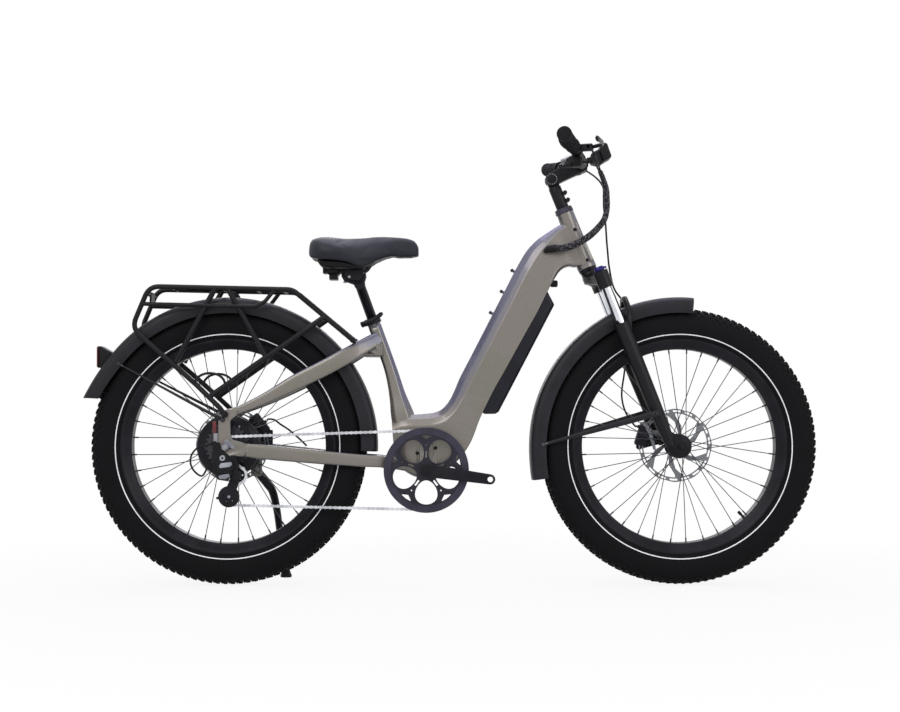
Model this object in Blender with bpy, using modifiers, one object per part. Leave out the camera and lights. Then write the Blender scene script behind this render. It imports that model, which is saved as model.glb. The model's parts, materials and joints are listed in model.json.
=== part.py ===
"""Electric bicycle with a step-through frame, fat tyres, a suspension fork and a rear rack.

Metres, +Z up, +X to the front of the bicycle, +Y to its left side. The origin lies on the
ground, in the middle of the bicycle. Run with: blender --background --python part.py
"""
import math

import bmesh
import bpy
from mathutils import Matrix, Vector

# Driving sizes
GAP = 0.0003                      # running and seating clearance between two pieces
TYRE_RADIUS = 0.370               # 26 inch fat tyre
TYRE_HALF_WIDTH = 0.049
TREAD_HALF_WIDTH = 0.018
TYRE_WALL = 0.0045
RIM_RADIUS = 0.286
RIM_DEPTH = 0.026
RIM_HALF_WIDTH = 0.040
RIM_WALL = 0.003
WHEEL_STEPS = 32
SPOKE_COUNT = 36
SPOKE_RADIUS = 0.0011
WHEELBASE = 1.206
REAR_AXLE_X = -0.5935
AXLE_RADIUS = 0.006
BB_FORWARD = 0.5295               # bottom bracket, ahead of the rear axle
BB_DROP = 0.062                   # bottom bracket, below the axles
HEAD_TILT = math.radians(22)      # steering axis, from the vertical
FORK_OFFSET = 0.046
SEAT_TILT = math.radians(20)      # seat tube, from the vertical

# Head tube and steering, measured up the steering axis from the front axle
HEAD_LOW = 0.535
HEAD_LENGTH = 0.161
HEAD_RADIUS = 0.024
STEERER_RADIUS = 0.014
HEADSET_SPIGOT = 0.0167
HEADSET_DEPTH = 0.016
HEADSET_STACK = 0.0135
STEM_RISER_RADIUS = 0.017
STEM_PIVOT_HEIGHT = 0.0965        # stem pivot, above the head tube
STEM_LENGTH = 0.088
STEM_ANGLE = math.radians(27.8)   # stem arm, above the horizontal
STEM_HALF_WIDTH = 0.019
STEM_LUG_HALF_WIDTH = 0.009
STEM_EYE_RADIUS = 0.0175

# Fork
STANCHION_RADIUS = 0.014
STANCHION_OFFSET = 0.020
FORK_HALF_TRACK = 0.078
LOWERS_TOP = 0.364
LOWERS_RADIUS = 0.0205
CROWN_LOW = 0.4645
CROWN_CLAMP_HEIGHT = 0.0475
CROWN_CLAMP_RADIUS = 0.0205
STANCHION_END = 0.150
FORK_BORE_END = 0.060
FRONT_DROPOUT_FACE = 0.0643
FRONT_DROPOUT_THICKNESS = 0.010

# Handlebar
BAR_RADIUS = 0.0111
BAR_CLAMP_RADIUS = 0.0159
BAR_CLAMP_HALF_WIDTH = 0.022
BAR_HALF_WIDTH = 0.345
BAR_BEND = 0.085
BAR_SWEEP = 0.067
BAR_RISE = 0.032
GRIP_LENGTH = 0.128
GRIP_RADIUS = 0.0185
FITTING_BORE = BAR_RADIUS + GAP
LEVER_REACH = 0.080               # brake blade, ahead of the grip
LEVER_LENGTH = 0.135

# Drive
CHAIN_PITCH = 0.0127
CHAINRING_TEETH = 52
COG_TEETH = (28, 24, 21, 19, 17, 15, 13)
COG_SPACING = 0.0049
COG_THICKNESS = 0.0016
INNER_COG_Y = -0.0453
PULLEY_TEETH = 11
CHAINRING_Y = -0.062
CHAIN_WIDTH = 0.0064
CHAIN_HEIGHT = 0.0080
CRANK_LENGTH = 0.171
CRANK_DROOP = math.radians(8)
CRANK_FACE = 0.0763               # inner face of each crank arm
CRANK_THICKNESS = 0.012
SPINDLE_RADIUS = 0.0085
BB_RADIUS = 0.024
BB_HALF_WIDTH = 0.050
BB_BORE = 0.0173

# Rear end
DROPOUT_FACE = 0.085
DROPOUT_THICKNESS = 0.006
MOTOR_RADIUS = 0.084
MOTOR_RIGHT = -0.0405
MOTOR_LEFT = 0.0450
ROTOR_RADIUS = 0.0995
ROTOR_THICKNESS = 0.0020
FRONT_ROTOR_Y = 0.0530
REAR_ROTOR_Y = 0.0620
FENDER_THICKNESS = 0.003
FENDER_HALF_WIDTH = 0.052
FENDER_RADIUS = 0.399

# Seat
SEATPOST_RADIUS = 0.0136
SEAT_TUBE_RADIUS = 0.0175
SEAT_TUBE_LENGTH = 0.2735
SEATPOST_TOP = 0.383
SEATPOST_END = 0.140
SEAT_BORE_END = 0.095

# Battery, in the down tube's own directions: along it, and down from its upper edge
TUBE_DEPTH = 0.092
TUBE_HALF_WIDTH = 0.038
BATTERY_LENGTH = 0.370
BATTERY_LOW = -0.050
BATTERY_TOP_V = 0.066
BATTERY_BOTTOM_V = 0.136
BATTERY_HALF_WIDTH = 0.034

Y_AXIS = Vector((0, 1, 0))
REAR_AXLE = Vector((REAR_AXLE_X, 0, TYRE_RADIUS))
FRONT_AXLE = REAR_AXLE + Vector((WHEELBASE, 0, 0))
BB = REAR_AXLE + Vector((BB_FORWARD, 0, -BB_DROP))
STEER_UP = Vector((-math.sin(HEAD_TILT), 0, math.cos(HEAD_TILT)))
STEER_FORE = Vector((math.cos(HEAD_TILT), 0, math.sin(HEAD_TILT)))
STEER_FOOT = FRONT_AXLE - FORK_OFFSET * STEER_FORE
HEAD_HIGH = HEAD_LOW + HEAD_LENGTH
SEAT_UP = Vector((-math.sin(SEAT_TILT), 0, math.cos(SEAT_TILT)))
SEAT_FORE = Vector((math.cos(SEAT_TILT), 0, math.sin(SEAT_TILT)))
SEAT_FOOT = BB + Vector((-0.0536, 0, 0.149))
OUTER_COG_Y = INNER_COG_Y - COG_SPACING * (len(COG_TEETH) - 1)
PULLEY_Y = OUTER_COG_Y
CRANK_OUTER = CRANK_FACE + CRANK_THICKNESS


def steer(up, fore, side=0.0):
    """A point beside the steering axis, from the foot of the axis at the front axle."""
    return STEER_FOOT + up * STEER_UP + fore * STEER_FORE + side * Y_AXIS


def seat(up, fore, side=0.0):
    """A point beside the seat tube's axis."""
    return SEAT_FOOT + up * SEAT_UP + fore * SEAT_FORE + side * Y_AXIS


TUBE_FOOT = BB + Vector((0.087, 0, 0.240))
TUBE_ALONG = (steer(0.5732, -0.217) - TUBE_FOOT).normalized()
TUBE_DOWN = Vector((TUBE_ALONG.z, 0, -TUBE_ALONG.x))


def tube(along, down, side=0.0):
    """A point of the down tube: along it, and down from its upper edge."""
    return TUBE_FOOT + along * TUBE_ALONG + down * TUBE_DOWN + side * Y_AXIS


STEM_PIVOT = steer(HEAD_HIGH + STEM_PIVOT_HEIGHT, 0)
BAR_CENTRE = STEM_PIVOT + STEM_LENGTH * Vector((math.cos(STEM_ANGLE), 0, math.sin(STEM_ANGLE)))
GUIDE_PULLEY = REAR_AXLE + Vector((0.0303, PULLEY_Y, -0.0750))
TENSION_PULLEY = REAR_AXLE + Vector((0.0082, PULLEY_Y, -0.1315))
KICKSTAND_PIVOT = REAR_AXLE + Vector((0.0635, 0.0985, -0.074))
KICKSTAND_FOOT = Vector((KICKSTAND_PIVOT.x + 0.073, 0.172, 0))

MATERIALS = {
    "frame_paint": ((0.27, 0.255, 0.22), 0.32, 0.55),
    "black_paint": ((0.018, 0.018, 0.022), 0.40, 0.10),
    "black_plastic": ((0.022, 0.022, 0.026), 0.55, 0.0),
    "gloss_black": ((0.02, 0.02, 0.03), 0.18, 0.2),
    "black_alloy": ((0.03, 0.03, 0.035), 0.38, 0.6),
    "chrome": ((0.82, 0.83, 0.85), 0.08, 1.0),
    "steel": ((0.55, 0.55, 0.56), 0.32, 1.0),
    "tyre": ((0.017, 0.017, 0.018), 0.85, 0.0),
    "rubber": ((0.02, 0.02, 0.022), 0.80, 0.0),
    "cover": ((0.02, 0.02, 0.024), 0.62, 0.0),
    "violet_anodised": ((0.05, 0.04, 0.35), 0.30, 0.8),
    "red_lens": ((0.45, 0.01, 0.01), 0.20, 0.0),
}


# Scene and shaping tools
def empty_scene():
    for thing in list(bpy.data.objects):
        bpy.data.objects.remove(thing, do_unlink=True)
    for group in list(bpy.data.collections):
        bpy.data.collections.remove(group)


def new_collection(name):
    group = bpy.data.collections.new(name)
    bpy.context.scene.collection.children.link(group)
    return group


def make_materials():
    for name, (colour, roughness, metallic) in MATERIALS.items():
        material = bpy.data.materials.new(name)
        material.use_nodes = True
        shader = material.node_tree.nodes["Principled BSDF"]
        shader.inputs["Base Color"].default_value = (*colour, 1)
        shader.inputs["Roughness"].default_value = roughness
        shader.inputs["Metallic"].default_value = metallic


def mesh_object(mesh):
    thing = bpy.data.objects.new("shape", mesh)
    bpy.context.scene.collection.objects.link(thing)
    return thing


def from_bmesh(shape, matrix=None):
    if matrix is not None:
        bmesh.ops.transform(shape, matrix=matrix, verts=shape.verts)
    bmesh.ops.recalc_face_normals(shape, faces=shape.faces)
    mesh = bpy.data.meshes.new("shape")
    shape.to_mesh(mesh)
    shape.free()
    return mesh_object(mesh)


def evaluated_mesh(thing):
    """The thing's mesh with its modifiers applied, welded and moved to its place."""
    bpy.context.view_layer.update()
    graph = bpy.context.evaluated_depsgraph_get()
    mesh = bpy.data.meshes.new_from_object(thing.evaluated_get(graph))
    mesh.transform(thing.matrix_world)
    return mesh


def applied(thing):
    """Replace a curve or a modified object by its plain, welded mesh."""
    mesh = evaluated_mesh(thing)
    bpy.data.objects.remove(thing, do_unlink=True)
    shape = bmesh.new()
    shape.from_mesh(mesh)
    bmesh.ops.remove_doubles(shape, verts=shape.verts, dist=1e-6)
    return from_bmesh(shape)


def axes_matrix(origin, along, across=Y_AXIS):
    """A frame at origin whose Z runs along, with X as near to across as can be."""
    z = along.normalized()
    x = (across - across.dot(z) * z).normalized()
    y = z.cross(x)
    return Matrix.Translation(origin) @ Matrix((x, y, z)).transposed().to_4x4()


def placed(solid, matrix):
    """Move a finished solid, and turn its faces outward again if the move mirrors it."""
    solid.data.transform(matrix)
    if matrix.determinant() < 0:
        solid.data.flip_normals()
    return solid


def rod(start, end, radius, end_radius=None, sides=12):
    """A round bar or cone between two points."""
    length = (end - start).length
    across = Y_AXIS if abs((end - start).normalized().dot(Y_AXIS)) < 0.9 else Vector((0, 0, 1))
    shape = bmesh.new()
    bmesh.ops.create_cone(shape, cap_ends=True, segments=sides, radius1=radius,
                          radius2=radius if end_radius is None else end_radius, depth=length)
    turn = Matrix.Rotation(math.pi / sides, 4, "Z")
    place = axes_matrix((start + end) / 2, end - start, across)
    return from_bmesh(shape, place @ turn)


def bore(start, end, radius, sides=16):
    """A cutter for a hole whose flats stand at the radius."""
    return rod(start, end, radius / math.cos(math.pi / sides), sides=sides)


def block(centre, size, matrix=None, bevel=0.0):
    """A box with its edges eased."""
    shape = bmesh.new()
    bmesh.ops.create_cube(shape, size=1)
    bmesh.ops.scale(shape, vec=Vector(size), verts=shape.verts)
    if bevel:
        bmesh.ops.bevel(shape, geom=shape.edges, offset=bevel, segments=1, affect="EDGES")
    place = Matrix.Translation(centre) if matrix is None else matrix @ Matrix.Translation(centre)
    return from_bmesh(shape, place)


def ball(centre, radius, squash=1.0):
    shape = bmesh.new()
    bmesh.ops.create_uvsphere(shape, u_segments=8, v_segments=4, radius=radius)
    return from_bmesh(shape, Matrix.Translation(centre) @ Matrix.Diagonal((1, 1, squash, 1)))


def turned(profile, steps, matrix, closed=True):
    """Turn a profile of (radius, height) about the matrix's Z axis."""
    true_flats = 1 / math.cos(math.pi / steps)
    mesh = bpy.data.meshes.new("profile")
    points = [(radius * true_flats, 0, height) for radius, height in profile]
    edges = [(i, i + 1) for i in range(len(points) - 1)]
    if closed:
        edges.append((len(points) - 1, 0))
    mesh.from_pydata(points, edges, [])
    thing = mesh_object(mesh)
    screw = thing.modifiers.new("Turn", "SCREW")
    screw.steps = screw.render_steps = steps
    screw.use_merge_vertices = True
    screw.merge_threshold = 1e-5
    return placed(applied(thing), matrix @ Matrix.Rotation(math.pi / steps, 4, "Z"))


def along_y(centre):
    """A frame for turning about the line through centre that runs along +Y."""
    return Matrix.Translation(centre) @ Matrix.Rotation(-math.pi / 2, 4, "X")


def wire(points, radius, resolution=2, scales=None):
    """A round wire, tube or hose through the points."""
    curve = bpy.data.curves.new("wire", "CURVE")
    curve.dimensions = "3D"
    curve.bevel_depth = radius
    curve.bevel_resolution = resolution
    curve.use_fill_caps = True
    spline = curve.splines.new("POLY")
    spline.points.add(len(points) - 1)
    for i, point in enumerate(points):
        spline.points[i].co = (*point, 1)
        spline.points[i].radius = 1 if scales is None else scales[i]
    thing = bpy.data.objects.new("wire", curve)
    bpy.context.scene.collection.objects.link(thing)
    return applied(thing)


def smooth_path(points, per_span=3):
    """Points on a smooth curve through the given points, however unevenly they lie."""
    ends = [2 * points[0] - points[1], *points, 2 * points[-1] - points[-2]]
    path = []
    for i in range(1, len(ends) - 2):
        p = ends[i - 1:i + 3]
        t = [0.0]
        for before, after in zip(p, p[1:]):
            t.append(t[-1] + math.sqrt((after - before).length))
        for step in range(per_span):
            now = t[1] + (t[2] - t[1]) * step / per_span
            legs = [p[k].lerp(p[k + 1], (now - t[k]) / (t[k + 1] - t[k])) for k in range(3)]
            bends = [legs[k].lerp(legs[k + 1], (now - t[k]) / (t[k + 2] - t[k])) for k in range(2)]
            path.append(bends[0].lerp(bends[1], (now - t[1]) / (t[2] - t[1])))
    return [*path, points[-1]]


def plate(outlines, low, high, matrix=None, bevel=0.0):
    """A flat plate in the XZ plane between two Y values. Inner outlines are holes."""
    curve = bpy.data.curves.new("plate", "CURVE")
    curve.dimensions = "2D"
    curve.fill_mode = "BOTH"
    curve.extrude = (high - low) / 2
    for outline in outlines:
        spline = curve.splines.new("POLY")
        spline.points.add(len(outline) - 1)
        for i, (x, z) in enumerate(outline):
            spline.points[i].co = (x, z, 0, 1)
        spline.use_cyclic_u = True
    thing = bpy.data.objects.new("plate", curve)
    bpy.context.scene.collection.objects.link(thing)
    solid = applied(thing)
    stand = Matrix.Translation((0, (low + high) / 2, 0)) @ Matrix.Rotation(math.pi / 2, 4, "X")
    placed(solid, stand if matrix is None else matrix @ stand)
    if bevel:
        edge = solid.modifiers.new("Ease", "BEVEL")
        edge.width = bevel
        edge.segments = 1
        edge.limit_method = "ANGLE"
        edge.angle_limit = math.radians(60)
        solid = applied(solid)
    return solid


def circle(centre, radius, count=24, start=0.0):
    """The corners of a polygon whose flats stand at the radius, in the XZ plane."""
    corner = radius / math.cos(math.pi / count)
    turns = [start + 2 * math.pi * i / count for i in range(count)]
    return [(centre[0] + corner * math.cos(a), centre[1] + corner * math.sin(a)) for a in turns]


def link_outline(first, first_radius, second, second_radius, count=7):
    """The outline of two round ends and the straight sides between them."""
    run = Vector(second) - Vector(first)
    heading = math.atan2(run.y, run.x)
    lean = math.acos((first_radius - second_radius) / run.length)
    points = []
    for centre, radius, sweep in ((second, second_radius, (-lean, lean)),
                                  (first, first_radius, (lean, 2 * math.pi - lean))):
        for i in range(count):
            angle = heading + sweep[0] + (sweep[1] - sweep[0]) * i / (count - 1)
            points.append((centre[0] + radius * math.cos(angle),
                           centre[1] + radius * math.sin(angle)))
    return points


def loft(rings):
    """A closed skin through rings that have equally many points."""
    shape = bmesh.new()
    rows = [[shape.verts.new(point) for point in ring] for ring in rings]
    count = len(rows[0])
    for before, after in zip(rows, rows[1:]):
        for i in range(count):
            j = (i + 1) % count
            shape.faces.new((before[i], before[j], after[j], after[i]))
    shape.faces.new(rows[0][::-1])
    shape.faces.new(rows[-1])
    return from_bmesh(shape)


def fuse(first, *steps):
    """Join solids to the first, or cut them out of it, in the order given."""
    for sign, tool in steps:
        joint = first.modifiers.new("Shape", "BOOLEAN")
        joint.operation = "UNION" if sign == "+" else "DIFFERENCE"
        joint.object = tool
        joint.solver = "EXACT"
    solid = applied(first)
    for _, tool in steps:
        bpy.data.objects.remove(tool, do_unlink=True)
    return merged_flats(solid)


def merged_flats(solid):
    """Merge the coplanar faces that joining leaves behind."""
    shape = bmesh.new()
    shape.from_mesh(solid.data)
    bmesh.ops.dissolve_limit(shape, angle_limit=math.radians(0.05), verts=shape.verts,
                             edges=shape.edges)
    bmesh.ops.triangulate(shape, faces=shape.faces, ngon_method="BEAUTY")
    shape.to_mesh(solid.data)
    shape.free()
    return solid


class Bench:
    """Collects finished pieces under one empty for each moving body."""

    def __init__(self, name):
        self.group = new_collection(name)
        self.bodies = {}

    def body(self, name, origin, parent=None):
        handle = bpy.data.objects.new(name + "_axis", None)
        self.group.objects.link(handle)
        handle.empty_display_size = 0.03
        handle.location = origin - (self.bodies[parent][1] if parent else Vector())
        if parent:
            handle.parent = self.bodies[parent][0]
        self.bodies[name] = (handle, Vector(origin))

    def piece(self, name, body, material, solid, smooth=40):
        handle, origin = self.bodies[body]
        solid.data.transform(Matrix.Translation(-origin))
        solid.name = name
        solid.data.name = name
        solid.data.materials.clear()
        solid.data.materials.append(bpy.data.materials[material])
        solid.data.shade_smooth()
        solid.data.set_sharp_from_angle(angle=math.radians(smooth))
        for group in list(solid.users_collection):
            group.objects.unlink(solid)
        self.group.objects.link(solid)
        solid.parent = handle


def both_sides(maker):
    """The solids that maker gives for the right side, -1, and the left side, 1."""
    return [maker(side) for side in (-1, 1)]


# Frame
def rounded_section(top, bottom, half_width, top_half, chamfer, foot=0.86, grow=0.0):
    """A tube section with sloping shoulders, in the plane from its top to its bottom."""
    down = (bottom - top).normalized()
    depth = (bottom - top).length
    half = half_width + grow
    ease = min(0.35 * chamfer, 0.2 * depth)
    right = [
        (-grow, 0.0),
        (-grow, top_half),
        (chamfer * 0.45, top_half + (half - top_half) * 0.62),
        (chamfer, half),
        (depth - ease, half),
        (depth + grow, half * foot),
        (depth + grow, 0.0),
    ]
    ring = [top + down * v + Y_AXIS * y for v, y in right]
    ring += [top + down * v - Y_AXIS * y for v, y in right[-2:0:-1]]
    return ring


# Upper and lower edge of the lower shell as offsets from the bottom bracket, with half width
SHELL_STATIONS = (
    ((-0.093, 0.128), (-0.084, 0.018), 0.034, 0.020, 0.020),
    ((-0.061, 0.143), (-0.050, -0.010), 0.040, 0.022, 0.026),
    ((-0.016, 0.149), (-0.008, -0.023), 0.041, 0.020, 0.030),
    ((0.025, 0.155), (0.046, -0.006), 0.041, 0.018, 0.032),
    ((0.043, 0.164), (0.086, 0.026), 0.041, 0.016, 0.032),
    ((0.0635, 0.186), (0.120, 0.076), 0.040, 0.015, 0.032),
    ((0.076, 0.213), (0.145, 0.136), 0.039, 0.014, 0.032),
)
# Upper and lower edge of the curved head end, as (up, fore) from the steering axis
HEAD_STATIONS = (
    ((0.5821, -0.2069), (0.5207, -0.1217), 0.037, 0.014, 0.032),
    ((0.6163, -0.1662), (0.5394, -0.0958), 0.0355, 0.014, 0.032),
    ((0.6425, -0.1296), (0.5529, -0.0760), 0.033, 0.014, 0.032),
    ((0.6575, -0.0945), (0.5583, -0.0601), 0.030, 0.013, 0.028),
    ((0.6644, -0.0637), (0.5573, -0.0443), 0.027, 0.012, 0.022),
    ((0.6696, -0.0367), (0.5503, -0.0321), 0.0235, 0.012, 0.016),
    ((0.6720, -0.0050), (0.5450, -0.0050), 0.0215, 0.011, 0.012),
    ((0.6700, 0.0210), (0.5470, 0.0235), 0.0165, 0.009, 0.008),
)
SEAT_STATIONS = (
    (-0.060, 0.020, -0.052, 0.034),
    (0.010, 0.0185, -0.041, 0.030),
    (0.050, 0.0160, -0.030, 0.0235),
    (0.110, 0.0172, -0.0185, 0.0190),
    (0.250, 0.0175, -0.0175, 0.0180),
)


def frame_tube(grow=0.0):
    """The lower shell, the down tube and the curve into the head tube, in one skin."""
    rings = []
    for i, (top, bottom, half, top_half, chamfer) in enumerate(SHELL_STATIONS):
        back = 2 * grow if i == 0 else 0
        rings.append(rounded_section(BB + Vector((top[0] - back, 0, top[1])),
                                     BB + Vector((bottom[0] - back, 0, bottom[1])),
                                     half, top_half, chamfer, grow=grow))
    tube_length = (steer(0.5732, -0.217) - TUBE_FOOT).length
    for share in (0.0, 0.5, 0.93):
        along = tube_length * share
        rings.append(rounded_section(tube(along, 0), tube(along, TUBE_DEPTH), TUBE_HALF_WIDTH,
                                     0.014, 0.032, grow=grow))
    for top, bottom, half, top_half, chamfer in HEAD_STATIONS:
        rings.append(rounded_section(steer(*top), steer(*bottom), half, top_half, chamfer,
                                     grow=grow))
    return loft(rings)


def seat_tube(grow=0.0):
    rings = []
    for up, front, rear, half in SEAT_STATIONS:
        rings.append(rounded_section(seat(up, front + grow), seat(up, rear - grow), half,
                                     0.45 * half, 0.6 * half, foot=0.55, grow=grow))
    return loft(rings)


def seat_tube_top(grow=0.0):
    return rod(seat(0.235, 0), seat(SEAT_TUBE_LENGTH, 0), SEAT_TUBE_RADIUS + grow, sides=16)


def bb_shell(grow=0.0):
    return rod(BB - Y_AXIS * (BB_HALF_WIDTH + grow), BB + Y_AXIS * (BB_HALF_WIDTH + grow),
               BB_RADIUS + grow, sides=20)


def battery_outline(clearance=0.0):
    """The battery's side outline, along the down tube and down from its upper edge."""
    low = BATTERY_LOW - clearance
    high = BATTERY_LOW + BATTERY_LENGTH + clearance
    top = BATTERY_TOP_V - clearance
    bottom = BATTERY_BOTTOM_V + clearance
    return [(low, top), (low, 0.104), (low + 0.016, bottom - 0.002), (high - 0.024, bottom),
            (high, bottom - 0.034), (high, top)]


def bay_outline():
    """The bay widens towards its mouth at the low end, so that the battery can tilt out."""
    low = BATTERY_LOW - GAP
    high = BATTERY_LOW + BATTERY_LENGTH + GAP
    top = BATTERY_TOP_V - GAP
    return [(low, top), (low - 0.015, TUBE_DEPTH + 0.03), (high, TUBE_DEPTH + 0.03), (high, top)]


def tube_plate(outline, half_width, bevel=0.0):
    """A plate whose outline is given along the down tube and down from its upper edge."""
    turn = Matrix((TUBE_ALONG, -Y_AXIS, TUBE_DOWN)).transposed().to_4x4()
    return plate([outline], -half_width, half_width, Matrix.Translation(TUBE_FOOT) @ turn, bevel)


def main_frame():
    head = rod(steer(HEAD_LOW, 0), steer(HEAD_HIGH, 0), HEAD_RADIUS, sides=24)
    head_lip = rod(steer(HEAD_LOW, 0), steer(HEAD_LOW + 0.012, 0), HEAD_RADIUS + 0.0022, sides=24)
    head_bore = bore(steer(HEAD_LOW - 0.02, 0), steer(HEAD_HIGH + 0.02, 0), HEADSET_SPIGOT + GAP)
    bb_bore = bore(BB - Y_AXIS * 0.06, BB + Y_AXIS * 0.06, BB_BORE)
    post_bore = bore(seat(SEAT_BORE_END, 0), seat(SEAT_TUBE_LENGTH + 0.02, 0),
                     SEATPOST_RADIUS + GAP)
    slot = block(seat(SEAT_TUBE_LENGTH - 0.008, -SEAT_TUBE_RADIUS), (0.012, 0.0022, 0.034))
    bay = tube_plate(bay_outline(), BATTERY_HALF_WIDTH + GAP)
    bosses = [("+", rod(tube(along, 0.004), tube(along, -BOSS_HEIGHT), 0.0042, sides=8))
              for along in BOSS_PLACES]
    lock = block(steer(0.5300, -0.0990), (0.020, 0.016, 0.018), bevel=0.002)
    port = rod(LOOM_START - LOOM_HEADING * 0.020, LOOM_START - LOOM_HEADING * 0.0015,
               LOOM_RADIUS + 0.002, sides=12)
    return fuse(frame_tube(), ("+", seat_tube()), ("+", seat_tube_top()), ("+", bb_shell()),
                ("+", head), ("+", head_lip), *bosses, ("+", lock), ("+", port),
                ("-", bay), ("-", head_bore), ("-", bb_bore), ("-", post_bore), ("-", slot))


BOSS_PLACES = (0.100, 0.205, 0.328)
BOSS_HEIGHT = 0.006

# Stays as (X, Z, side, half depth, half width), X and Z from the rear axle
SEATSTAY_STATIONS = (
    (0.4000, 0.288, 0.016, 0.020, 0.011),
    (0.3560, 0.263, 0.048, 0.021, 0.010),
    (0.3080, 0.235, 0.0665, 0.022, 0.0085),
    (0.2600, 0.209, 0.0705, 0.022, 0.0085),
    (0.1900, 0.174, 0.0745, 0.021, 0.0085),
    (0.0950, 0.124, 0.0805, 0.014, 0.0080),
    (0.0170, 0.090, 0.0870, 0.009, 0.0035),
)
CHAINSTAY_STATIONS = (
    (0.4850, -0.053, 0.028, 0.015, 0.012),
    (0.4175, -0.041, 0.0425, 0.016, 0.0095),
    (0.3535, -0.037, 0.0580, 0.0165, 0.0085),
    (0.2935, -0.032, 0.0635, 0.0175, 0.0095),
    (0.1935, -0.023, 0.0705, 0.0185, 0.0095),
    (0.0935, -0.013, 0.0785, 0.0190, 0.0090),
    (0.0450, -0.008, 0.0835, 0.0175, 0.0065),
)
DROPOUT_OUTLINE = (
    (0.0535, 0.009), (0.0535, -0.025), (0.0155, -0.023), (0.0015, -0.038), (-0.0135, -0.036),
    (-0.0185, 0.002), (-0.0185, 0.070), (0.0015, 0.098), (0.0335, 0.108), (0.0290, 0.084),
    (0.0115, 0.070), (0.0135, 0.020),
)


def stay(stations, side, grow=0.0):
    """One tapered oval stay, from the front to the dropout."""
    places = [REAR_AXLE + Vector((x, side * y, z)) for x, z, y, _, _ in stations]
    rings = []
    for i, (_, _, _, half_depth, half_width) in enumerate(stations):
        run = places[min(i + 1, len(places) - 1)] - places[max(i - 1, 0)]
        along = run.normalized()
        across = (Y_AXIS - Y_AXIS.dot(along) * along).normalized()
        up = along.cross(across)
        depth, width = half_depth + grow, half_width + grow
        section = ((1, 0.35), (0.72, 1), (-0.72, 1), (-1, 0.35),
                   (-1, -0.35), (-0.72, -1), (0.72, -1), (1, -0.35))
        rings.append([places[i] + up * depth * u + across * width * w for u, w in section])
    return loft(rings)


def dropout(side, grow=0.0):
    outline = [(REAR_AXLE.x + x, REAR_AXLE.z + z) for x, z in DROPOUT_OUTLINE]
    low = side * DROPOUT_FACE
    high = side * (DROPOUT_FACE + DROPOUT_THICKNESS)
    return plate([outline], min(low, high) - grow, max(low, high) + grow)


def rear_triangle():
    stays = []
    for side in (-1, 1):
        stays += [stay(SEATSTAY_STATIONS, side), stay(CHAINSTAY_STATIONS, side), dropout(side)]
    upper_yoke = block(seat(0.192, -0.026), (0.052, 0.070, 0.040), bevel=0.004)
    lower_yoke = block(REAR_AXLE + Vector((0.4250, 0, -0.043)), (0.036, 0.088, 0.030), bevel=0.004)
    kick_mount = block(Vector((KICKSTAND_PIVOT.x, 0.0835, KICKSTAND_PIVOT.z + 0.020)),
                       (0.030, 0.013, 0.062), bevel=0.003)
    bores = rod(REAR_AXLE - Y_AXIS * 0.12, REAR_AXLE + Y_AXIS * 0.12, AXLE_RADIUS + GAP)
    hanger_bore = rod(HANGER_BOLT - Y_AXIS * 0.02, HANGER_BOLT + Y_AXIS * 0.02,
                      HANGER_BOLT_RADIUS + GAP, sides=8)
    return fuse(stays[0], *[("+", piece) for piece in stays[1:]], ("+", upper_yoke),
                ("+", lower_yoke), ("+", kick_mount), ("-", frame_tube(GAP)),
                ("-", seat_tube(GAP)), ("-", bores), ("-", hanger_bore))


HANGER_BOLT = REAR_AXLE + Vector((-0.0060, -(DROPOUT_FACE + DROPOUT_THICKNESS / 2), -0.029))
HANGER_BOLT_RADIUS = 0.004


def headset(up, towards_middle):
    """A bearing collar with its spigot, turned about the steering axis."""
    bore = STEERER_RADIUS + GAP
    profile = [(bore, -HEADSET_DEPTH), (HEADSET_SPIGOT, -HEADSET_DEPTH), (HEADSET_SPIGOT, GAP),
               (HEAD_RADIUS + 0.001, GAP), (HEAD_RADIUS - 0.001, HEADSET_STACK),
               (bore, HEADSET_STACK)]
    if towards_middle < 0:
        profile = [(radius, height * 0.72) if height > GAP else (radius, height)
                   for radius, height in profile]
    return turned(profile, 16, axes_matrix(steer(up, 0), STEER_UP * towards_middle))


def bottom_bracket():
    bore = SPINDLE_RADIUS + GAP
    profile = [(bore, -0.054), (0.022, -0.054), (0.022, -BB_HALF_WIDTH - GAP),
               (BB_BORE - GAP, -BB_HALF_WIDTH - GAP), (BB_BORE - GAP, BB_HALF_WIDTH + GAP),
               (0.022, BB_HALF_WIDTH + GAP), (0.022, 0.054), (bore, 0.054)]
    return turned(profile, 16, along_y(BB))


def battery_pack():
    return tube_plate(battery_outline(), BATTERY_HALF_WIDTH, bevel=0.006)


# Fork
def crown():
    def leg(side):
        return rod(steer(CROWN_LOW, STANCHION_OFFSET, side * FORK_HALF_TRACK),
                   steer(CROWN_LOW + CROWN_CLAMP_HEIGHT, STANCHION_OFFSET, side * FORK_HALF_TRACK),
                   CROWN_CLAMP_RADIUS, sides=16)

    rings = []
    for side, up, fore, half_height, half_depth in (
            (-1.0, 0.4890, 0.020, 0.017, 0.014), (-0.5, 0.4990, 0.008, 0.015, 0.016),
            (-0.2, 0.5060, 0.000, 0.0135, 0.022), (0.2, 0.5060, 0.000, 0.0135, 0.022),
            (0.5, 0.4990, 0.008, 0.015, 0.016), (1.0, 0.4890, 0.020, 0.017, 0.014)):
        corners = ((1, 0.6), (0.6, 1), (-0.6, 1), (-1, 0.6),
                   (-1, -0.6), (-0.6, -1), (0.6, -1), (1, -0.6))
        rings.append([steer(up + half_height * a, fore + half_depth * b, side * FORK_HALF_TRACK)
                      for a, b in corners])
    return loft(rings), both_sides(leg)


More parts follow.
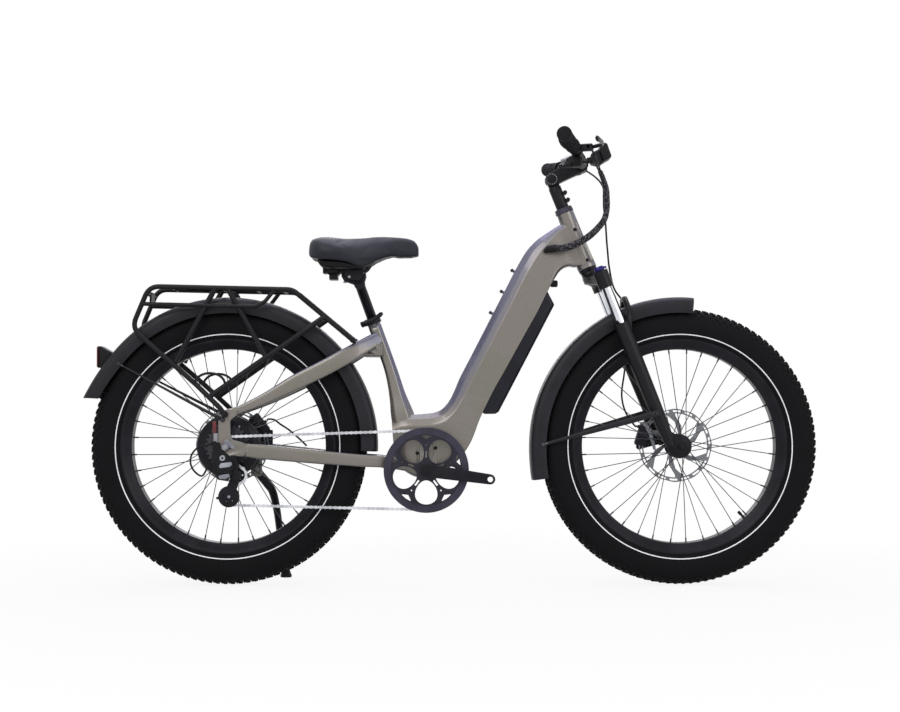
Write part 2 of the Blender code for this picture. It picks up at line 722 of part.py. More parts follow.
def fork_upper():
    bridge, legs = crown()
    steerer = rod(steer(0.500, 0), steer(HEAD_HIGH + 0.050, 0), STEERER_RADIUS, sides=24)
    seat_ring = rod(steer(0.508, 0), steer(HEAD_LOW - HEADSET_STACK * 0.72 - GAP, 0), 0.022,
                    sides=24)
    stanchions = both_sides(lambda side: rod(
        steer(STANCHION_END, STANCHION_OFFSET, side * FORK_HALF_TRACK),
        steer(CROWN_LOW + 0.02, STANCHION_OFFSET, side * FORK_HALF_TRACK),
        STANCHION_RADIUS, sides=14))
    return fuse(bridge, *[("+", leg) for leg in legs], ("+", steerer), ("+", seat_ring),
                *[("+", leg) for leg in stanchions])


def lockout_knob():
    base = CROWN_LOW + CROWN_CLAMP_HEIGHT + GAP
    profile = [(0, 0), (0.0125, 0), (0.0135, 0.004), (0.0135, 0.008), (0.0105, 0.0125),
               (0, 0.0125)]
    knob = turned(profile, 16, axes_matrix(steer(base, STANCHION_OFFSET, -FORK_HALF_TRACK),
                                           STEER_UP), closed=False)
    tab = block(steer(base + 0.0055, STANCHION_OFFSET + 0.0150, -FORK_HALF_TRACK),
                (0.010, 0.006, 0.006))
    return fuse(knob, ("+", tab))


def fork_leg(side):
    """One lower leg, solid until the stanchion's bore is cut."""
    profile = [(0, 0.014), (0.0125, 0.014), (0.0175, 0.070), (0.0193, 0.235),
               (LOWERS_RADIUS, LOWERS_TOP - 0.026), (LOWERS_RADIUS, LOWERS_TOP), (0, LOWERS_TOP)]
    return turned(profile, 14, axes_matrix(steer(0, STANCHION_OFFSET, side * FORK_HALF_TRACK),
                                           STEER_UP), closed=False)


def steer_plate(outline, low, high, bevel=0.0):
    """A plate whose outline is given as (fore, up) beside the steering axis."""
    turn = Matrix((STEER_FORE, Y_AXIS, STEER_UP)).transposed().to_4x4()
    return plate([outline], low, high, Matrix.Translation(STEER_FOOT) @ turn, bevel)


def fork_lowers():
    def foot(side):
        outline = link_outline((FORK_OFFSET, 0), 0.016, (0.026, 0.040), 0.013)
        low, high = FRONT_DROPOUT_FACE, FRONT_DROPOUT_FACE + FRONT_DROPOUT_THICKNESS
        return steer_plate(outline, min(side * low, side * high), max(side * low, side * high))

    legs = both_sides(fork_leg)
    feet = both_sides(foot)
    half = [(0.337, 0.034, 0.077), (0.372, 0.047, 0.073), (0.402, 0.0565, 0.056),
            (0.420, 0.0600, 0.026)]
    arch_points = [steer(up, fore, -side) for up, fore, side in half]
    arch_points += [steer(up, fore, side) for up, fore, side in half[::-1]]
    arch = wire(arch_points, ARCH_RADIUS, 1)
    bores = both_sides(lambda side: rod(
        steer(FORK_BORE_END, STANCHION_OFFSET, side * FORK_HALF_TRACK),
        steer(LOWERS_TOP + 0.05, STANCHION_OFFSET, side * FORK_HALF_TRACK),
        (STANCHION_RADIUS + GAP) / math.cos(math.pi / 14), sides=14))
    axle_bore = rod(FRONT_AXLE - Y_AXIS * 0.12, FRONT_AXLE + Y_AXIS * 0.12, AXLE_RADIUS + GAP)
    lug = steer_plate([(0.008, 0.018), (-0.044, 0.025), (-0.052, 0.034), (-0.044, 0.043),
                       (0.008, 0.056)], CALIPER_FACE, CALIPER_FACE + 0.007)
    top_lug = steer_plate([(0.008, 0.072), (-0.008, 0.075), (-0.013, 0.084), (-0.006, 0.093),
                           (0.008, 0.100)], CALIPER_FACE, CALIPER_FACE + 0.007)
    return fuse(legs[0], ("+", legs[1]), *[("+", piece) for piece in feet], ("+", arch),
                ("+", lug), ("+", top_lug), *[("-", bore) for bore in bores],
                ("-", axle_bore))


ARCH_RADIUS = 0.0085
CALIPER_FACE = 0.0690


CALIPER_REACH = 0.093             # middle of each brake caliper, from its axle
FRONT_CALIPER_ANGLE = math.radians(163)
REAR_CALIPER_ANGLE = math.radians(38)


def caliper_frame(axle, angle):
    """X away from the axle, Y to the left of the bicycle, Z along the disc's edge."""
    radial = Vector((math.cos(angle), 0, math.sin(angle)))
    turn = Matrix((radial, Y_AXIS, radial.cross(Y_AXIS))).transposed().to_4x4()
    return Matrix.Translation(axle + CALIPER_REACH * radial) @ turn


def caliper(matrix, disc_y, banjo_z):
    """Two halves astride the disc, bridged outside its edge, with the hose's banjo boss."""
    near = disc_y - ROTOR_THICKNESS / 2 - 0.0015
    far = disc_y + ROTOR_THICKNESS / 2 + 0.0015
    bridge = block((0.0120, disc_y, 0), (0.0080, 0.0180, 0.050), matrix)
    inner = block((0, near - 0.0055, 0), (0.0290, 0.0110, 0.056), matrix)
    outer = block((0, far + 0.0055, 0), (0.0300, 0.0110, 0.060), matrix, bevel=0.003)
    piston = rod(matrix @ Vector((-0.001, near - 0.0060, 0)),
                 matrix @ Vector((-0.001, near - 0.0130, 0)), 0.0125, sides=10)
    banjo = rod(matrix @ Vector((0.010, far + 0.0050, banjo_z)),
                matrix @ Vector((BANJO_REACH, far + 0.0050, banjo_z)), 0.0048, sides=6)
    return bridge, [("+", inner), ("+", outer), ("+", piston), ("+", banjo)]


BANJO_REACH = 0.0200
FRONT_BANJO_Z = -0.020
REAR_BANJO_Z = -0.004


def front_brake_caliper():
    matrix = caliper_frame(FRONT_AXLE, FRONT_CALIPER_ANGLE)
    first, steps = caliper(matrix, FRONT_ROTOR_Y, FRONT_BANJO_Z)
    for z in (-0.032, 0.032):
        ear = rod(matrix @ Vector((-0.001, 0.0590, z)), matrix @ Vector((-0.001, CALIPER_FACE - GAP, z)),
                  0.0085, sides=8)
        steps.append(("+", ear))
    return fuse(first, *steps)


def fitted_axle(centre, face, thickness, nut_radius, length):
    """A fixed axle with a nut outside each dropout."""
    axle = rod(centre - Y_AXIS * length, centre + Y_AXIS * length, AXLE_RADIUS, sides=10)
    nuts = both_sides(lambda side: rod(centre + Y_AXIS * side * (face + thickness + GAP),
                                       centre + Y_AXIS * side * (face + thickness + 0.0095),
                                       nut_radius, sides=6))
    return fuse(axle, *[("+", nut) for nut in nuts])


# Wheels
def tyre(axle):
    inner_half = RIM_HALF_WIDTH - RIM_WALL - GAP
    bead = RIM_RADIUS - 0.001
    height = TYRE_RADIUS - RIM_RADIUS
    outer = [(bead, inner_half - 0.0012), (RIM_RADIUS + 0.0030, inner_half + 0.0005),
             (RIM_RADIUS + 0.32 * height, TYRE_HALF_WIDTH - 0.0008),
             (RIM_RADIUS + 0.70 * height, TYRE_HALF_WIDTH - 0.0025),
             (RIM_RADIUS + 0.91 * height, TYRE_HALF_WIDTH - 0.0155),
             (TYRE_RADIUS, TREAD_HALF_WIDTH)]
    inner = [(TYRE_RADIUS - 1.7 * TYRE_WALL, TREAD_HALF_WIDTH),
             (RIM_RADIUS + 0.62 * height, TYRE_HALF_WIDTH - TYRE_WALL - 0.003),
             (bead, inner_half - TYRE_WALL)]
    half = outer + inner
    profile = half[:len(outer)] + [(r, -y) for r, y in outer[::-1]]
    profile += [(r, -y) for r, y in inner[::-1]] + inner
    return turned(profile, WHEEL_STEPS, along_y(axle))


def rim(axle):
    base = RIM_RADIUS - RIM_DEPTH
    well = RIM_HALF_WIDTH * 0.62
    half = [(base, well), (RIM_RADIUS, RIM_HALF_WIDTH), (RIM_RADIUS, RIM_HALF_WIDTH - RIM_WALL),
            (base + RIM_WALL, well - 0.003)]
    profile = half + [(r, -y) for r, y in half[::-1]]
    return turned(profile, WHEEL_STEPS, along_y(axle))


def spokes(axle, flange_radius, flange_y, rim_y, crossing):
    """Spokes laced from both flanges to the rim."""
    end_radius = RIM_RADIUS - RIM_DEPTH - 2 * GAP
    bars = []
    per_side = SPOKE_COUNT // 2
    for i in range(SPOKE_COUNT):
        side = 1 if i % 2 else -1
        lead = 1 if (i // 2) % 2 else -1
        rim_angle = 2 * math.pi * (i + 0.5) / SPOKE_COUNT
        hub_angle = rim_angle + lead * crossing * 2 * math.pi / per_side
        offset = side * flange_y + lead * side * 1.3 * SPOKE_RADIUS
        start = axle + Vector((flange_radius * math.cos(hub_angle), offset,
                               flange_radius * math.sin(hub_angle)))
        end = axle + Vector((end_radius * math.cos(rim_angle), side * rim_y,
                             end_radius * math.sin(rim_angle)))
        bars.append(rod(start, end, 1.2 * SPOKE_RADIUS, sides=3))
    return bars


def front_hub():
    bore = AXLE_RADIUS + GAP
    end = FRONT_DROPOUT_FACE - GAP
    seat_y = FRONT_ROTOR_Y - ROTOR_THICKNESS / 2 - GAP
    profile = [(bore, -end), (0.011, -end), (0.013, -0.040), (0.029, -0.037), (0.029, -0.033),
               (0.015, -0.029), (0.015, 0.029), (0.029, 0.033), (0.029, 0.037), (0.021, seat_y),
               (0.011, seat_y), (0.011, end), (bore, end)]
    hub = turned(profile, 16, along_y(FRONT_AXLE))
    return fuse(hub, *[("+", bar) for bar in spokes(FRONT_AXLE, 0.0265, 0.035, 0.012, 1.5)])


def rear_hub_motor():
    bore = AXLE_RADIUS + GAP
    right = INNER_COG_Y + COG_THICKNESS / 2 + GAP
    flange = 0.026
    rotor_seat = REAR_ROTOR_Y - ROTOR_THICKNESS / 2 - GAP
    half = flange + 0.0035
    profile = [(bore, right), (0.030, right), (0.034, MOTOR_RIGHT), (0.070, MOTOR_RIGHT + 0.004),
               (MOTOR_RADIUS - 0.001, -half), (MOTOR_RADIUS, -half + 0.006),
               (MOTOR_RADIUS, half - 0.006), (MOTOR_RADIUS - 0.001, half),
               (0.066, MOTOR_LEFT - 0.004), (0.030, MOTOR_LEFT), (0.024, rotor_seat),
               (bore, rotor_seat)]
    hub = turned(profile, 20, along_y(REAR_AXLE))
    return fuse(hub, *[("+", bar) for bar in spokes(REAR_AXLE, MOTOR_RADIUS - 0.002, flange,
                                                    0.012, 0.5)])


def rotor(axle, y, bore):
    """A brake disc: a slotted band carried by six swept arms on a ring."""
    centre = (axle.x, axle.z)
    low, high = y - ROTOR_THICKNESS / 2, y + ROTOR_THICKNESS / 2
    arms = 6
    ease = ROTOR_THICKNESS * 0.1
    band = plate([circle(centre, ROTOR_RADIUS, 30), circle(centre, ROTOR_RADIUS - 0.016, 24)],
                 low, high)
    hub = plate([circle(centre, 0.030, 12), circle(centre, bore, 12)], low, high)
    pieces = [("+", hub)]
    for i in range(arms):
        a = 2 * math.pi * i / arms
        b = a + math.radians(34)
        inner = [(centre[0] + 0.0285 * math.cos(a + t), centre[1] + 0.0285 * math.sin(a + t))
                 for t in (-0.17, 0.17)]
        outer = [(centre[0] + (ROTOR_RADIUS - 0.0145) * math.cos(b + t),
                  centre[1] + (ROTOR_RADIUS - 0.0145) * math.sin(b + t)) for t in (0.06, -0.06)]
        pieces.append(("+", plate([inner + outer], low + ease, high - ease)))
    return fuse(band, *pieces)


# Fenders
def fender(axle, start, end, radius, skirt, flare):
    """A curved guard: a crowned channel swept round the wheel."""
    stations = 15
    section = ((-1.0, skirt), (-1.0, radius - 0.016), (-0.60, radius - 0.001),
               (0.60, radius - 0.001), (1.0, radius - 0.016), (1.0, skirt))
    half = FENDER_HALF_WIDTH - FENDER_THICKNESS / 2
    shape = bmesh.new()
    rows = []
    for i in range(stations):
        share = i / (stations - 1)
        angle = math.radians(start + (end - start) * share)
        lift = flare * max(0.0, (share - 0.86) / 0.14) ** 2
        row = []
        for y, r in section:
            r_here = r - FENDER_THICKNESS / 2 + lift
            row.append(shape.verts.new(axle + Vector((r_here * math.cos(angle), y * half,
                                                      r_here * math.sin(angle)))))
        rows.append(row)
    for before, after in zip(rows, rows[1:]):
        for i in range(len(section) - 1):
            shape.faces.new((before[i], before[i + 1], after[i + 1], after[i]))
    bmesh.ops.recalc_face_normals(shape, faces=shape.faces)
    mesh = bpy.data.meshes.new("fender")
    shape.to_mesh(mesh)
    shape.free()
    thing = mesh_object(mesh)
    wall = thing.modifiers.new("Wall", "SOLIDIFY")
    wall.thickness = FENDER_THICKNESS
    wall.offset = 0
    return applied(thing)


def fender_stay(side, eye, eye_y, skirt_point):
    """A wire stay from an eyelet beside the axle to the inner face of the skirt."""
    start = Vector((eye[0], side * eye_y, eye[1]))
    end = Vector((skirt_point[0], side * (FENDER_HALF_WIDTH + 0.0005), skirt_point[1]))
    knee = start + (end - start) * 0.12
    knee.y = start.y + side * 0.001
    inward = Vector((0, -side, 0))
    return wire([start, knee, end, end + inward * 0.0015], 0.0025, 1)


def rear_fender():
    shell = fender(REAR_AXLE, -2.0, 161.6, FENDER_RADIUS, 0.357, 0.011)
    eye = (REAR_AXLE.x - 0.0075, REAR_AXLE.z + 0.072)
    eye_low = DROPOUT_FACE + DROPOUT_THICKNESS + GAP
    steps = []
    for side in (-1, 1):
        steps.append(("+", fender_stay(side, eye, eye_low + 0.0025,
                                       (REAR_AXLE.x - 0.287, REAR_AXLE.z + 0.2185))))
        steps.append(("+", rod(Vector((eye[0], side * eye_low, eye[1])),
                               Vector((eye[0], side * (eye_low + 0.005), eye[1])), 0.005,
                               sides=10)))
    return fuse(shell, *steps)


def front_fender():
    shell = fender(FRONT_AXLE, 84.4, 193.0, FENDER_RADIUS + 0.001, 0.358, 0.004)
    eye = steer(0.108, STANCHION_OFFSET - 0.004)
    eye_low = FORK_HALF_TRACK + 0.0184
    steps = []
    for side in (-1, 1):
        steps.append(("+", fender_stay(side, (eye.x, eye.z), eye_low + 0.0025,
                                       (FRONT_AXLE.x - 0.363, FRONT_AXLE.z + 0.006))))
        steps.append(("+", rod(Vector((eye.x, side * eye_low, eye.z)),
                               Vector((eye.x, side * (eye_low + 0.005), eye.z)), 0.005,
                               sides=10)))
    return fuse(shell, *steps)


def tail_light():
    outline = [(-0.3530, 0.268), (-0.3425, 0.268), (-0.3095, 0.249), (-0.3000, 0.225),
               (-0.3300, 0.208), (-0.3405, 0.210), (-0.3530, 0.210)]
    places = [(REAR_AXLE.x + x, REAR_AXLE.z + z) for x, z in outline]
    body = plate([places], -0.027, 0.027, bevel=0.003)
    guard = rod(REAR_AXLE - Y_AXIS * 0.06, REAR_AXLE + Y_AXIS * 0.06, FENDER_RADIUS + GAP,
                sides=120)
    return fuse(body, ("-", guard))


# Rack
RACK_HALF_WIDTH = 0.070
RACK_TUBE = 0.0063
RACK_THIN = 0.0050
# Side loop as (X, Z, side), X and Z from the rear axle, from the rear foot to the front foot
RACK_LOOP = (
    (-0.0015, 0.086, 0.0982), (-0.0150, 0.104, 0.0962), (-0.0785, 0.164, 0.0800),
    (-0.2130, 0.281, 0.0700), (-0.2360, 0.304, 0.0700), (-0.2380, 0.335, 0.0700),
    (-0.2080, 0.412, 0.0700), (-0.1800, 0.425, 0.0700), (0.1560, 0.417, 0.0700),
    (0.1900, 0.405, 0.0700), (0.3345, 0.283, 0.0720),
)


def rack_side(side):
    def at(points):
        return [REAR_AXLE + Vector((x, side * y, z)) for x, z, y in points]

    lower_rail = [(-0.2250, 0.379, 0.0705), (0.0635, 0.372, 0.0800), (0.0915, 0.373, 0.0780),
                  (0.1250, 0.412, 0.0705)]
    struts = ([(-0.0310, 0.421, 0.0700), (-0.1360, 0.226, 0.0720)],
              [(0.0020, 0.421, 0.0700), (0.1060, 0.233, 0.0800)],
              [(0.2600, 0.345, 0.0720), (-0.0437, 0.1300, 0.0887)])
    pieces = [wire(at(lower_rail), RACK_THIN, 1)]
    pieces += [wire(at(points), RACK_THIN, 1) for points in struts]
    foot = REAR_AXLE + Vector((-0.0015, 0, 0.086))
    face = DROPOUT_FACE + DROPOUT_THICKNESS
    pieces.append(rod(foot + Y_AXIS * side * (face + GAP), foot + Y_AXIS * side * (face + 0.010),
                      0.0068, sides=10))
    head = REAR_AXLE + Vector((0.3345, side * 0.050, 0.283))
    pieces.append(rod(head, head + Y_AXIS * side * 0.026, 0.0068, sides=10))
    return [wire(at(RACK_LOOP), RACK_TUBE, 1), *pieces]


def rear_rack():
    first, *right = rack_side(-1)
    bars = []
    for x, z in ((-0.2080, 0.412), (-0.1500, 0.4245), (-0.0150, 0.421), (0.0750, 0.419),
                 (0.1560, 0.417)):
        place = REAR_AXLE + Vector((x, 0, z))
        bars.append(rod(place - Y_AXIS * RACK_HALF_WIDTH, place + Y_AXIS * RACK_HALF_WIDTH,
                        RACK_THIN, sides=6))
    deck = [REAR_AXLE + Vector((x, 0, 0.4225)) for x in (-0.1500, 0.0750)]
    middle = rod(deck[0], deck[1], RACK_THIN, sides=6)
    plate_back = block(REAR_AXLE + Vector((-0.2100, 0, 0.396)), (0.005, 0.056, 0.034), bevel=0.001)
    stays = [("-", stay(SEATSTAY_STATIONS, side, GAP)) for side in (-1, 1)]
    return fuse(first, *[("+", piece) for piece in right], *[("+", bar) for bar in bars],
                *[("+", piece) for piece in rack_side(1)], ("+", middle), ("+", plate_back),
                *stays)


# Drive
def pitch_radius(teeth):
    return CHAIN_PITCH / (2 * math.sin(math.pi / teeth))


def toothed(centre, teeth, start=0.0, under_chain=True):
    """The outline of a sprocket. Teeth that carry the chain end just under it."""
    tip = pitch_radius(teeth) + 0.0024
    if under_chain:
        tip = pitch_radius(teeth) * math.cos(math.pi / teeth) - CHAIN_HEIGHT / 2 - GAP
    points = []
    for i in range(2 * teeth):
        angle = start + math.pi * i / teeth
        radius = tip - 0.0055 * (i % 2)
        points.append((centre[0] + radius * math.cos(angle), centre[1] + radius * math.sin(angle)))
    return points


def chainring():
    """The toothed ring, its spider of five arms and the guard ring outside it."""
    centre = (BB.x, BB.z)
    half = 0.0011
    guard_outer = pitch_radius(CHAINRING_TEETH) + 0.0068
    ring = plate([toothed(centre, CHAINRING_TEETH), circle(centre, 0.0850, 24)],
                 CHAINRING_Y - half, CHAINRING_Y + half)
    guard = plate([circle(centre, guard_outer, 40), circle(centre, 0.0880, 24)],
                  CHAINRING_Y - 0.0076, CHAINRING_Y - 0.0058)
    hub_back = CHAINRING_Y + 0.002
    hub = turned([(SPINDLE_RADIUS + GAP, 0), (0.021, 0), (0.021, -0.0138),
                  (SPINDLE_RADIUS + GAP, -0.0138)], 16, along_y(Vector((BB.x, hub_back, BB.z))))
    pieces = [("+", guard), ("+", hub)]
    for i in range(5):
        heading = math.radians(90 + 72 * i)
        spread = ((0.018, 0.55), (0.050, 0.17), (0.092, 0.25))
        arm = [(r, -a) for r, a in spread] + [(r, a) for r, a in spread[::-1]]
        outline = [(centre[0] + r * math.cos(heading + a), centre[1] + r * math.sin(heading + a))
                   for r, a in arm]
        pieces.append(("+", plate([outline], CHAINRING_Y - 0.0064, CHAINRING_Y - 0.0005)))
    return fuse(ring, *pieces)


def crank(side, angle, with_spindle):
    centre = (BB.x, BB.z)
    eye = (BB.x + CRANK_LENGTH * math.cos(angle), BB.z + CRANK_LENGTH * math.sin(angle))
    low, high = sorted((side * CRANK_FACE, side * CRANK_OUTER))
    arm = plate([link_outline(centre, 0.0175, eye, 0.0135), circle(eye, 0.0072, 12)], low, high)
    if with_spindle:
        return fuse(arm, ("+", rod(BB + Y_AXIS * side * (CRANK_FACE + 0.002),
                                   BB - Y_AXIS * side * (CRANK_FACE + 0.006), SPINDLE_RADIUS,
                                   sides=20)))
    socket = rod(BB + Y_AXIS * side * (CRANK_FACE - 0.01), BB + Y_AXIS * side * (CRANK_FACE + 0.0065),
                 SPINDLE_RADIUS + GAP, sides=20)
    boss = rod(BB + Y_AXIS * side * (CRANK_FACE - 0.0095), BB + Y_AXIS * side * (CRANK_FACE + 0.002),
               0.0155, sides=16)
    return fuse(arm, ("+", boss), ("-", socket))


def freewheel():
    """Seven cogs on one sleeve. The middle ones have a corner for each tooth."""
    centre = (REAR_AXLE.x, REAR_AXLE.z)
    sleeve = turned([(AXLE_RADIUS + 0.004, INNER_COG_Y + COG_THICKNESS / 2 - 0.0002),
                     (0.0180, INNER_COG_Y + COG_THICKNESS / 2 - 0.0002),
                     (0.0180, OUTER_COG_Y - 0.0030), (AXLE_RADIUS + 0.004, OUTER_COG_Y - 0.0030)],
                    12, along_y(Vector((REAR_AXLE.x, 0, REAR_AXLE.z))))
    cogs = []
    for i, teeth in enumerate(COG_TEETH):
        y = INNER_COG_Y - i * COG_SPACING
        outline = circle(centre, pitch_radius(teeth) + 0.0010, teeth, 0.1 * i)
        if teeth in (COG_TEETH[0], COG_TEETH[-1]):
            outline = toothed(centre, teeth, 0.1 * i, teeth == COG_TEETH[-1])
        hole = circle(centre, 0.0150, 12, 0.13)
        cogs.append(("+", plate([outline, hole], y - COG_THICKNESS / 2, y + COG_THICKNESS / 2)))
    return fuse(sleeve, *cogs)


def pulley(centre):
    outline = toothed((centre.x, centre.z), PULLEY_TEETH)
    hole = circle((centre.x, centre.z), PULLEY_PIN + GAP, 8)
    return plate([outline, hole], PULLEY_Y - 0.0012, PULLEY_Y + 0.0012)


PULLEY_PIN = 0.0030
CAGE_INNER = PULLEY_Y + 0.0045
CAGE_OUTER = PULLEY_Y - 0.0045


def derailleur_cage():
    guide = (GUIDE_PULLEY.x, GUIDE_PULLEY.z)
    tension = (TENSION_PULLEY.x, TENSION_PULLEY.z)
    outline = link_outline(guide, 0.0105, tension, 0.0120, 6)
    inner = plate([outline], CAGE_INNER, CAGE_INNER + 0.0016)
    outer = plate([outline], CAGE_OUTER - 0.0016, CAGE_OUTER)
    pins = [("+", rod(centre + Y_AXIS * 0.0055, centre - Y_AXIS * 0.0055, PULLEY_PIN, sides=8))
            for centre in (GUIDE_PULLEY, TENSION_PULLEY)]
    return fuse(inner, ("+", outer), *pins)


def derailleur_body():
    """The hanger bolt, the parallelogram link and the knuckle over the cage."""
    face = CAGE_OUTER - 0.0016 - GAP
    knuckle = rod(Vector((GUIDE_PULLEY.x, face, GUIDE_PULLEY.z)),
                  Vector((GUIDE_PULLEY.x, face - 0.015, GUIDE_PULLEY.z)), 0.0130, sides=14)
    outer_face = -(DROPOUT_FACE + DROPOUT_THICKNESS + GAP)
    top = Vector((HANGER_BOLT.x, outer_face, HANGER_BOLT.z))
    hinge = rod(top, top - Y_AXIS * 0.012, 0.0105, sides=14)
    corners = ((1, 1), (1, -1), (-1, -1), (-1, 1))
    stations = [(top + Vector((0.001, -0.0062, -0.002)), 0.0090, 0.0055),
                (top + Vector((0.005, -0.0062, -0.019)), 0.0100, 0.0055),
                (Vector((GUIDE_PULLEY.x - 0.008, face - 0.0075, GUIDE_PULLEY.z + 0.006)),
                 0.0110, 0.0065)]
    link = loft([[middle + Vector((a * long, b * wide, 0)) for a, b in corners]
                 for middle, long, wide in stations])
    bolt = rod(top + Y_AXIS * (DROPOUT_THICKNESS + 0.001), top - Y_AXIS * 0.002,
               HANGER_BOLT_RADIUS, sides=8)
    horn = rod(top + Vector((-0.006, -0.006, -0.004)), top + Vector((-0.027, -0.006, -0.013)),
               0.0045, sides=8)
    return fuse(knuckle, ("+", hinge), ("+", link), ("+", bolt), ("+", horn))


def chain_path():
    """Closely spaced points round the whole chain."""
    ring = ((BB.x, BB.z), pitch_radius(CHAINRING_TEETH), CHAINRING_Y, 1)
    cog = ((REAR_AXLE.x, REAR_AXLE.z), pitch_radius(COG_TEETH[-1]), OUTER_COG_Y, 1)
    guide = ((GUIDE_PULLEY.x, GUIDE_PULLEY.z), pitch_radius(PULLEY_TEETH), PULLEY_Y, -1)
    tension = ((TENSION_PULLEY.x, TENSION_PULLEY.z), pitch_radius(PULLEY_TEETH), PULLEY_Y, 1)
    wheels = [ring, tension, guide, cog]
    runs = []
    for here, there in zip(wheels, wheels[1:] + wheels[:1]):
        runs.append(straight_run(here, there))
    track = []
    for i, wheel in enumerate(wheels):
        arrive = runs[i - 1][1]
        leave = runs[i][0]
        centre, radius, y, sense = wheel
        a = math.atan2(arrive.y - centre[1], arrive.x - centre[0])
        b = math.atan2(leave.y - centre[1], leave.x - centre[0])
        sweep = (a - b) % (2 * math.pi) if sense > 0 else (b - a) % (2 * math.pi)
        count = max(2, int(sweep * radius / 0.001))
        for k in range(count + 1):
            angle = a - sense * sweep * k / count
            track.append(Vector((centre[0] + radius * math.cos(angle), y,
                                 centre[1] + radius * math.sin(angle))))
    return track


def straight_run(here, there):
    """The straight run from one sprocket to the next, each turning its own way."""
    (ax, az), ra, _, sense_a = here
    (bx, bz), rb, _, sense_b = there
    run = Vector((bx - ax, bz - az))
    length = run.length
    heading = math.atan2(run.y, run.x)
    # Clockwise wheels touch the run on its left, the others on its right
    lean = math.acos((sense_a * ra - sense_b * rb) / length)
    angle = heading + lean
    normal = Vector((math.cos(angle), math.sin(angle)))
    return Vector((ax, az)) + normal * sense_a * ra, Vector((bx, bz)) + normal * sense_b * rb


def spaced(track, count):
    """Equally spaced points on a closed track."""
    closed = track + track[:1]
    lengths = [0.0]
    for before, after in zip(closed, closed[1:]):
        lengths.append(lengths[-1] + (after - before).length)
    total = lengths[-1]
    points = []
    k = 0
    for i in range(count):
        target = total * i / count
        while lengths[k + 1] < target:
            k += 1
        share = (target - lengths[k]) / (lengths[k + 1] - lengths[k])
        points.append(closed[k].lerp(closed[k + 1], share))
    return points, total


def chain():
    """One closed band, wide and narrow link by link."""
    track = chain_path()
    _, total = spaced(track, 8)
    links = 2 * round(total / CHAIN_PITCH / 2)
    points, _ = spaced(track, links)
    shape = bmesh.new()
    rows = []
    count = len(points)
    for i, here in enumerate(points):
        along = (points[(i + 1) % count] - points[i - 1]).normalized()
        turn = (points[(i + 1) % count] - here).angle(here - points[i - 1])
        if i % 2 and turn < 0.004:
            continue
        out = along.cross(Y_AXIS).normalized()
        height = CHAIN_HEIGHT / 2
        half = CHAIN_WIDTH / 2 if i % 2 == 0 else CHAIN_WIDTH / 2 - 0.0012
        corners = ((height, half), (height, -half), (-height, -half), (-height, half))
        rows.append([shape.verts.new(here + out * u + Y_AXIS * w) for u, w in corners])
    for i, before in enumerate(rows):
        after = rows[(i + 1) % len(rows)]
        for j in range(4):
            k = (j + 1) % 4
            shape.faces.new((before[j], before[k], after[k], after[j]))
    return from_bmesh(shape)


# Seat
def seatpost():
    post = rod(seat(SEATPOST_END, 0), seat(SEATPOST_TOP, 0), SEATPOST_RADIUS, sides=16)
    head = rod(seat(SEATPOST_TOP - 0.012, 0, -0.016), seat(SEATPOST_TOP - 0.012, 0, 0.016),
               0.0150, sides=14)
    return fuse(post, ("+", head))


RAIL_RADIUS = 0.0035
RAIL_HALF_TRACK = 0.022
RAIL_POINTS = ((0.4325, 0.498), (0.4050, 0.486), (0.3650, 0.4705), (0.2950, 0.4665),
               (0.2650, 0.474), (0.2450, 0.4920))


def rail_path(side, longer=0.0):
    spread = (0.35, 0.7, 1.0, 1.0, 1.15, 1.5)
    path = [REAR_AXLE + Vector((x, side * RAIL_HALF_TRACK * s, z))
            for (x, z), s in zip(RAIL_POINTS, spread)]
    path[0] += (path[0] - path[1]).normalized() * longer
    path[-1] += (path[-1] - path[-2]).normalized() * longer
    return path


def saddle_clamp():
    """Two saddle rails in the clamp that bolts them to the post's head."""
    rails = both_sides(lambda side: wire(rail_path(side), RAIL_RADIUS, 1))
    centre = seat(SEATPOST_TOP - 0.012, 0)
    shell = block(centre + Vector((-0.004, 0, 0.0295)), (0.052, 0.056, 0.013), bevel=0.003)
    cheeks = [("+", block(centre + Vector((0, side * 0.0215, 0.010)), (0.034, 0.0095, 0.042)))
              for side in (-1, 1)]
    clear = rod(centre - Y_AXIS * 0.0163, centre + Y_AXIS * 0.0163, 0.0150 + GAP, sides=14)
    post_clear = rod(seat(SEATPOST_TOP - 0.06, 0), seat(SEATPOST_TOP + GAP, 0),
                     SEATPOST_RADIUS + GAP, sides=16)
    return fuse(shell, *cheeks, *[("+", rail) for rail in rails], ("-", clear), ("-", post_clear))


# Saddle stations as (X, half width, top Z, side Z, bottom Z), X and Z from the rear axle
SADDLE_STATIONS = (
    (0.2120, 0.050, 0.545, 0.530, 0.511),
    (0.2350, 0.096, 0.566, 0.536, 0.507),
    (0.2850, 0.104, 0.5620, 0.536, 0.500),
    (0.3400, 0.086, 0.5580, 0.531, 0.493),
    (0.3900, 0.050, 0.5580, 0.530, 0.503),
    (0.4450, 0.028, 0.5600, 0.533, 0.509),
    (0.4960, 0.026, 0.5620, 0.533, 0.508),
    (0.5060, 0.014, 0.5450, 0.530, 0.513),
)


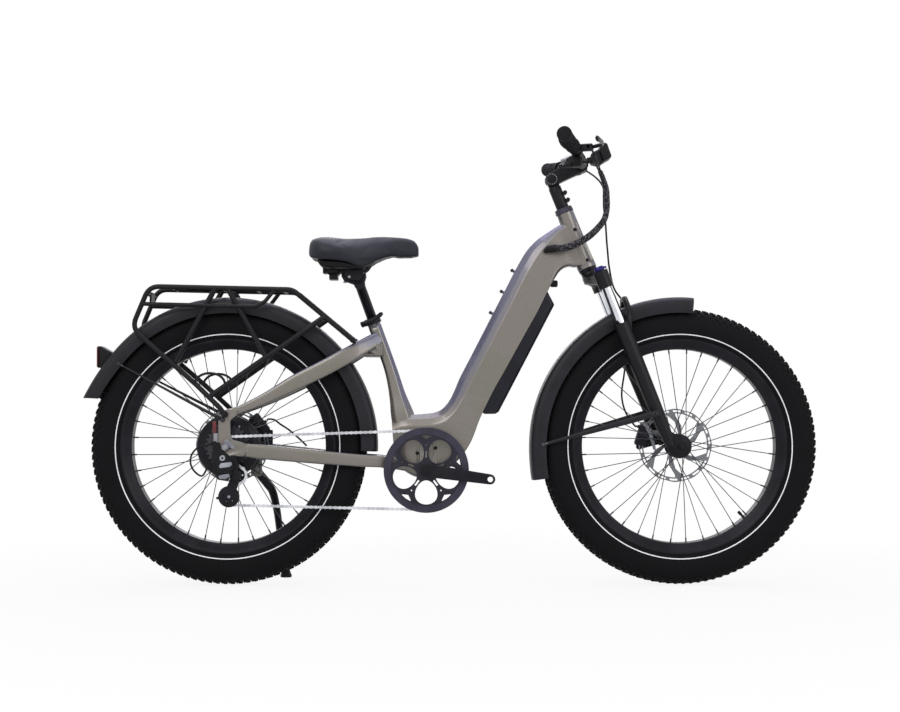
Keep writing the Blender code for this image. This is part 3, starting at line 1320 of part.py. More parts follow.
def saddle_cushion():
    """The padded cover: a crowned top, drawn-in sides and a long nose."""
    section = ((0.0, 1.02), (0.62, 0.90), (1.04, 0.20), (0.92, -0.70), (0.55, -1.04), (0.0, -1.0))
    rings = []
    for x, half, top, side, bottom in SADDLE_STATIONS:
        ring = []
        outline = list(section) + [(-w, h) for w, h in section[-2:0:-1]]
        for w, h in outline:
            z = side + (top - side) * h if h > 0 else side + (side - bottom) * h
            ring.append(REAR_AXLE + Vector((x, w * half, z)))
        rings.append(ring)
    body = loft(rings)
    smooth = body.modifiers.new("Soft", "SUBSURF")
    smooth.levels = smooth.render_levels = 1
    body = applied(body)
    seat_pan = saddle_pan(GAP)
    return fuse(body, ("-", seat_pan))


def saddle_pan(grow=0.0):
    rings = []
    for x, half, floor, ceiling in ((0.2350, 0.060, 0.490, 0.5135), (0.2600, 0.080, 0.482, 0.5120),
                                    (0.3000, 0.086, 0.478, 0.5105), (0.3400, 0.070, 0.478, 0.5085),
                                    (0.3800, 0.042, 0.489, 0.5095), (0.4300, 0.022, 0.499, 0.5145),
                                    (0.4720, 0.014, 0.504, 0.5160)):
        corners = ((1, 1), (1, 0.35), (0.75, 0), (-0.75, 0), (-1, 0.35), (-1, 1))
        x += {0.2350: -2 * grow, 0.4720: 2 * grow}.get(x, 0)
        rings.append([REAR_AXLE + Vector((x, w * (half + grow),
                                          floor - grow + (ceiling - floor + 2 * grow) * h))
                      for w, h in corners])
    return loft(rings)


def saddle_base():
    bumper = rod(REAR_AXLE + Vector((0.2690, -0.040, 0.4790)),
                 REAR_AXLE + Vector((0.2690, 0.040, 0.4790)), 0.0195, sides=12)
    rails = [("-", wire(rail_path(side, GAP), RAIL_RADIUS + GAP, 1)) for side in (-1, 1)]
    return fuse(saddle_pan(), ("+", bumper), *rails)


SEAT_LEVER_PIVOT = seat(SEAT_TUBE_LENGTH - 0.0075, -SEAT_TUBE_RADIUS - 0.0110, -0.0148)


def seat_clamp():
    bore = SEAT_TUBE_RADIUS + GAP
    ring = rod(seat(SEAT_TUBE_LENGTH - 0.016, 0), seat(SEAT_TUBE_LENGTH + 0.001, 0),
               bore + 0.004, sides=16)
    ears = block((0, 0, 0), (0.014, 0.018, 0.015),
                 axes_matrix(seat(SEAT_TUBE_LENGTH - 0.0075, -bore - 0.0085), SEAT_UP, SEAT_FORE))
    split = block((0, 0, 0), (0.030, 0.0025, 0.030),
                  axes_matrix(seat(SEAT_TUBE_LENGTH - 0.0075, -bore - 0.0150), SEAT_UP, SEAT_FORE))
    bolt = rod(seat(SEAT_TUBE_LENGTH - 0.0075, -bore - 0.0107, -0.0080),
               seat(SEAT_TUBE_LENGTH - 0.0075, -bore - 0.0107, 0.0135), 0.0028, sides=8)
    clear = rod(seat(SEAT_TUBE_LENGTH - 0.03, 0), seat(SEAT_TUBE_LENGTH + 0.02, 0),
                bore / math.cos(math.pi / 16), sides=16)
    return fuse(ring, ("+", ears), ("-", split), ("-", clear), ("+", bolt))


def seat_clamp_lever():
    low = SEAT_TUBE_LENGTH - 0.0075
    rear = -SEAT_TUBE_RADIUS - 0.0110
    cam = rod(seat(low - 0.006, rear, -0.0148), seat(low + 0.006, rear, -0.0148), 0.0055, sides=10)
    side = -(SEAT_TUBE_RADIUS + 0.0085)
    blade = wire([seat(low, rear - 0.001, -0.0165), seat(low, rear + 0.006, -0.0240),
                  seat(low, -0.006, side), seat(low + 0.002, 0.018, side + 0.001),
                  seat(low + 0.004, 0.030, side + 0.007)], 0.0032, 1)
    return fuse(cam, ("+", blade))


# Stem and handlebar
def stem_riser():
    """A sleeve clamped on the steerer by two pinch bolts, with the stem's hinge lug on top."""
    low = HEAD_HIGH + HEADSET_STACK + 2 * GAP
    top = HEAD_HIGH + STEM_PIVOT_HEIGHT - 0.0225
    barrel = rod(steer(low, 0), steer(top, 0), STEM_RISER_RADIUS, sides=18)
    lug = steer_plate(link_outline((0, HEAD_HIGH + STEM_PIVOT_HEIGHT), 0.0155,
                                   (0, top - 0.008), 0.0140), -STEM_LUG_HALF_WIDTH,
                      STEM_LUG_HALF_WIDTH)
    bosses = []
    for up in (PINCH_LOW, PINCH_LOW + PINCH_SPACING):
        bosses.append(("+", rod(steer(up, 0.0205, -0.0115), steer(up, 0.0205, 0.0115), 0.0062,
                                sides=8)))
        bosses.append(("+", block((0, 0, 0), (0.012, 0.016, 0.010),
                                  axes_matrix(steer(up, 0.0150), STEER_UP, STEER_FORE))))
    hole = rod(STEM_PIVOT - Y_AXIS * 0.02, STEM_PIVOT + Y_AXIS * 0.02, PIVOT_BOLT + GAP, sides=12)
    core = rod(steer(low - 0.02, 0), steer(HEAD_HIGH + 0.0503, 0),
               (STEERER_RADIUS + GAP) / math.cos(math.pi / 18), sides=18)
    return fuse(barrel, ("+", lug), *bosses, ("-", hole), ("-", core))


PIVOT_BOLT = 0.0050
PINCH_LOW = HEAD_HIGH + 0.0300
PINCH_SPACING = 0.0210


def stem_arm():
    pivot = (STEM_PIVOT.x, STEM_PIVOT.z)
    bar = (BAR_CENTRE.x, BAR_CENTRE.z)
    body = plate([link_outline(pivot, STEM_EYE_RADIUS, bar, BAR_CLAMP_RADIUS + 0.0055, 8)],
                 -STEM_HALF_WIDTH, STEM_HALF_WIDTH, bevel=0.002)
    fork_slot = rod(STEM_PIVOT - Y_AXIS * (STEM_LUG_HALF_WIDTH + GAP),
                    STEM_PIVOT + Y_AXIS * (STEM_LUG_HALF_WIDTH + GAP), STEM_EYE_RADIUS + 0.0108,
                    sides=20)
    bolt = rod(STEM_PIVOT - Y_AXIS * (STEM_HALF_WIDTH + 0.0022),
               STEM_PIVOT + Y_AXIS * (STEM_HALF_WIDTH + 0.0022), PIVOT_BOLT, sides=12)
    caps = [("+", rod(STEM_PIVOT + Y_AXIS * side * (STEM_HALF_WIDTH - 0.002),
                      STEM_PIVOT + Y_AXIS * side * (STEM_HALF_WIDTH + 0.0030), 0.0118, sides=14))
            for side in (-1, 1)]
    bar_hole = rod(BAR_CENTRE - Y_AXIS * 0.03, BAR_CENTRE + Y_AXIS * 0.03,
                   (BAR_CLAMP_RADIUS + GAP) / math.cos(math.pi / 16), sides=16)
    screw = rod(BAR_CENTRE + Vector((-0.002, 0, -0.018)), BAR_CENTRE + Vector((-0.002, 0, -0.0275)),
                0.0040, sides=8)
    return fuse(body, ("-", fork_slot), ("+", bolt), *caps, ("+", screw), ("-", bar_hole))


def bar_frame(side):
    """The straight outer run of the handlebar: its start, outward, fore and up directions."""
    start = BAR_CENTRE + Vector((-0.003, side * BAR_BEND, 0.006))
    end = BAR_CENTRE + Vector((-BAR_SWEEP, side * BAR_HALF_WIDTH, BAR_RISE))
    out = (end - start).normalized()
    fore = (Vector((1, 0, 0)) - out.x * out).normalized()
    up = fore.cross(out) * (1 if side > 0 else -1)
    return start, end, out, fore, up


def on_bar(side, along, fore, up):
    start, _, out, forward, upward = bar_frame(side)
    return start + out * along + forward * fore + upward * up


def bar_matrix(side, along):
    """A frame on the handlebar: X fore, Y up, Z outwards, right-handed on both sides."""
    _, _, out, forward, upward = bar_frame(side)
    matrix = Matrix((forward, upward, out)).transposed().to_4x4()
    return Matrix.Translation(on_bar(side, along, 0, 0)) @ matrix


def bar_length():
    start, end, _, _, _ = bar_frame(1)
    return (end - start).length


def handlebar():
    half = []
    for y, x, z, radius in ((0.030, 0, 0, 1.0), (0.058, -0.0010, 0.002, 0.84)):
        half.append((Vector((x, y, z)), radius))
    points = []
    scales = []
    for side in (-1, 1):
        run = [(BAR_CENTRE + Vector((p.x, side * p.y, p.z)), BAR_CLAMP_RADIUS * r) for p, r in half]
        start, end, _, _, _ = bar_frame(side)
        run += [(start, BAR_RADIUS), (end, BAR_RADIUS)]
        run = run[::-1] if side < 0 else run
        points += [p for p, _ in run]
        scales += [r / BAR_RADIUS for _, r in run]
    return wire(points, BAR_RADIUS, 2, scales)


def bar_rod(side, near, far, radius, sides=12):
    return rod(on_bar(side, near, 0, 0), on_bar(side, far, 0, 0), radius, sides=sides)


def bar_bore(side, near, far, clearance=0.0):
    """The handlebar's own space, for what is threaded on it."""
    radius = (FITTING_BORE + clearance) / math.cos(math.pi / 12)
    return rod(on_bar(side, near, 0, 0), on_bar(side, far, 0, 0), radius, sides=12)


def grip(side):
    """A closed-end grip with a raised ring at each end."""
    far = bar_length() + GAP
    near = far - GRIP_LENGTH
    bore = FITTING_BORE
    profile = [(0, far), (bore, far), (bore, near), (GRIP_RADIUS + 0.0012, near),
               (GRIP_RADIUS + 0.0012, near + 0.006), (GRIP_RADIUS - 0.0012, near + 0.010),
               (GRIP_RADIUS, near + 0.045), (GRIP_RADIUS - 0.0008, far - 0.010),
               (GRIP_RADIUS + 0.0008, far - 0.004), (GRIP_RADIUS + 0.0008, far + 0.004),
               (0, far + 0.004)]
    return turned(profile, 12, bar_matrix(side, 0), closed=False)


# Places along the bar's outer run, each next to its neighbour
GRIP_NEAR = bar_length() + GAP - GRIP_LENGTH
PERCH_PLACE = GRIP_NEAR - 0.0293
LEVER_PIVOT_FORE = 0.043
SHIFTER_PLACE = PERCH_PLACE - 0.030
THROTTLE_PLACE = PERCH_PLACE - 0.028
DISPLAY_PLACE = 0.476 * THROTTLE_PLACE


def brake_perch(side):
    """The left lever's mount, or its mirror image."""
    ring = bar_rod(1, PERCH_PLACE - 0.009, PERCH_PLACE + 0.009, 0.0165)
    matrix = bar_matrix(1, PERCH_PLACE + 0.002)
    body = block((0.031, 0, 0), (0.036, 0.017, 0.022), matrix, bevel=0.003)
    hose_boss = rod(matrix @ Vector((0.040, 0, -0.004)), matrix @ Vector((0.040, 0, -0.021)), 0.0050,
                    sides=8)
    slot = block((LEVER_PIVOT_FORE + 0.002, 0, 0.004), (0.024, 0.0070 + 2 * GAP, 0.030), matrix)
    pin = rod(matrix @ Vector((LEVER_PIVOT_FORE, -0.0070, 0)),
              matrix @ Vector((LEVER_PIVOT_FORE, 0.0070, 0)), 0.0020, sides=8)
    solid = fuse(ring, ("+", body), ("+", hose_boss), ("-", slot), ("+", pin),
                 ("-", bar_bore(1, PERCH_PLACE - 0.03, PERCH_PLACE + 0.03)))
    return solid if side > 0 else placed(solid, Matrix.Scale(-1, 4, Y_AXIS))


def brake_lever(side):
    matrix = bar_matrix(side, PERCH_PLACE + 0.002)
    pivot = Vector((LEVER_PIVOT_FORE, 0, 0))
    eye = rod(matrix @ (pivot + Vector((0, -0.0035, 0))), matrix @ (pivot + Vector((0, 0.0035, 0))),
              0.0065, sides=12)
    blade = wire([matrix @ point for point in (
        pivot + Vector((0.002, 0, 0.001)), Vector((LEVER_REACH - 0.008, 0, 0.024)),
        Vector((LEVER_REACH, 0, 0.048)), Vector((LEVER_REACH - 0.002, 0, 0.090)),
        Vector((LEVER_REACH - 0.008, 0, LEVER_LENGTH - 0.006)))], 0.0034, 1,
        (1.0, 1.25, 1.3, 1.3, 1.2))
    tip = ball(matrix @ Vector((LEVER_REACH - 0.008, 0, LEVER_LENGTH - 0.004)), 0.0070)
    hole = rod(matrix @ (pivot + Vector((0, -0.01, 0))), matrix @ (pivot + Vector((0, 0.01, 0))),
               0.0020 + GAP, sides=8)
    return fuse(eye, ("+", blade), ("+", tip), ("-", hole))


def shifter_body():
    side = -1
    ring = bar_rod(side, SHIFTER_PLACE - 0.009, SHIFTER_PLACE + 0.009, 0.0160)
    matrix = bar_matrix(side, SHIFTER_PLACE)
    pod = block((-0.002, -0.026, -0.001), (0.036, 0.022, 0.034), matrix, bevel=0.004)
    outlet = rod(matrix @ Vector((0.010, -0.026, -0.012)), matrix @ Vector((0.026, -0.026, -0.016)),
                 0.0042, sides=8)
    return fuse(ring, ("+", pod), ("+", outlet),
                ("-", bar_bore(side, SHIFTER_PLACE - 0.03, SHIFTER_PLACE + 0.03)))


def shift_lever():
    matrix = bar_matrix(-1, SHIFTER_PLACE)
    disc = rod(matrix @ Vector((-0.002, -0.037 - GAP, -0.001)),
               matrix @ Vector((-0.002, -0.0425, -0.001)), 0.0125, sides=14)
    arm = loft([[matrix @ Vector((x, -0.0400 + a * 0.0024, z + b * 0.0065))
                 for a, b in ((1, 1), (1, -1), (-1, -1), (-1, 1))]
                for x, z in ((-0.006, -0.001), (-0.030, 0.002), (-0.045, 0.009))])
    return fuse(disc, ("+", arm))


def throttle_body():
    side = 1
    ring = bar_rod(side, THROTTLE_PLACE - 0.010, THROTTLE_PLACE + 0.002, 0.0175)
    matrix = bar_matrix(side, THROTTLE_PLACE - 0.004)
    pod = block((0.012, -0.012, 0), (0.020, 0.018, 0.0105), matrix, bevel=0.002)
    return fuse(ring, ("+", pod),
                ("-", bar_bore(side, THROTTLE_PLACE - 0.03, THROTTLE_PLACE + 0.03)))


def thumb_throttle():
    side = 1
    near = THROTTLE_PLACE + 0.002 + GAP
    ring = bar_rod(side, near, near + 0.007, 0.0150)
    matrix = bar_matrix(side, near + 0.0035)
    paddle = loft([[matrix @ Vector((x + b * 0.005, y - b * 0.003, a * w))
                    for a, b in ((1, 1), (1, -1), (-1, -1), (-1, 1))]
                   for x, y, w in ((-0.008, -0.0085, 0.0032), (-0.016, -0.024, 0.0034),
                                   (-0.017, -0.036, 0.0060))])
    return fuse(ring, ("+", paddle), ("-", bar_bore(side, near - 0.03, near + 0.03, GAP)))


def display():
    side = 1
    ring = bar_rod(side, DISPLAY_PLACE - 0.007, DISPLAY_PLACE + 0.007, 0.0155)
    matrix = bar_matrix(side, DISPLAY_PLACE)
    neck = block((0.004, 0.018, 0), (0.014, 0.014, 0.012), matrix)
    tilt = matrix @ Matrix.Rotation(math.radians(28), 4, "Z")
    screen = block((0.006, 0.0270, 0), (0.040, 0.011, 0.058), tilt, bevel=0.003)
    return fuse(ring, ("+", neck), ("+", screen),
                ("-", bar_bore(side, DISPLAY_PLACE - 0.03, DISPLAY_PLACE + 0.03)))


def headlight():
    """The lamp on its bracket, ahead of the handlebar clamp."""
    shell = [(0.0640, 0.0560), (0.0700, 0.0550), (0.0830, 0.0180), (0.0600, 0.0050), (0.0500, 0.0390),
             (0.0510, 0.0480)]
    body = [(0.0270, 0.0290), (0.0520, 0.0420), (0.0620, 0.0040), (0.0500, -0.0030),
            (0.0270, 0.0020)]

    def at(points):
        return [(BAR_CENTRE.x + x, BAR_CENTRE.z + z) for x, z in points]

    front = plate([at(shell)], -0.034, 0.034, bevel=0.003)
    back = plate([at(body)], -0.026, 0.026, bevel=0.004)
    bracket = block(BAR_CENTRE + Vector((0.0260, 0, 0.012)), (0.016, 0.020, 0.014))
    clamp = rod(BAR_CENTRE - Y_AXIS * 0.06, BAR_CENTRE + Y_AXIS * 0.06,
                BAR_CLAMP_RADIUS + 0.0055 + GAP, sides=24)
    return fuse(front, ("+", back), ("+", bracket), ("-", clamp))


# Cables
LOOM_RADIUS = 0.0075
# Routes beside the head tube, as (up, fore, side) from the steering axis
LOOM_ROUTE = (
    (0.6168, -0.0699, -0.0450), (0.6139, -0.0613, -0.0485), (0.6069, -0.0426, -0.0530),
    (0.6043, -0.0143, -0.0545), (0.6088, 0.0235, -0.0550), (0.6198, 0.0561, -0.0550),
    (0.6367, 0.0853, -0.0530), (0.6618, 0.1037, -0.0500), (0.6898, 0.1156, -0.0460),
    (0.7116, 0.1229, -0.0410), (0.7386, 0.1266, -0.0320), (0.7627, 0.1282, -0.0220),
)
FRONT_HOSE_ROUTE = (
    (0.7786, 0.1476, 0.1050), (0.7151, 0.1446, 0.0500), (0.6514, 0.1156, 0.0150),
    (0.5887, 0.0838, 0.0050), (0.5376, 0.0664, 0.0120), (0.4993, 0.0595, 0.0300),
    (0.4614, 0.0518, 0.0450), (0.4231, 0.0611, 0.0520), (0.3886, 0.0773, 0.0900),
    (0.3519, 0.0560, 0.1060), (0.2977, 0.0299, 0.1060), (0.2351, -0.0019, 0.1040),
    (0.1816, -0.0335, 0.0880), (0.1345, -0.0433, 0.0730),
)
LOOM_START = steer(*LOOM_ROUTE[0])
LOOM_HEADING = (steer(*LOOM_ROUTE[1]) - LOOM_START).normalized()
HOSE_RADIUS = 0.0025


def perch_outlet(side):
    """Where a hose leaves the brake perch, and the next point straight out of it."""
    matrix = bar_matrix(side, PERCH_PLACE + 0.002)
    return matrix @ Vector((0.040, 0, -0.0220)), matrix @ Vector((0.040, 0, -0.0330))


def cable_loom():
    route = [steer(*point) for point in LOOM_ROUTE]
    sleeve = wire(smooth_path(route, 2), LOOM_RADIUS, 2)
    top = route[-1]
    start = top + (route[-2] - top).normalized() * 0.006
    perch, past_perch = perch_outlet(-1)
    matrix = bar_matrix(-1, SHIFTER_PLACE)
    shifter = matrix @ Vector((0.0270, -0.026, -0.0164))
    past_shifter = matrix @ Vector((0.0420, -0.026, -0.0204))
    brake = [start + Vector((0, -0.003, 0)), top + Vector((-0.004, -0.014, 0.010)),
             Vector((perch.x + 0.016, perch.y + 0.040, perch.z - 0.012)), past_perch, perch]
    shift = [start + Vector((-0.003, -0.002, 0)), top + Vector((-0.002, -0.024, -0.010)),
             past_shifter, shifter]
    return fuse(sleeve, ("+", wire(smooth_path(brake, 3), HOSE_RADIUS, 1)),
                ("+", wire(smooth_path(shift, 3), HOSE_RADIUS * 0.9, 1)))


def front_brake_hose():
    perch, past_perch = perch_outlet(1)
    frame = caliper_frame(FRONT_AXLE, FRONT_CALIPER_ANGLE)
    far = FRONT_ROTOR_Y + ROTOR_THICKNESS / 2 + 0.0015
    end = frame @ Vector((BANJO_REACH + 0.0010, far + 0.0050, FRONT_BANJO_Z))
    past_end = frame @ Vector((BANJO_REACH + 0.0080, far + 0.0055, FRONT_BANJO_Z))
    route = [perch, past_perch, *[steer(*point) for point in FRONT_HOSE_ROUTE], past_end, end]
    return wire(smooth_path(route, 2), HOSE_RADIUS, 1)


def rear_brake_hose():
    far = REAR_ROTOR_Y + ROTOR_THICKNESS / 2 + 0.0015
    start = caliper_frame(REAR_AXLE, REAR_CALIPER_ANGLE) @ Vector(
        (BANJO_REACH + 0.0006, far + 0.0050, REAR_BANJO_Z))
    past = caliper_frame(REAR_AXLE, REAR_CALIPER_ANGLE) @ Vector(
        (BANJO_REACH + 0.0080, far + 0.0055, REAR_BANJO_Z))
    route = [start, past, *[REAR_AXLE + Vector(point) for point in (
        (0.1135, 0.0720, 0.0690), (0.1295, 0.0740, 0.0570), (0.1530, 0.0765, 0.0413),
        (0.1814, 0.0800, 0.0166), (0.2007, 0.0785, -0.0020))]]
    return wire(smooth_path(route, 2), HOSE_RADIUS, 1)


def shift_cable():
    """The housing loop from its stop on the dropout's rear edge to the derailleur."""
    end = HANGER_BOLT + Vector((-0.028, -0.0095, -0.0135))
    centre = REAR_AXLE + Vector((-0.050, -0.0985, -0.036))
    radius = 0.040
    stop = -(DROPOUT_FACE + DROPOUT_THICKNESS / 2)
    route = [REAR_AXLE + Vector((-0.0205 - GAP, stop, 0.0100)),
             REAR_AXLE + Vector((-0.0310, stop - 0.0045, 0.0105))]
    for i in range(6):
        angle = math.radians(88 + 34 * i)
        route.append(centre + Vector((radius * math.cos(angle), -0.007, radius * math.sin(angle))))
    route += [end + Vector((-0.010, 0, -0.006)), end]
    return wire(smooth_path(route, 2), HOSE_RADIUS, 1)


# Brake and kickstand on the rear triangle
def rear_brake_caliper():
    matrix = caliper_frame(REAR_AXLE, REAR_CALIPER_ANGLE)
    first, steps = caliper(matrix, REAR_ROTOR_Y, REAR_BANJO_Z)
    foot = block(REAR_AXLE + Vector((0.0930, 0.0705, 0.0190)), (0.032, 0.0115, 0.046), bevel=0.002)
    return fuse(first, *steps, ("+", foot), ("-", stay(CHAINSTAY_STATIONS, 1, GAP)))


def kickstand():
    head = rod(Vector((KICKSTAND_PIVOT.x, 0.0900 + GAP, KICKSTAND_PIVOT.z)),
               Vector((KICKSTAND_PIVOT.x, 0.1080, KICKSTAND_PIVOT.z)), 0.0125, sides=16)
    bend = [KICKSTAND_PIVOT + Vector(point) for point in (
        (0, 0.0015, 0), (0.027, 0.0045, -0.033), (0.042, 0.0110, -0.057),
        (0.052, 0.0290, -0.110), (0.059, 0.0480, -0.175))]
    leg = wire(smooth_path([*bend, KICKSTAND_FOOT + Vector((0, 0, 0.018))], 2), 0.0088, 1)
    foot = rod(KICKSTAND_FOOT, KICKSTAND_FOOT + Vector((0, 0, 0.026)), 0.0160, 0.0095,
               sides=12)
    return fuse(head, ("+", leg), ("+", foot))


def lay_out(bench):
    """One empty for each moving body, on its joint's axis."""
    bench.body("frame", Vector())
    bench.body("battery", tube(BATTERY_LOW, BATTERY_TOP_V), "frame")
    bench.body("seat", seat(SEAT_TUBE_LENGTH, 0), "frame")
    bench.body("seat_lever", SEAT_LEVER_PIVOT, "frame")
    bench.body("steering", steer(HEAD_LOW, 0), "frame")
    bench.body("knob", steer(CROWN_LOW, STANCHION_OFFSET, -FORK_HALF_TRACK), "steering")
    bench.body("stem", STEM_PIVOT, "steering")
    for name, side in (("right_brake", -1), ("left_brake", 1)):
        bench.body(name, bar_matrix(side, PERCH_PLACE + 0.002) @ Vector((LEVER_PIVOT_FORE, 0, 0)),
                   "stem")
    bench.body("throttle", on_bar(1, THROTTLE_PLACE, 0, 0), "stem")
    bench.body("shift", bar_matrix(-1, SHIFTER_PLACE) @ Vector((-0.002, -0.04, -0.001)), "stem")
    bench.body("lowers", steer(0, STANCHION_OFFSET), "steering")
    bench.body("front_wheel", FRONT_AXLE, "lowers")
    bench.body("rear_wheel", REAR_AXLE, "frame")
    bench.body("cranks", BB, "frame")
    bench.body("freewheel", REAR_AXLE, "frame")
    bench.body("cage", GUIDE_PULLEY, "frame")
    bench.body("guide", GUIDE_PULLEY, "cage")
    bench.body("tension", TENSION_PULLEY, "cage")
    bench.body("stand", KICKSTAND_PIVOT, "frame")


def build():
    empty_scene()
    make_materials()
    bench = Bench("electric_bicycle")
    lay_out(bench)
    add = bench.piece

    add("main_frame", "frame", "frame_paint", main_frame())
    add("rear_triangle", "frame", "frame_paint", rear_triangle())
    add("headset_upper", "frame", "black_alloy", headset(HEAD_HIGH, 1))
    add("headset_lower", "frame", "black_alloy", headset(HEAD_LOW, -1))
    add("bottom_bracket", "frame", "steel", bottom_bracket())
    add("seat_clamp", "frame", "black_alloy", seat_clamp())
    add("rear_rack", "frame", "black_paint", rear_rack())
    add("rear_fender", "frame", "black_plastic", rear_fender())
    add("tail_light", "frame", "red_lens", tail_light())
    add("rear_brake_caliper", "frame", "black_alloy", rear_brake_caliper())
    add("rear_brake_hose", "frame", "rubber", rear_brake_hose())
    add("rear_axle", "frame", "steel",
        fitted_axle(REAR_AXLE, DROPOUT_FACE, DROPOUT_THICKNESS, 0.0100, 0.105))
    add("derailleur_body", "frame", "black_alloy", derailleur_body())
    add("shift_cable", "frame", "rubber", shift_cable())
    add("chain", "frame", "steel", chain())
    add("cable_loom", "frame", "rubber", cable_loom())
    add("battery_pack", "battery", "gloss_black", battery_pack())

    add("seatpost", "seat", "black_alloy", seatpost())
    add("saddle_clamp", "seat", "black_alloy", saddle_clamp())
    add("saddle_base", "seat", "black_plastic", saddle_base())
    add("saddle_cushion", "seat", "cover", saddle_cushion())
    add("seat_clamp_lever", "seat_lever", "black_alloy", seat_clamp_lever())

    add("fork_upper", "steering", "chrome", fork_upper())
    add("stem_riser", "steering", "black_paint", stem_riser())
    add("lockout_knob", "knob", "violet_anodised", lockout_knob())
    add("stem_arm", "stem", "black_paint", stem_arm())
    add("handlebar", "stem", "black_paint", handlebar())
    add("headlight", "stem", "black_plastic", headlight())
    add("display", "stem", "gloss_black", display())
    add("shifter_body", "stem", "black_plastic", shifter_body())
    add("throttle_body", "stem", "black_plastic", throttle_body())
    for name, side in (("right", -1), ("left", 1)):
        add(name + "_grip", "stem", "rubber", grip(side))
        add(name + "_brake_perch", "stem", "black_alloy", brake_perch(side))
        add(name + "_brake_lever", name + "_brake", "black_alloy", brake_lever(side))
    add("thumb_throttle", "throttle", "black_plastic", thumb_throttle())
    add("shift_lever", "shift", "black_plastic", shift_lever())

    add("fork_lowers", "lowers", "black_paint", fork_lowers())
    add("front_fender", "lowers", "black_plastic", front_fender())
    add("front_brake_caliper", "lowers", "black_alloy", front_brake_caliper())
    add("front_brake_hose", "lowers", "rubber", front_brake_hose())
    add("front_axle", "lowers", "steel",
        fitted_axle(FRONT_AXLE, FRONT_DROPOUT_FACE, FRONT_DROPOUT_THICKNESS, 0.0100, 0.088))

    for body, axle, maker, y, name in (("front_wheel", FRONT_AXLE, front_hub, FRONT_ROTOR_Y,
                                        "front_hub"),
                                       ("rear_wheel", REAR_AXLE, rear_hub_motor, REAR_ROTOR_Y,
                                        "rear_hub_motor")):
        end = body.split("_")[0]
        add(end + "_tyre", body, "tyre", tyre(axle))
        add(end + "_rim", body, "black_alloy", rim(axle))
        add(name, body, "black_alloy", maker())
        bore = 0.0115 if end == "front" else AXLE_RADIUS + 0.002
        add(end + "_rotor", body, "steel", rotor(axle, y, bore))

    add("chainring", "cranks", "black_alloy", chainring())
    add("crank_right", "cranks", "black_alloy", crank(-1, -CRANK_DROOP, True))
    add("crank_left", "cranks", "black_alloy", crank(1, math.pi - CRANK_DROOP, False))
    add("freewheel", "freewheel", "steel", freewheel())
    add("derailleur_cage", "cage", "black_alloy", derailleur_cage())
    add("guide_pulley", "guide", "black_plastic", pulley(GUIDE_PULLEY))
    add("tension_pulley", "tension", "black_plastic", pulley(TENSION_PULLEY))
    add("kickstand", "stand", "black_paint", kickstand())


build()
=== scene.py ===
import json
import math

import bmesh
import bpy
from mathutils import Matrix, Vector


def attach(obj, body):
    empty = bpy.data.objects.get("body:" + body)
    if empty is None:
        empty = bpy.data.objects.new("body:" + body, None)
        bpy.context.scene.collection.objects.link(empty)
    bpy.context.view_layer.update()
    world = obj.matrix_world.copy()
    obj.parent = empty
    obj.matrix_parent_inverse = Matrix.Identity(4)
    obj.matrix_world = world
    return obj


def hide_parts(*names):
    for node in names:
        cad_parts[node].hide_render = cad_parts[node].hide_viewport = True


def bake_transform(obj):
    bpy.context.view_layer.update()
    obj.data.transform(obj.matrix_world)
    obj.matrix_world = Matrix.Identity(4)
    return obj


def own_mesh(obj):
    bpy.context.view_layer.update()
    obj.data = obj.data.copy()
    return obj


# metres, X forward and Z up; the bicycle's right side faces -Y
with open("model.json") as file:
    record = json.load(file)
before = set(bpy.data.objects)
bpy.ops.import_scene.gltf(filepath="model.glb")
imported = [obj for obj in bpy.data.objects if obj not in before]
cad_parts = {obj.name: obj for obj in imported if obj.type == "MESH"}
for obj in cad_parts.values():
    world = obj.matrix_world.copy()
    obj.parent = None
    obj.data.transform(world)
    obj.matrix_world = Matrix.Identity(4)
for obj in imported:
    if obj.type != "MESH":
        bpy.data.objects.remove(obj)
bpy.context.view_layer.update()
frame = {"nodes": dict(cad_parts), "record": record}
nodeBody = {node: body for body, nodes in frame["record"]["behaviour"]["bodies"].items()
            for node in nodes}
nodeSlot = {entry["node"]: entry["material_slot"] for entry in frame["record"]["subparts"]}

rearAxle = Vector((-0.5935, 0, 0.370))
frontAxle = Vector((0.6125, 0, 0.370))
bottomBracket = Vector((-0.0640, 0, 0.308))
steerFoot = Vector((0.569849, 0, 0.352768))
steerUp = Vector((-0.374607, 0, 0.927184))
steerFore = Vector((0.927184, 0, 0.374607))
seatFoot = Vector((-0.1176, 0, 0.457))
seatUp = Vector((-0.342020, 0, 0.939693))
tubeFoot = Vector((0.023, 0, 0.548))
tubeAlongAxis = Vector((0.456834, 0, 0.889551))
tubeDownAxis = Vector((0.889551, 0, -0.456834))
stemPivot = Vector((0.272974, 0, 1.087561))
barCentre = Vector((0.350817, 0, 1.128603))
wheels = {"rear": rearAxle, "front": frontAxle}
wheelBody = {"rear": "rear_wheel", "front": "front_wheel"}
discY = {"rear": 0.0620, "front": 0.0530}


def onSteer(up, fore, side=0.0):
    return steerFoot + steerUp * up + steerFore * fore + Vector((0, side, 0))


def onTube(along, down):
    return tubeFoot + tubeAlongAxis * along + tubeDownAxis * down


def onSeat(up, fore, side=0.0):
    seatFore = Vector((seatUp.z, 0, -seatUp.x))
    return seatFoot + seatUp * up + seatFore * fore + Vector((0, side, 0))


def beside(axle, x, z, y, side=1):
    return axle + Vector((x, side * y, z))


def flat(point):
    return (point.x, point.z)


# shader expressions
def linear(red, green, blue):
    def one(value):
        value /= 255
        return value / 12.92 if value <= 0.04045 else ((value + 0.055) / 1.055) ** 2.4
    return (one(red), one(green), one(blue), 1)


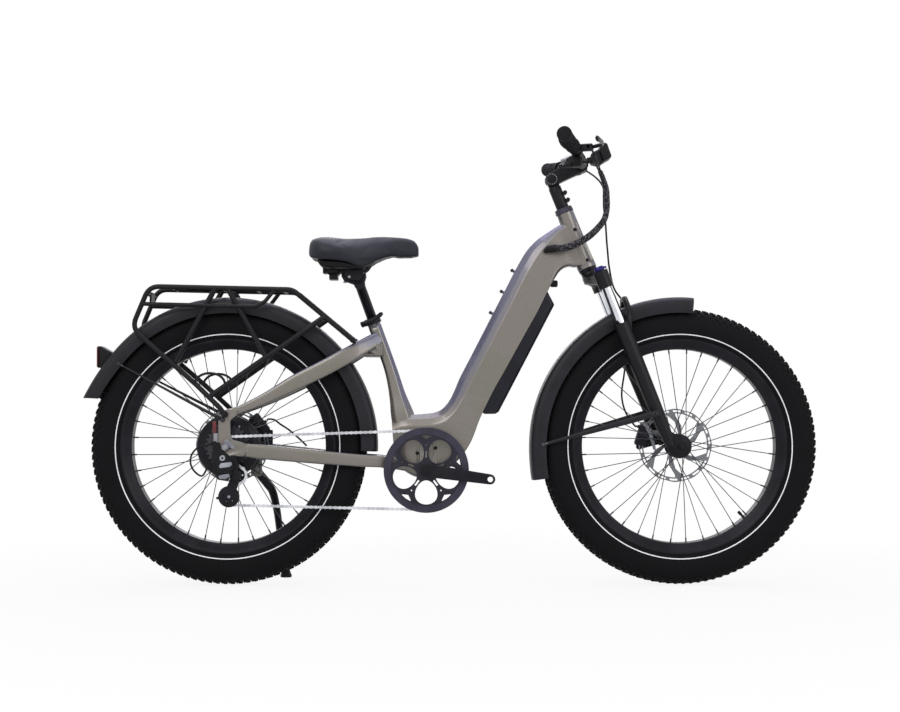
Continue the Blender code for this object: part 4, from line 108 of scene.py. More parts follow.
class Val:
    def __init__(self, desk, socket):
        self.desk = desk
        self.socket = socket

    def __add__(self, other):
        return self.desk.math("ADD", self, other)

    def __mul__(self, other):
        return self.desk.math("MULTIPLY", self, other)

    def __sub__(self, other):
        return self.desk.math("SUBTRACT", self, other)


class Desk:
    # writes the nodes of one tree as expressions
    def __init__(self, tree):
        self.tree = tree

    def plug(self, value, socket):
        if isinstance(value, Val):
            self.tree.links.new(value.socket, socket)
        else:
            socket.default_value = value

    def node(self, kind, settings=None, inputs=None, out=0):
        made = self.tree.nodes.new(kind)
        for key, value in (settings or {}).items():
            setattr(made, key, value)
        for key, value in (inputs or {}).items():
            self.plug(value, made.inputs[key])
        return Val(self, made.outputs[out])

    def math(self, operation, *values):
        return self.node("ShaderNodeMath", {"operation": operation},
                         dict(enumerate(values)))

    def place(self, shift=(0, 0, 0)):
        where = self.node("ShaderNodeTexCoord", out=3)
        return self.node("ShaderNodeMapping", None, {"Vector": where, "Location": shift})

    def axes(self, vector):
        split = self.tree.nodes.new("ShaderNodeSeparateXYZ")
        self.plug(vector, split.inputs[0])
        return [Val(self, split.outputs[i]) for i in range(3)]

    def noise(self, size, detail):
        return self.node("ShaderNodeTexNoise", None,
                         {"Vector": self.place(), "Scale": 1 / size, "Detail": detail})

    def blend(self, factor, first, second):
        return self.node("ShaderNodeMix", {"data_type": "RGBA"}, {0: factor, 6: first, 7: second}, 2)

    def smooth(self, value, low, high):
        return self.node("ShaderNodeMapRange", {"interpolation_type": "SMOOTHSTEP"},
                         {"Value": value, "From Min": low, "From Max": high})


class Paint(Desk):
    def __init__(self, name):
        self.material = bpy.data.materials.new(name)
        self.material.use_nodes = True
        super().__init__(self.material.node_tree)
        self.tree.nodes.clear()
        self.output = self.tree.nodes.new("ShaderNodeOutputMaterial")
        self.shader = self.tree.nodes.new("ShaderNodeBsdfPrincipled")
        self.tree.links.new(self.shader.outputs[0], self.output.inputs["Surface"])

    def bump(self, height, depth, strength):
        normal = self.node("ShaderNodeBump", None,
                           {"Height": height, "Distance": depth, "Strength": strength})
        self.plug(normal, self.shader.inputs["Normal"])

    def surface(self, **inputs):
        for key, value in inputs.items():
            self.plug(value, self.shader.inputs[key.replace("_", " ")])
        return self.material


def speckledFinish(name, shade, lighter, roughness, grain, depth, metal=0.0, shine=0.5, **more):
    paint = Paint(name)
    cloud = paint.noise(0.05, 4)
    fine = paint.noise(grain, 2)
    paint.bump(fine, depth, 0.5)
    tint = paint.smooth(cloud * 0.75 + fine * 0.25, 0.35, 0.68)
    return paint.surface(Base_Color=paint.blend(tint, linear(*shade), linear(*lighter)),
                         Roughness=tint * (roughness[1] - roughness[0]) + roughness[0],
                         Metallic=metal, Specular_IOR_Level=shine, **more)


def framePaintFinish():
    # the "lift" attribute says how far a face leans up or down; faces leaning up get a lavender painted
    # reflection of the sky, faces leaning down a dark painted shade
    paint = Paint("framePaint")
    flake = paint.node("ShaderNodeTexVoronoi", None, {"Vector": paint.place(), "Scale": 1500.0}, 1)
    red, _, _ = paint.axes(flake)
    cloud = paint.smooth(paint.noise(0.13, 2), 0.35, 0.65)
    lift = paint.node("ShaderNodeAttribute", {"attribute_name": "lift"}, out=2)
    side = paint.blend(cloud, linear(107, 104, 92), linear(113, 106, 99))
    # painted reflection: the lavender for faces that lean up
    upper = paint.blend(paint.smooth(lift, 0.22, 0.62), side, linear(86, 86, 106))
    # painted shade: the dark for faces that lean down
    base = paint.blend(paint.smooth(lift * -1, 0.30, 0.75), upper, linear(50, 48, 52))
    base = paint.blend(paint.smooth(red, 0.55, 1.0) * 0.30, base, linear(160, 157, 160))
    paint.bump(paint.noise(0.0012, 1), 0.00004, 0.35)
    return paint.surface(Base_Color=base, Metallic=0.35, Roughness=red * 0.10 + 0.30,
                         Coat_Weight=0.55, Coat_Roughness=0.08)


def tyreFinish():
    paint = Paint("tyreRubber")
    cloud = paint.noise(0.035, 5)
    paint.bump(paint.noise(0.0016, 2), 0.00025, 0.6)
    tint = paint.smooth(cloud, 0.3, 0.72)
    return paint.surface(Base_Color=paint.blend(tint, linear(9, 9, 11), linear(16, 16, 19)),
                         Roughness=tint * 0.10 + 0.76, Specular_IOR_Level=0.12)


def brushedFinish(name, shade, lighter, roughness, axle):
    paint = Paint(name)
    x, _, z = paint.axes(paint.place(tuple(-axle)))
    radius = paint.math("SQRT", x * x + z * z)
    lines = paint.node("ShaderNodeTexNoise", {"noise_dimensions": "1D"},
                       {"W": radius * 2600, "Scale": 1.0, "Detail": 3.0})
    paint.bump(lines, 0.00012, 0.35)
    return paint.surface(Base_Color=paint.blend(lines, linear(*shade), linear(*lighter)),
                         Metallic=1.0, Roughness=lines * 0.14 + roughness)


def braidFinish():
    paint = Paint("loomBraid")
    u, v, _ = paint.axes(paint.node("ShaderNodeTexCoord", out=2))
    left = paint.math("SINE", (u * 5 + v * 170) * 6.2832)
    right = paint.math("SINE", (u * 5 - v * 170) * 6.2832)
    weave = paint.math("MAXIMUM", left, right)
    paint.bump(weave, 0.0005, 0.8)
    tone = paint.smooth(weave, 0.1, 1.0)
    speck = paint.smooth(paint.noise(0.0034, 1), 0.56, 0.62)
    base = paint.blend(tone, linear(26, 25, 30), linear(7, 7, 9))
    return paint.surface(Base_Color=paint.blend(speck * 0.75, base, linear(120, 118, 126)),
                         Roughness=tone * 0.2 + 0.5, Specular_IOR_Level=0.2)


def vinylFinish():
    paint = Paint("saddleVinyl")
    grain = paint.node("ShaderNodeTexVoronoi", None, {"Vector": paint.place(), "Scale": 700.0})
    paint.bump(grain, 0.00020, 0.35)
    tone = paint.smooth(paint.noise(0.03, 3), 0.35, 0.7)
    return paint.surface(Base_Color=paint.blend(tone, linear(15, 17, 27), linear(22, 24, 36)),
                         Roughness=tone * 0.08 + 0.50, Specular_IOR_Level=0.30,
                         Sheen_Weight=0.05)


def gripFinish():
    paint = Paint("gripRubber")
    x, y, z = paint.axes(paint.place())
    left = paint.math("SINE", (x + z * 1.3) * 1500)
    right = paint.math("SINE", (y - z * 0.6) * 1300)
    weave = paint.math("MAXIMUM", left, right)
    paint.bump(weave, 0.00035, 0.6)
    tone = paint.smooth(weave, -0.4, 1.0)
    return paint.surface(Base_Color=paint.blend(tone, linear(9, 9, 12), linear(20, 20, 25)),
                         Roughness=tone * 0.1 + 0.66, Specular_IOR_Level=0.16)


jet = ((11, 11, 14), (18, 18, 22))
discSteel = ((84, 86, 90), (146, 148, 152))
finishes = {
    "frame_paint": framePaintFinish(),
    "black_paint": speckledFinish("blackPaint", *jet, (0.36, 0.46), 0.0011, 0.00006, shine=0.20),
    "black_plastic": speckledFinish("blackPlastic", *jet, (0.48, 0.60), 0.0009, 0.00014, shine=0.19),
    "gloss_black": speckledFinish("glossBlack", (13, 14, 22), (19, 21, 31), (0.32, 0.40), 0.0010,
                                  0.00003, shine=0.24),
    "black_alloy": speckledFinish("blackAlloy", (17, 17, 22), (27, 27, 34), (0.34, 0.44), 0.0008,
                                  0.00005, 0.25, 0.20),
    "chrome": speckledFinish("stanchionChrome", (206, 208, 216), (232, 234, 240), (0.06, 0.10),
                             0.002, 0.00001, 1.0),
    "steel": speckledFinish("zincSteel", (132, 134, 140), (180, 182, 188), (0.26, 0.40), 0.0015,
                            0.00005, 1.0),
    "tyre": tyreFinish(),
    "rubber": speckledFinish("blackRubber", *jet, (0.55, 0.68), 0.0012, 0.00015, shine=0.17),
    "cover": vinylFinish(),
    "violet_anodised": speckledFinish("violetCap", (30, 26, 84), (44, 38, 104), (0.26, 0.34), 0.001,
                                      0.00003, 0.75),
    "red_lens": speckledFinish("redLens", (84, 6, 10), (108, 10, 14), (0.16, 0.22), 0.003, 0.0004,
                               Coat_Weight=0.2),
    "fender": speckledFinish("fenderPlastic", (19, 19, 24), (27, 27, 34), (0.42, 0.54), 0.0009,
                             0.00012, shine=0.24),
    "rack": speckledFinish("rackPaint", *jet, (0.44, 0.54), 0.0010, 0.00010, shine=0.20),
    "guard": speckledFinish("guardAlloy", (46, 44, 56), (58, 56, 70), (0.42, 0.52), 0.0009, 0.00006,
                            0.25, 0.28),
    "spider": speckledFinish("spiderAlloy", (34, 33, 42), (44, 43, 54), (0.40, 0.50), 0.0009,
                             0.00005, 0.25, 0.26),
    "grip": gripFinish(),
    "stripe": speckledFinish("reflectiveStripe", (228, 229, 232), (246, 246, 248), (0.4, 0.5), 0.0008,
                             0.00002),
    "chain": speckledFinish("chainNickel", (176, 178, 184), (220, 222, 226), (0.24, 0.36), 0.0012,
                            0.00003, 0.9),
    "screw": speckledFinish("screwSteel", (112, 114, 122), (164, 166, 174), (0.26, 0.38), 0.001,
                            0.00003, 1.0),
    "spoke": speckledFinish("spokeSteel", (44, 45, 50), (70, 71, 76), (0.30, 0.40), 0.001, 0.00002,
                            0.7),
    "braid": braidFinish(),
    "rotorFront": brushedFinish("frontDiscSteel", *discSteel, 0.26, frontAxle),
    "rotorRear": brushedFinish("rearDiscSteel", *discSteel, 0.26, rearAxle),
    "cogs": brushedFinish("cogSteel", (46, 46, 50), (80, 80, 86), 0.36, rearAxle),
}
print("finishes ready")


# mesh tools
def newObject(name, mesh):
    thing = bpy.data.objects.new(name, mesh)
    bpy.context.scene.collection.objects.link(thing)
    return thing


def settled(thing, angle=32):
    bpy.context.view_layer.update()
    graph = bpy.context.evaluated_depsgraph_get()
    mesh = bpy.data.meshes.new_from_object(thing.evaluated_get(graph))
    mesh.transform(thing.matrix_world)
    name = thing.name
    bpy.data.objects.remove(thing, do_unlink=True)
    done = newObject(name, mesh)
    return shaded(done, angle)


def shaded(thing, angle=32):
    mesh = thing.data
    mesh.polygons.foreach_set("use_smooth", [True] * len(mesh.polygons))
    mesh.set_sharp_from_angle(angle=math.radians(angle))
    return thing


def asObject(name, shape):
    mesh = bpy.data.meshes.new(name)
    shape.to_mesh(mesh)
    shape.free()
    return newObject(name, mesh)


def fromBmesh(name, shape, angle=32):
    bmesh.ops.remove_doubles(shape, verts=shape.verts, dist=1e-6)
    bmesh.ops.recalc_face_normals(shape, faces=shape.faces)
    return shaded(asObject(name, shape), angle)


def around2d(centre, radius, angle):
    return (centre[0] + radius * math.cos(angle), centre[1] + radius * math.sin(angle))


def circlePoints(centre, radius, count):
    return [around2d(centre, radius, 2 * math.pi * i / count) for i in range(count)]


def revolved(name, profile, centre, steps=144, closed=True, angle=32):
    shape = bmesh.new()
    rings = []
    for radius, y in profile:
        if radius < 1e-6:
            rings.append([shape.verts.new(centre + Vector((0, y, 0)))])
            continue
        rings.append([shape.verts.new(centre + Vector((
            radius * math.cos(2 * math.pi * i / steps), y,
            radius * math.sin(2 * math.pi * i / steps)))) for i in range(steps)])
    pairs = list(zip(rings, rings[1:] + rings[:1])) if closed else list(zip(rings, rings[1:]))
    for first, second in pairs:
        for i in range(steps):
            j = (i + 1) % steps
            corners = [first[i % len(first)], first[j % len(first)],
                       second[j % len(second)], second[i % len(second)]]
            corners = [c for k, c in enumerate(corners) if c not in corners[:k]]
            if len(corners) > 2:
                shape.faces.new(corners)
    return fromBmesh(name, shape, angle)


def sheetCut(name, outlines, low, high, edge=0.0):
    # outlines are closed lines in X and Z, the first one outside
    curve = bpy.data.curves.new(name, "CURVE")
    curve.dimensions = "2D"
    curve.fill_mode = "BOTH"
    curve.extrude = (high - low) / 2 - edge
    curve.bevel_depth = edge
    curve.bevel_resolution = 0
    for outline in outlines:
        spline = curve.splines.new("POLY")
        spline.points.add(len(outline) - 1)
        for point, (x, z) in zip(spline.points, outline):
            point.co = (x, z, 0, 1)
        spline.use_cyclic_u = True
    thing = newObject(name, curve)
    thing.matrix_world = Matrix.Translation((0, (low + high) / 2, 0)) @ Matrix.Rotation(
        math.radians(90), 4, "X")
    sheet = settled(thing)
    shape = bmesh.new()
    shape.from_mesh(sheet.data)
    bpy.data.objects.remove(sheet, do_unlink=True)
    return fromBmesh(name, shape)


def loftRings(name, rings, angle=30):
    shape = bmesh.new()
    rows = [[shape.verts.new(point) for point in ring] for ring in rings]
    for first, second in zip(rows, rows[1:]):
        for i in range(len(first)):
            j = (i + 1) % len(first)
            shape.faces.new((first[i], first[j], second[j], second[i]))
    shape.faces.new(rows[0][::-1])
    shape.faces.new(rows[-1])
    return fromBmesh(name, shape, angle)


def tubeAlong(name, points, radius, sides=12, angle=40, flat=1.0):
    # u runs round the tube and v along it, in metres; flat squeezes it towards the middle plane
    radii = radius if isinstance(radius, (list, tuple)) else [radius] * len(points)
    shape = bmesh.new()
    uv = shape.loops.layers.uv.new("along")
    rings, lengths, run = [], [], 0.0
    up = Vector((0, 1, 0))
    for i, here in enumerate(points):
        before = points[i - 1] if i else here
        after = points[i + 1] if i + 1 < len(points) else here
        along = (after - before).normalized()
        if abs(along.dot(up)) > 0.98:
            up = Vector((0, 0, 1))
        across = (up - up.dot(along) * along).normalized()
        up = across
        side = along.cross(across)
        if i:
            run += (here - before).length
        lengths.append(run)
        rings.append([shape.verts.new(here + radii[i] * (
            flat * math.cos(2 * math.pi * k / sides) * across
            + math.sin(2 * math.pi * k / sides) * side)) for k in range(sides)])
    for i in range(len(rings) - 1):
        for k in range(sides):
            j = (k + 1) % sides
            face = shape.faces.new((rings[i][k], rings[i][j], rings[i + 1][j], rings[i + 1][k]))
            for loop, (u, v) in zip(face.loops, ((k, i), (k + 1, i), (k + 1, i + 1), (k, i + 1))):
                loop[uv].uv = (u / sides, lengths[v])
    shape.faces.new(rings[0][::-1])
    shape.faces.new(rings[-1])
    bmesh.ops.recalc_face_normals(shape, faces=shape.faces)
    return shaded(asObject(name, shape), angle)


def smoothRoute(route, steps):
    points = [Vector(p) for p in route]
    padded = [2 * points[0] - points[1], *points, 2 * points[-1] - points[-2]]
    done = []
    for a, b, c, d in zip(padded, padded[1:], padded[2:], padded[3:]):
        for i in range(steps):
            t = i / steps
            done.append(0.5 * ((2 * b) + (c - a) * t + (2 * a - 5 * b + 4 * c - d) * t * t
                               + (3 * b - a - 3 * c + d) * t ** 3))
    return done + [points[-1]]


def filleted(route, radius, steps=6):
    points = [Vector(p) for p in route]
    radii = radius if isinstance(radius, (list, tuple)) else [radius] * (len(points) - 2)
    done = [points[0]]
    for before, here, after, radius in zip(points, points[1:], points[2:], radii):
        back, onward = before - here, after - here
        turn = back.angle(onward)
        reach = min(radius / math.tan(turn / 2), back.length * 0.48, onward.length * 0.48)
        start, end = here + back.normalized() * reach, here + onward.normalized() * reach
        for i in range(steps + 1):
            t = i / steps
            done.append((1 - t) ** 2 * start + 2 * t * (1 - t) * here + t * t * end)
    return done + [points[-1]]


def roundedLoop(points, radius):
    points = [Vector(p) for p in points]
    done = []
    for i, here in enumerate(points):
        piece = filleted([points[i - 1], here, points[(i + 1) % len(points)]], radius, 4)
        done += piece[1:-1]
    return [tuple(p) for p in done]


def tapered(points, stops):
    # radius at each point, from (share of the length, radius) stops
    lengths = [0.0]
    for before, here in zip(points, points[1:]):
        lengths.append(lengths[-1] + (here - before).length)
    radii = []
    for length in lengths:
        share = length / lengths[-1]
        for (a, first), (b, second) in zip(stops, stops[1:]):
            if share <= b + 1e-9:
                radii.append(first + (second - first) * max(0.0, share - a) / (b - a))
                break
    return radii


def rodBetween(name, start, end, radius, sides=16, rounded=0.0):
    start, end = Vector(start), Vector(end)
    length = (end - start).length
    profile = [(0, 0), (radius - rounded, 0), (radius, rounded), (radius, length - rounded),
               (radius - rounded, length), (0, length)]
    thing = revolved(name, profile, Vector(), sides, closed=False)
    turn = Vector((0, 1, 0)).rotation_difference((end - start).normalized())
    thing.data.transform(Matrix.Translation(start) @ turn.to_matrix().to_4x4())
    return thing


def stub(name, place, length, radius, sides, rounded=0.0):
    # a rod across the bicycle, to its left, or to its right with a length below zero
    return rodBetween(name, place, Vector(place) + Vector((0, length, 0)), radius, sides, rounded)


def boxAt(shape, centre, size, turn=Matrix.Identity(3), taper=1.0):
    corners = []
    for sx in (-1, 1):
        for sy in (-1, 1):
            for sz in (-1, 1):
                shrink = taper if sz > 0 else 1.0
                corners.append(shape.verts.new(Vector(centre) + turn @ Vector((
                    sx * size[0] / 2 * shrink, sy * size[1] / 2 * shrink, sz * size[2] / 2))))
    for a, b, c, d in ((0, 1, 3, 2), (4, 6, 7, 5), (0, 4, 5, 1), (2, 3, 7, 6), (0, 2, 6, 4),
                       (1, 5, 7, 3)):
        shape.faces.new((corners[a], corners[b], corners[c], corners[d]))


def boxPiece(name, centre, size, rounded=0.0):
    shape = bmesh.new()
    boxAt(shape, centre, size)
    if rounded:
        bmesh.ops.bevel(shape, geom=shape.edges[:], offset=rounded, segments=3, affect="EDGES")
    return fromBmesh(name, shape)


def joined(name, parts, angle=32):
    shape = bmesh.new()
    for part in parts:
        shape.from_mesh(part.data)
        bpy.data.objects.remove(part, do_unlink=True)
    return shaded(asObject(name, shape), angle)


remade = set()


def dressed(thing, body, slot, replaced=(), finish=None):
    # the finish has the slot's name unless another is given
    thing.data.materials.clear()
    thing.data.materials.append(finishes[finish or slot])
    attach(thing, body)
    if replaced:
        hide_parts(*replaced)
        remade.update(replaced)
    return thing


def bent(thing, slot, replaced=(), finish=None):
    # a flexible piece: its finish is set and its place baked into the mesh, and it is attached to no
    # body
    thing.data.materials.clear()
    thing.data.materials.append(finishes[finish or slot])
    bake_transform(thing)
    if replaced:
        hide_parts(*replaced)
        remade.update(replaced)
    return thing


# node trees that repeat a piece
def repeater(name, inputs):
    tree = bpy.data.node_groups.new(name, "GeometryNodeTree")
    for label, kind in inputs.items():
        tree.interface.new_socket(label, in_out="INPUT", socket_type="NodeSocket" + kind)
    tree.interface.new_socket("Geometry", in_out="OUTPUT", socket_type="NodeSocketGeometry")
    desk = Desk(tree)
    entry = tree.nodes.new("NodeGroupInput")
    return desk, {label: Val(desk, entry.outputs[label]) for label in inputs}


def delivered(desk, geometry):
    desk.plug(geometry, desk.tree.nodes.new("NodeGroupOutput").inputs[0])
    return desk.tree


def applyTree(name, tree, values):
    holder = newObject(name, bpy.data.meshes.new(name))
    modifier = holder.modifiers.new("Repeat", "NODES")
    modifier.node_group = tree
    for item in tree.interface.items_tree:
        if item.in_out == "INPUT":
            modifier[item.identifier] = values[item.name]
    return settled(holder)


def ringTree():
    desk, given = repeater("aroundTheAxle", {"Piece": "Object", "Count": "Int", "Start": "Float",
                                             "Centre": "Vector"})
    points = desk.node("GeometryNodePoints", None, {"Count": given["Count"]})
    piece = desk.node("GeometryNodeObjectInfo", None, {"Object": given["Piece"]}, "Geometry")
    share = desk.math("DIVIDE", desk.node("GeometryNodeInputIndex"), given["Count"])
    turn = desk.math("MULTIPLY_ADD", share, 2 * math.pi, given["Start"])
    rotation = desk.node("ShaderNodeCombineXYZ", None, {"Y": turn})
    placed = desk.node("GeometryNodeInstanceOnPoints", None,
                       {"Points": points, "Instance": piece, "Rotation": rotation})
    solid = desk.node("GeometryNodeRealizeInstances", None, {0: placed})
    moved = desk.node("GeometryNodeTransform", None, {0: solid, "Translation": given["Centre"]})
    return delivered(desk, moved)


around = ringTree()


def roundAxle(name, piece, count, centre, start=0.0):
    made = applyTree(name, around, {"Piece": piece, "Count": count, "Start": start,
                                    "Centre": tuple(centre)})
    bpy.data.objects.remove(piece, do_unlink=True)
    return made


def chainTree():
    desk, given = repeater("linksAlongPath", {"Path": "Object", "Links": "Int", "Outer link": "Object",
                                              "Inner link": "Object"})
    path = desk.node("GeometryNodeObjectInfo", None, {"Object": given["Path"]}, "Geometry")
    spread = desk.node("GeometryNodeResampleCurve", None, {"Curve": path, "Count": given["Links"]})
    turn = desk.node("FunctionNodeAxesToRotation", {"primary_axis": "X", "secondary_axis": "Y"},
                     {"Primary Axis": desk.node("GeometryNodeInputTangent"),
                      "Secondary Axis": (0, 1, 0)})
    odd = desk.math("MODULO", desk.node("GeometryNodeInputIndex"), 2)
    join = desk.tree.nodes.new("GeometryNodeJoinGeometry")
    for label, chosen in (("Outer link", odd), ("Inner link", desk.math("SUBTRACT", 1, odd))):
        link = desk.node("GeometryNodeObjectInfo", None, {"Object": given[label]}, "Geometry")
        placed = desk.node("GeometryNodeInstanceOnPoints", None, {
            "Points": spread, "Selection": chosen, "Instance": link, "Rotation": turn})
        desk.plug(placed, join.inputs[0])
    solid = desk.node("GeometryNodeRealizeInstances", None, {0: Val(desk, join.outputs[0])})
    return delivered(desk, solid)


# camera, lamps and floor
camera = {"place": (-0.0145, -4.6, 0.507), "lens": 68.3, "up": 1.31, "right": 0.17}
lens = bpy.data.cameras.new("photoCamera")
lens.lens = camera["lens"]
lens.sensor_width = 36
lens.sensor_fit = "HORIZONTAL"
viewer = newObject("photoCamera", lens)
viewer.location = camera["place"]
viewer.rotation_euler = (math.radians(90 + camera["up"]), 0, math.radians(-camera["right"]))
bpy.context.scene.camera = viewer
bpy.context.scene.view_settings.view_transform = "Standard"

lamps = {
    "keyLamp": ((-1.6, -3.2, 3.0), (0.0, 0, 0.5), 2.2, 62, (1.0, 0.985, 0.96)),
    "fillLamp": ((2.6, -2.4, 1.8), (0.2, 0, 0.5), 2.0, 34, (0.97, 0.97, 1.0)),
    "topLamp": ((0.0, 0.3, 3.4), (0.0, 0, 0.4), 2.6, 58, (0.80, 0.78, 1.0)),
    "backLamp": ((-0.6, 3.2, 2.2), (0.0, 0, 0.5), 2.2, 42, (0.94, 0.95, 1.0)),
}
for lampName, (place, aim, size, power, tint) in lamps.items():
    data = bpy.data.lights.new(lampName, "AREA")
    data.size = size
    data.energy = power
    data.color = tint
    lamp = newObject(lampName, data)
    lamp.location = place
    lamp.rotation_euler = (Vector(aim) - Vector(place)).to_track_quat("-Z", "Y").to_euler()

white = (1, 1, 1, 1)
skyLight = 0.62
floorSizes = {"half": 30, "drop": 0.0006, "fadeFrom": 0.8, "fadeTo": 2.2, "dimmest": 0.88}
world = bpy.data.worlds.new("studio")
bpy.context.scene.world = world
world.use_nodes = True
background = world.node_tree.nodes["Background"]
background.inputs["Color"].default_value = white


def directSight(desk):
    # 1 where the camera, a mirror or glass looks at the surface itself
    direct, glossy, through = (desk.node("ShaderNodeLightPath", out=label) for label in (
        "Is Camera Ray", "Is Glossy Ray", "Is Transmission Ray"))
    return desk.math("MAXIMUM", desk.math("MAXIMUM", direct, glossy), through)


sky = Desk(world.node_tree)
strength = sky.node("ShaderNodeMapRange", None,
                    {"Value": directSight(sky), "To Min": skyLight, "To Max": 1.0})
sky.plug(strength, background.inputs["Strength"])

floorShape = bmesh.new()
bmesh.ops.create_grid(floorShape, x_segments=1, y_segments=1, size=floorSizes["half"])
floor = asObject("floor", floorShape)
floor.location = (0, 0, -floorSizes["drop"])
floorPaint = Paint("paleFloor")
floorPaint.surface(Base_Color=(0.62, 0.62, 0.62, 1), Roughness=0.9, Specular_IOR_Level=0.1)
glow = floorPaint.node("ShaderNodeEmission", None, {"Color": white})
away = floorPaint.node("ShaderNodeVectorMath", {"operation": "LENGTH"},
                       {"Vector": floorPaint.place()}, 1)
whiteness = (floorPaint.smooth(away, floorSizes["fadeFrom"], floorSizes["fadeTo"])
             * (1 - floorSizes["dimmest"]) + floorSizes["dimmest"])
mixed = floorPaint.node("ShaderNodeMixShader", None, {
    "Fac": directSight(floorPaint) * whiteness, 1: Val(floorPaint, floorPaint.shader.outputs[0]),
    2: glow})
floorPaint.plug(mixed, floorPaint.output.inputs["Surface"])
floor.data.materials.append(floorPaint.material)
print("camera, lamps and floor ready")


# wheels
tyre = {"steps": 192, "bead": 0.2850, "knobs": 112}


def tyreProfile():
    # outside of one side, from the bead up to the crown
    return [(tyre["bead"], 0.0385), (0.2878, 0.0402), (0.2905, 0.0405), (0.2925, 0.0432),
            (0.2950, 0.0438), (0.2990, 0.0455), (0.3060, 0.0474), (0.3140, 0.0486),
            (0.3220, 0.0489), (0.3300, 0.0484), (0.3380, 0.0468), (0.3450, 0.0438),
            (0.3520, 0.0388), (0.3580, 0.0320), (0.3625, 0.0235), (0.3650, 0.0140),
            (0.3660, 0.0060)]


def treadUnit():
    # one pitch of tread on each side: a middle block, a slanted block and two shoulder knobs
    shape = bmesh.new()
    turnStep = 2 * math.pi / tyre["knobs"]
    rows = ({"phase": 0.0, "y": 0.0080, "size": (0.0100, 0.0105), "skew": 0.25, "radius": 0.3656,
             "lean": 0.06, "tall": 0.0082},
            {"phase": 0.5, "y": 0.0245, "size": (0.0115, 0.0090), "skew": -0.3, "radius": 0.3618,
             "lean": 0.42, "tall": 0.0070},
            {"phase": 0.0, "y": 0.0360, "size": (0.0095, 0.0088), "skew": 0.15, "radius": 0.3540,
             "lean": 0.86, "tall": 0.0052},
            {"phase": 0.5, "y": 0.0425, "size": (0.0070, 0.0078), "skew": 0.0, "radius": 0.3460,
             "lean": 1.16, "tall": 0.0034})
    for side in (-1, 1):
        for row in rows:
            stagger = 0.25 * side if row["y"] < 0.02 else 0.0
            spin = Matrix.Rotation(-turnStep * (row["phase"] + stagger), 3, "Y")
            outward = Vector((math.cos(row["lean"]), side * math.sin(row["lean"]), 0))
            along = Vector((0, 0, 1))
            turn = Matrix((outward.cross(along), along, outward)).transposed()
            twist = Matrix.Rotation(row["skew"] * side, 3, "Z")
            boxAt(shape, spin @ Vector((row["radius"], side * row["y"], 0)),
                  (*row["size"], row["tall"]), spin @ turn @ twist, 0.78)
    return fromBmesh("treadUnit", shape, 25)


for name, axle in wheels.items():
    half = tyreProfile()
    inner = [(0.3610, 0.0100), (0.3500, 0.0320), (0.3250, 0.0430), (0.2860, 0.0355)]
    profile = half + [(r, -y) for r, y in half[::-1] + inner[::-1]] + inner
    carcass = revolved(name + "Carcass", profile, axle, tyre["steps"], angle=50)
    knobs = roundAxle(name + "Knobs", treadUnit(), tyre["knobs"], axle, 0.01)
    solid = joined(name + "Tyre", [carcass, knobs], 40)
    dressed(solid, wheelBody[name], "tyre", [name + "_tyre"])
    bands = []
    for side in (-1, 1):
        bands.append(revolved(f"{name}Band{side}", [(r, side * y) for r, y in (
            (0.2978, 0.0449), (0.2978, 0.0457), (0.3004, 0.0466), (0.3004, 0.0458))],
            axle, tyre["steps"], angle=50))
    dressed(joined(name + "Stripe", bands), wheelBody[name], "tyre", finish="stripe")

for name, axle in wheels.items():
    half = [(0.2596, 0.0205), (0.2612, 0.0236), (0.2660, 0.0268), (0.2740, 0.0330),
            (0.2800, 0.0378), (0.2830, 0.0398), (0.2868, 0.0402), (0.2868, 0.0378),
            (0.2810, 0.0365), (0.2680, 0.0240)]
    profile = half + [(r, -y) for r, y in half[::-1]]
    ring = revolved(name + "Rim", profile, axle, 192, angle=24)
    dressed(ring, wheelBody[name], "black_alloy", [name + "_rim"])

hubs = {
    "front": {"flange": 0.0298, "flangeY": 0.0350, "cross": 1.5},
    "rear": {"flange": 0.0820, "flangeY": 0.0260, "cross": 0.5},
}
spokeSizes = {"count": 36, "radius": 0.00115, "nippleRadius": 0.0021, "nippleLength": 0.013,
              "rimRadius": 0.2612, "rimY": 0.012}
for name, axle in wheels.items():
    sizes = hubs[name]
    units = []
    for i in range(4):
        side = 1 if i % 2 else -1
        lead = 1 if (i // 2) % 2 else -1
        rimAngle = 2 * math.pi * (i + 0.5) / spokeSizes["count"]
        hubAngle = rimAngle + lead * sizes["cross"] * 4 * math.pi / spokeSizes["count"]
        offset = side * sizes["flangeY"] + lead * side * 0.0014
        x, z = around2d((0, 0), sizes["flange"], hubAngle)
        start = Vector((x, offset, z))
        x, z = around2d((0, 0), spokeSizes["rimRadius"], rimAngle)
        end = Vector((x, side * spokeSizes["rimY"], z))
        along = (end - start).normalized()
        units.append(rodBetween(f"{name}Wire{i}", start, end, spokeSizes["radius"], 6))
        units.append(rodBetween(f"{name}Nipple{i}", end - along * spokeSizes["nippleLength"], end,
                                spokeSizes["nippleRadius"], 6))
    group = joined(name + "SpokeGroup", units)
    lacing = roundAxle(name + "Spokes", group, spokeSizes["count"] // 4, axle)
    dressed(lacing, wheelBody[name], "black_alloy", finish="spoke")

frontHubProfile = [(0.0063, -0.0640), (0.0105, -0.0640), (0.0110, -0.0632), (0.0128, -0.0400),
                   (0.0160, -0.0385), (0.0318, -0.0372), (0.0324, -0.0362), (0.0324, -0.0338),
                   (0.0318, -0.0330), (0.0165, -0.0295), (0.0150, -0.0270), (0.0145, 0),
                   (0.0150, 0.0270), (0.0165, 0.0295), (0.0318, 0.0330), (0.0324, 0.0338),
                   (0.0324, 0.0362), (0.0318, 0.0372), (0.0215, 0.0400), (0.0210, 0.0516),
                   (0.0110, 0.0517), (0.0110, 0.0640), (0.0063, 0.0640)]
hubShell = revolved("frontHubShell", frontHubProfile, frontAxle, 48, angle=28)
dressed(hubShell, "front_wheel", "black_alloy", ["front_hub"])

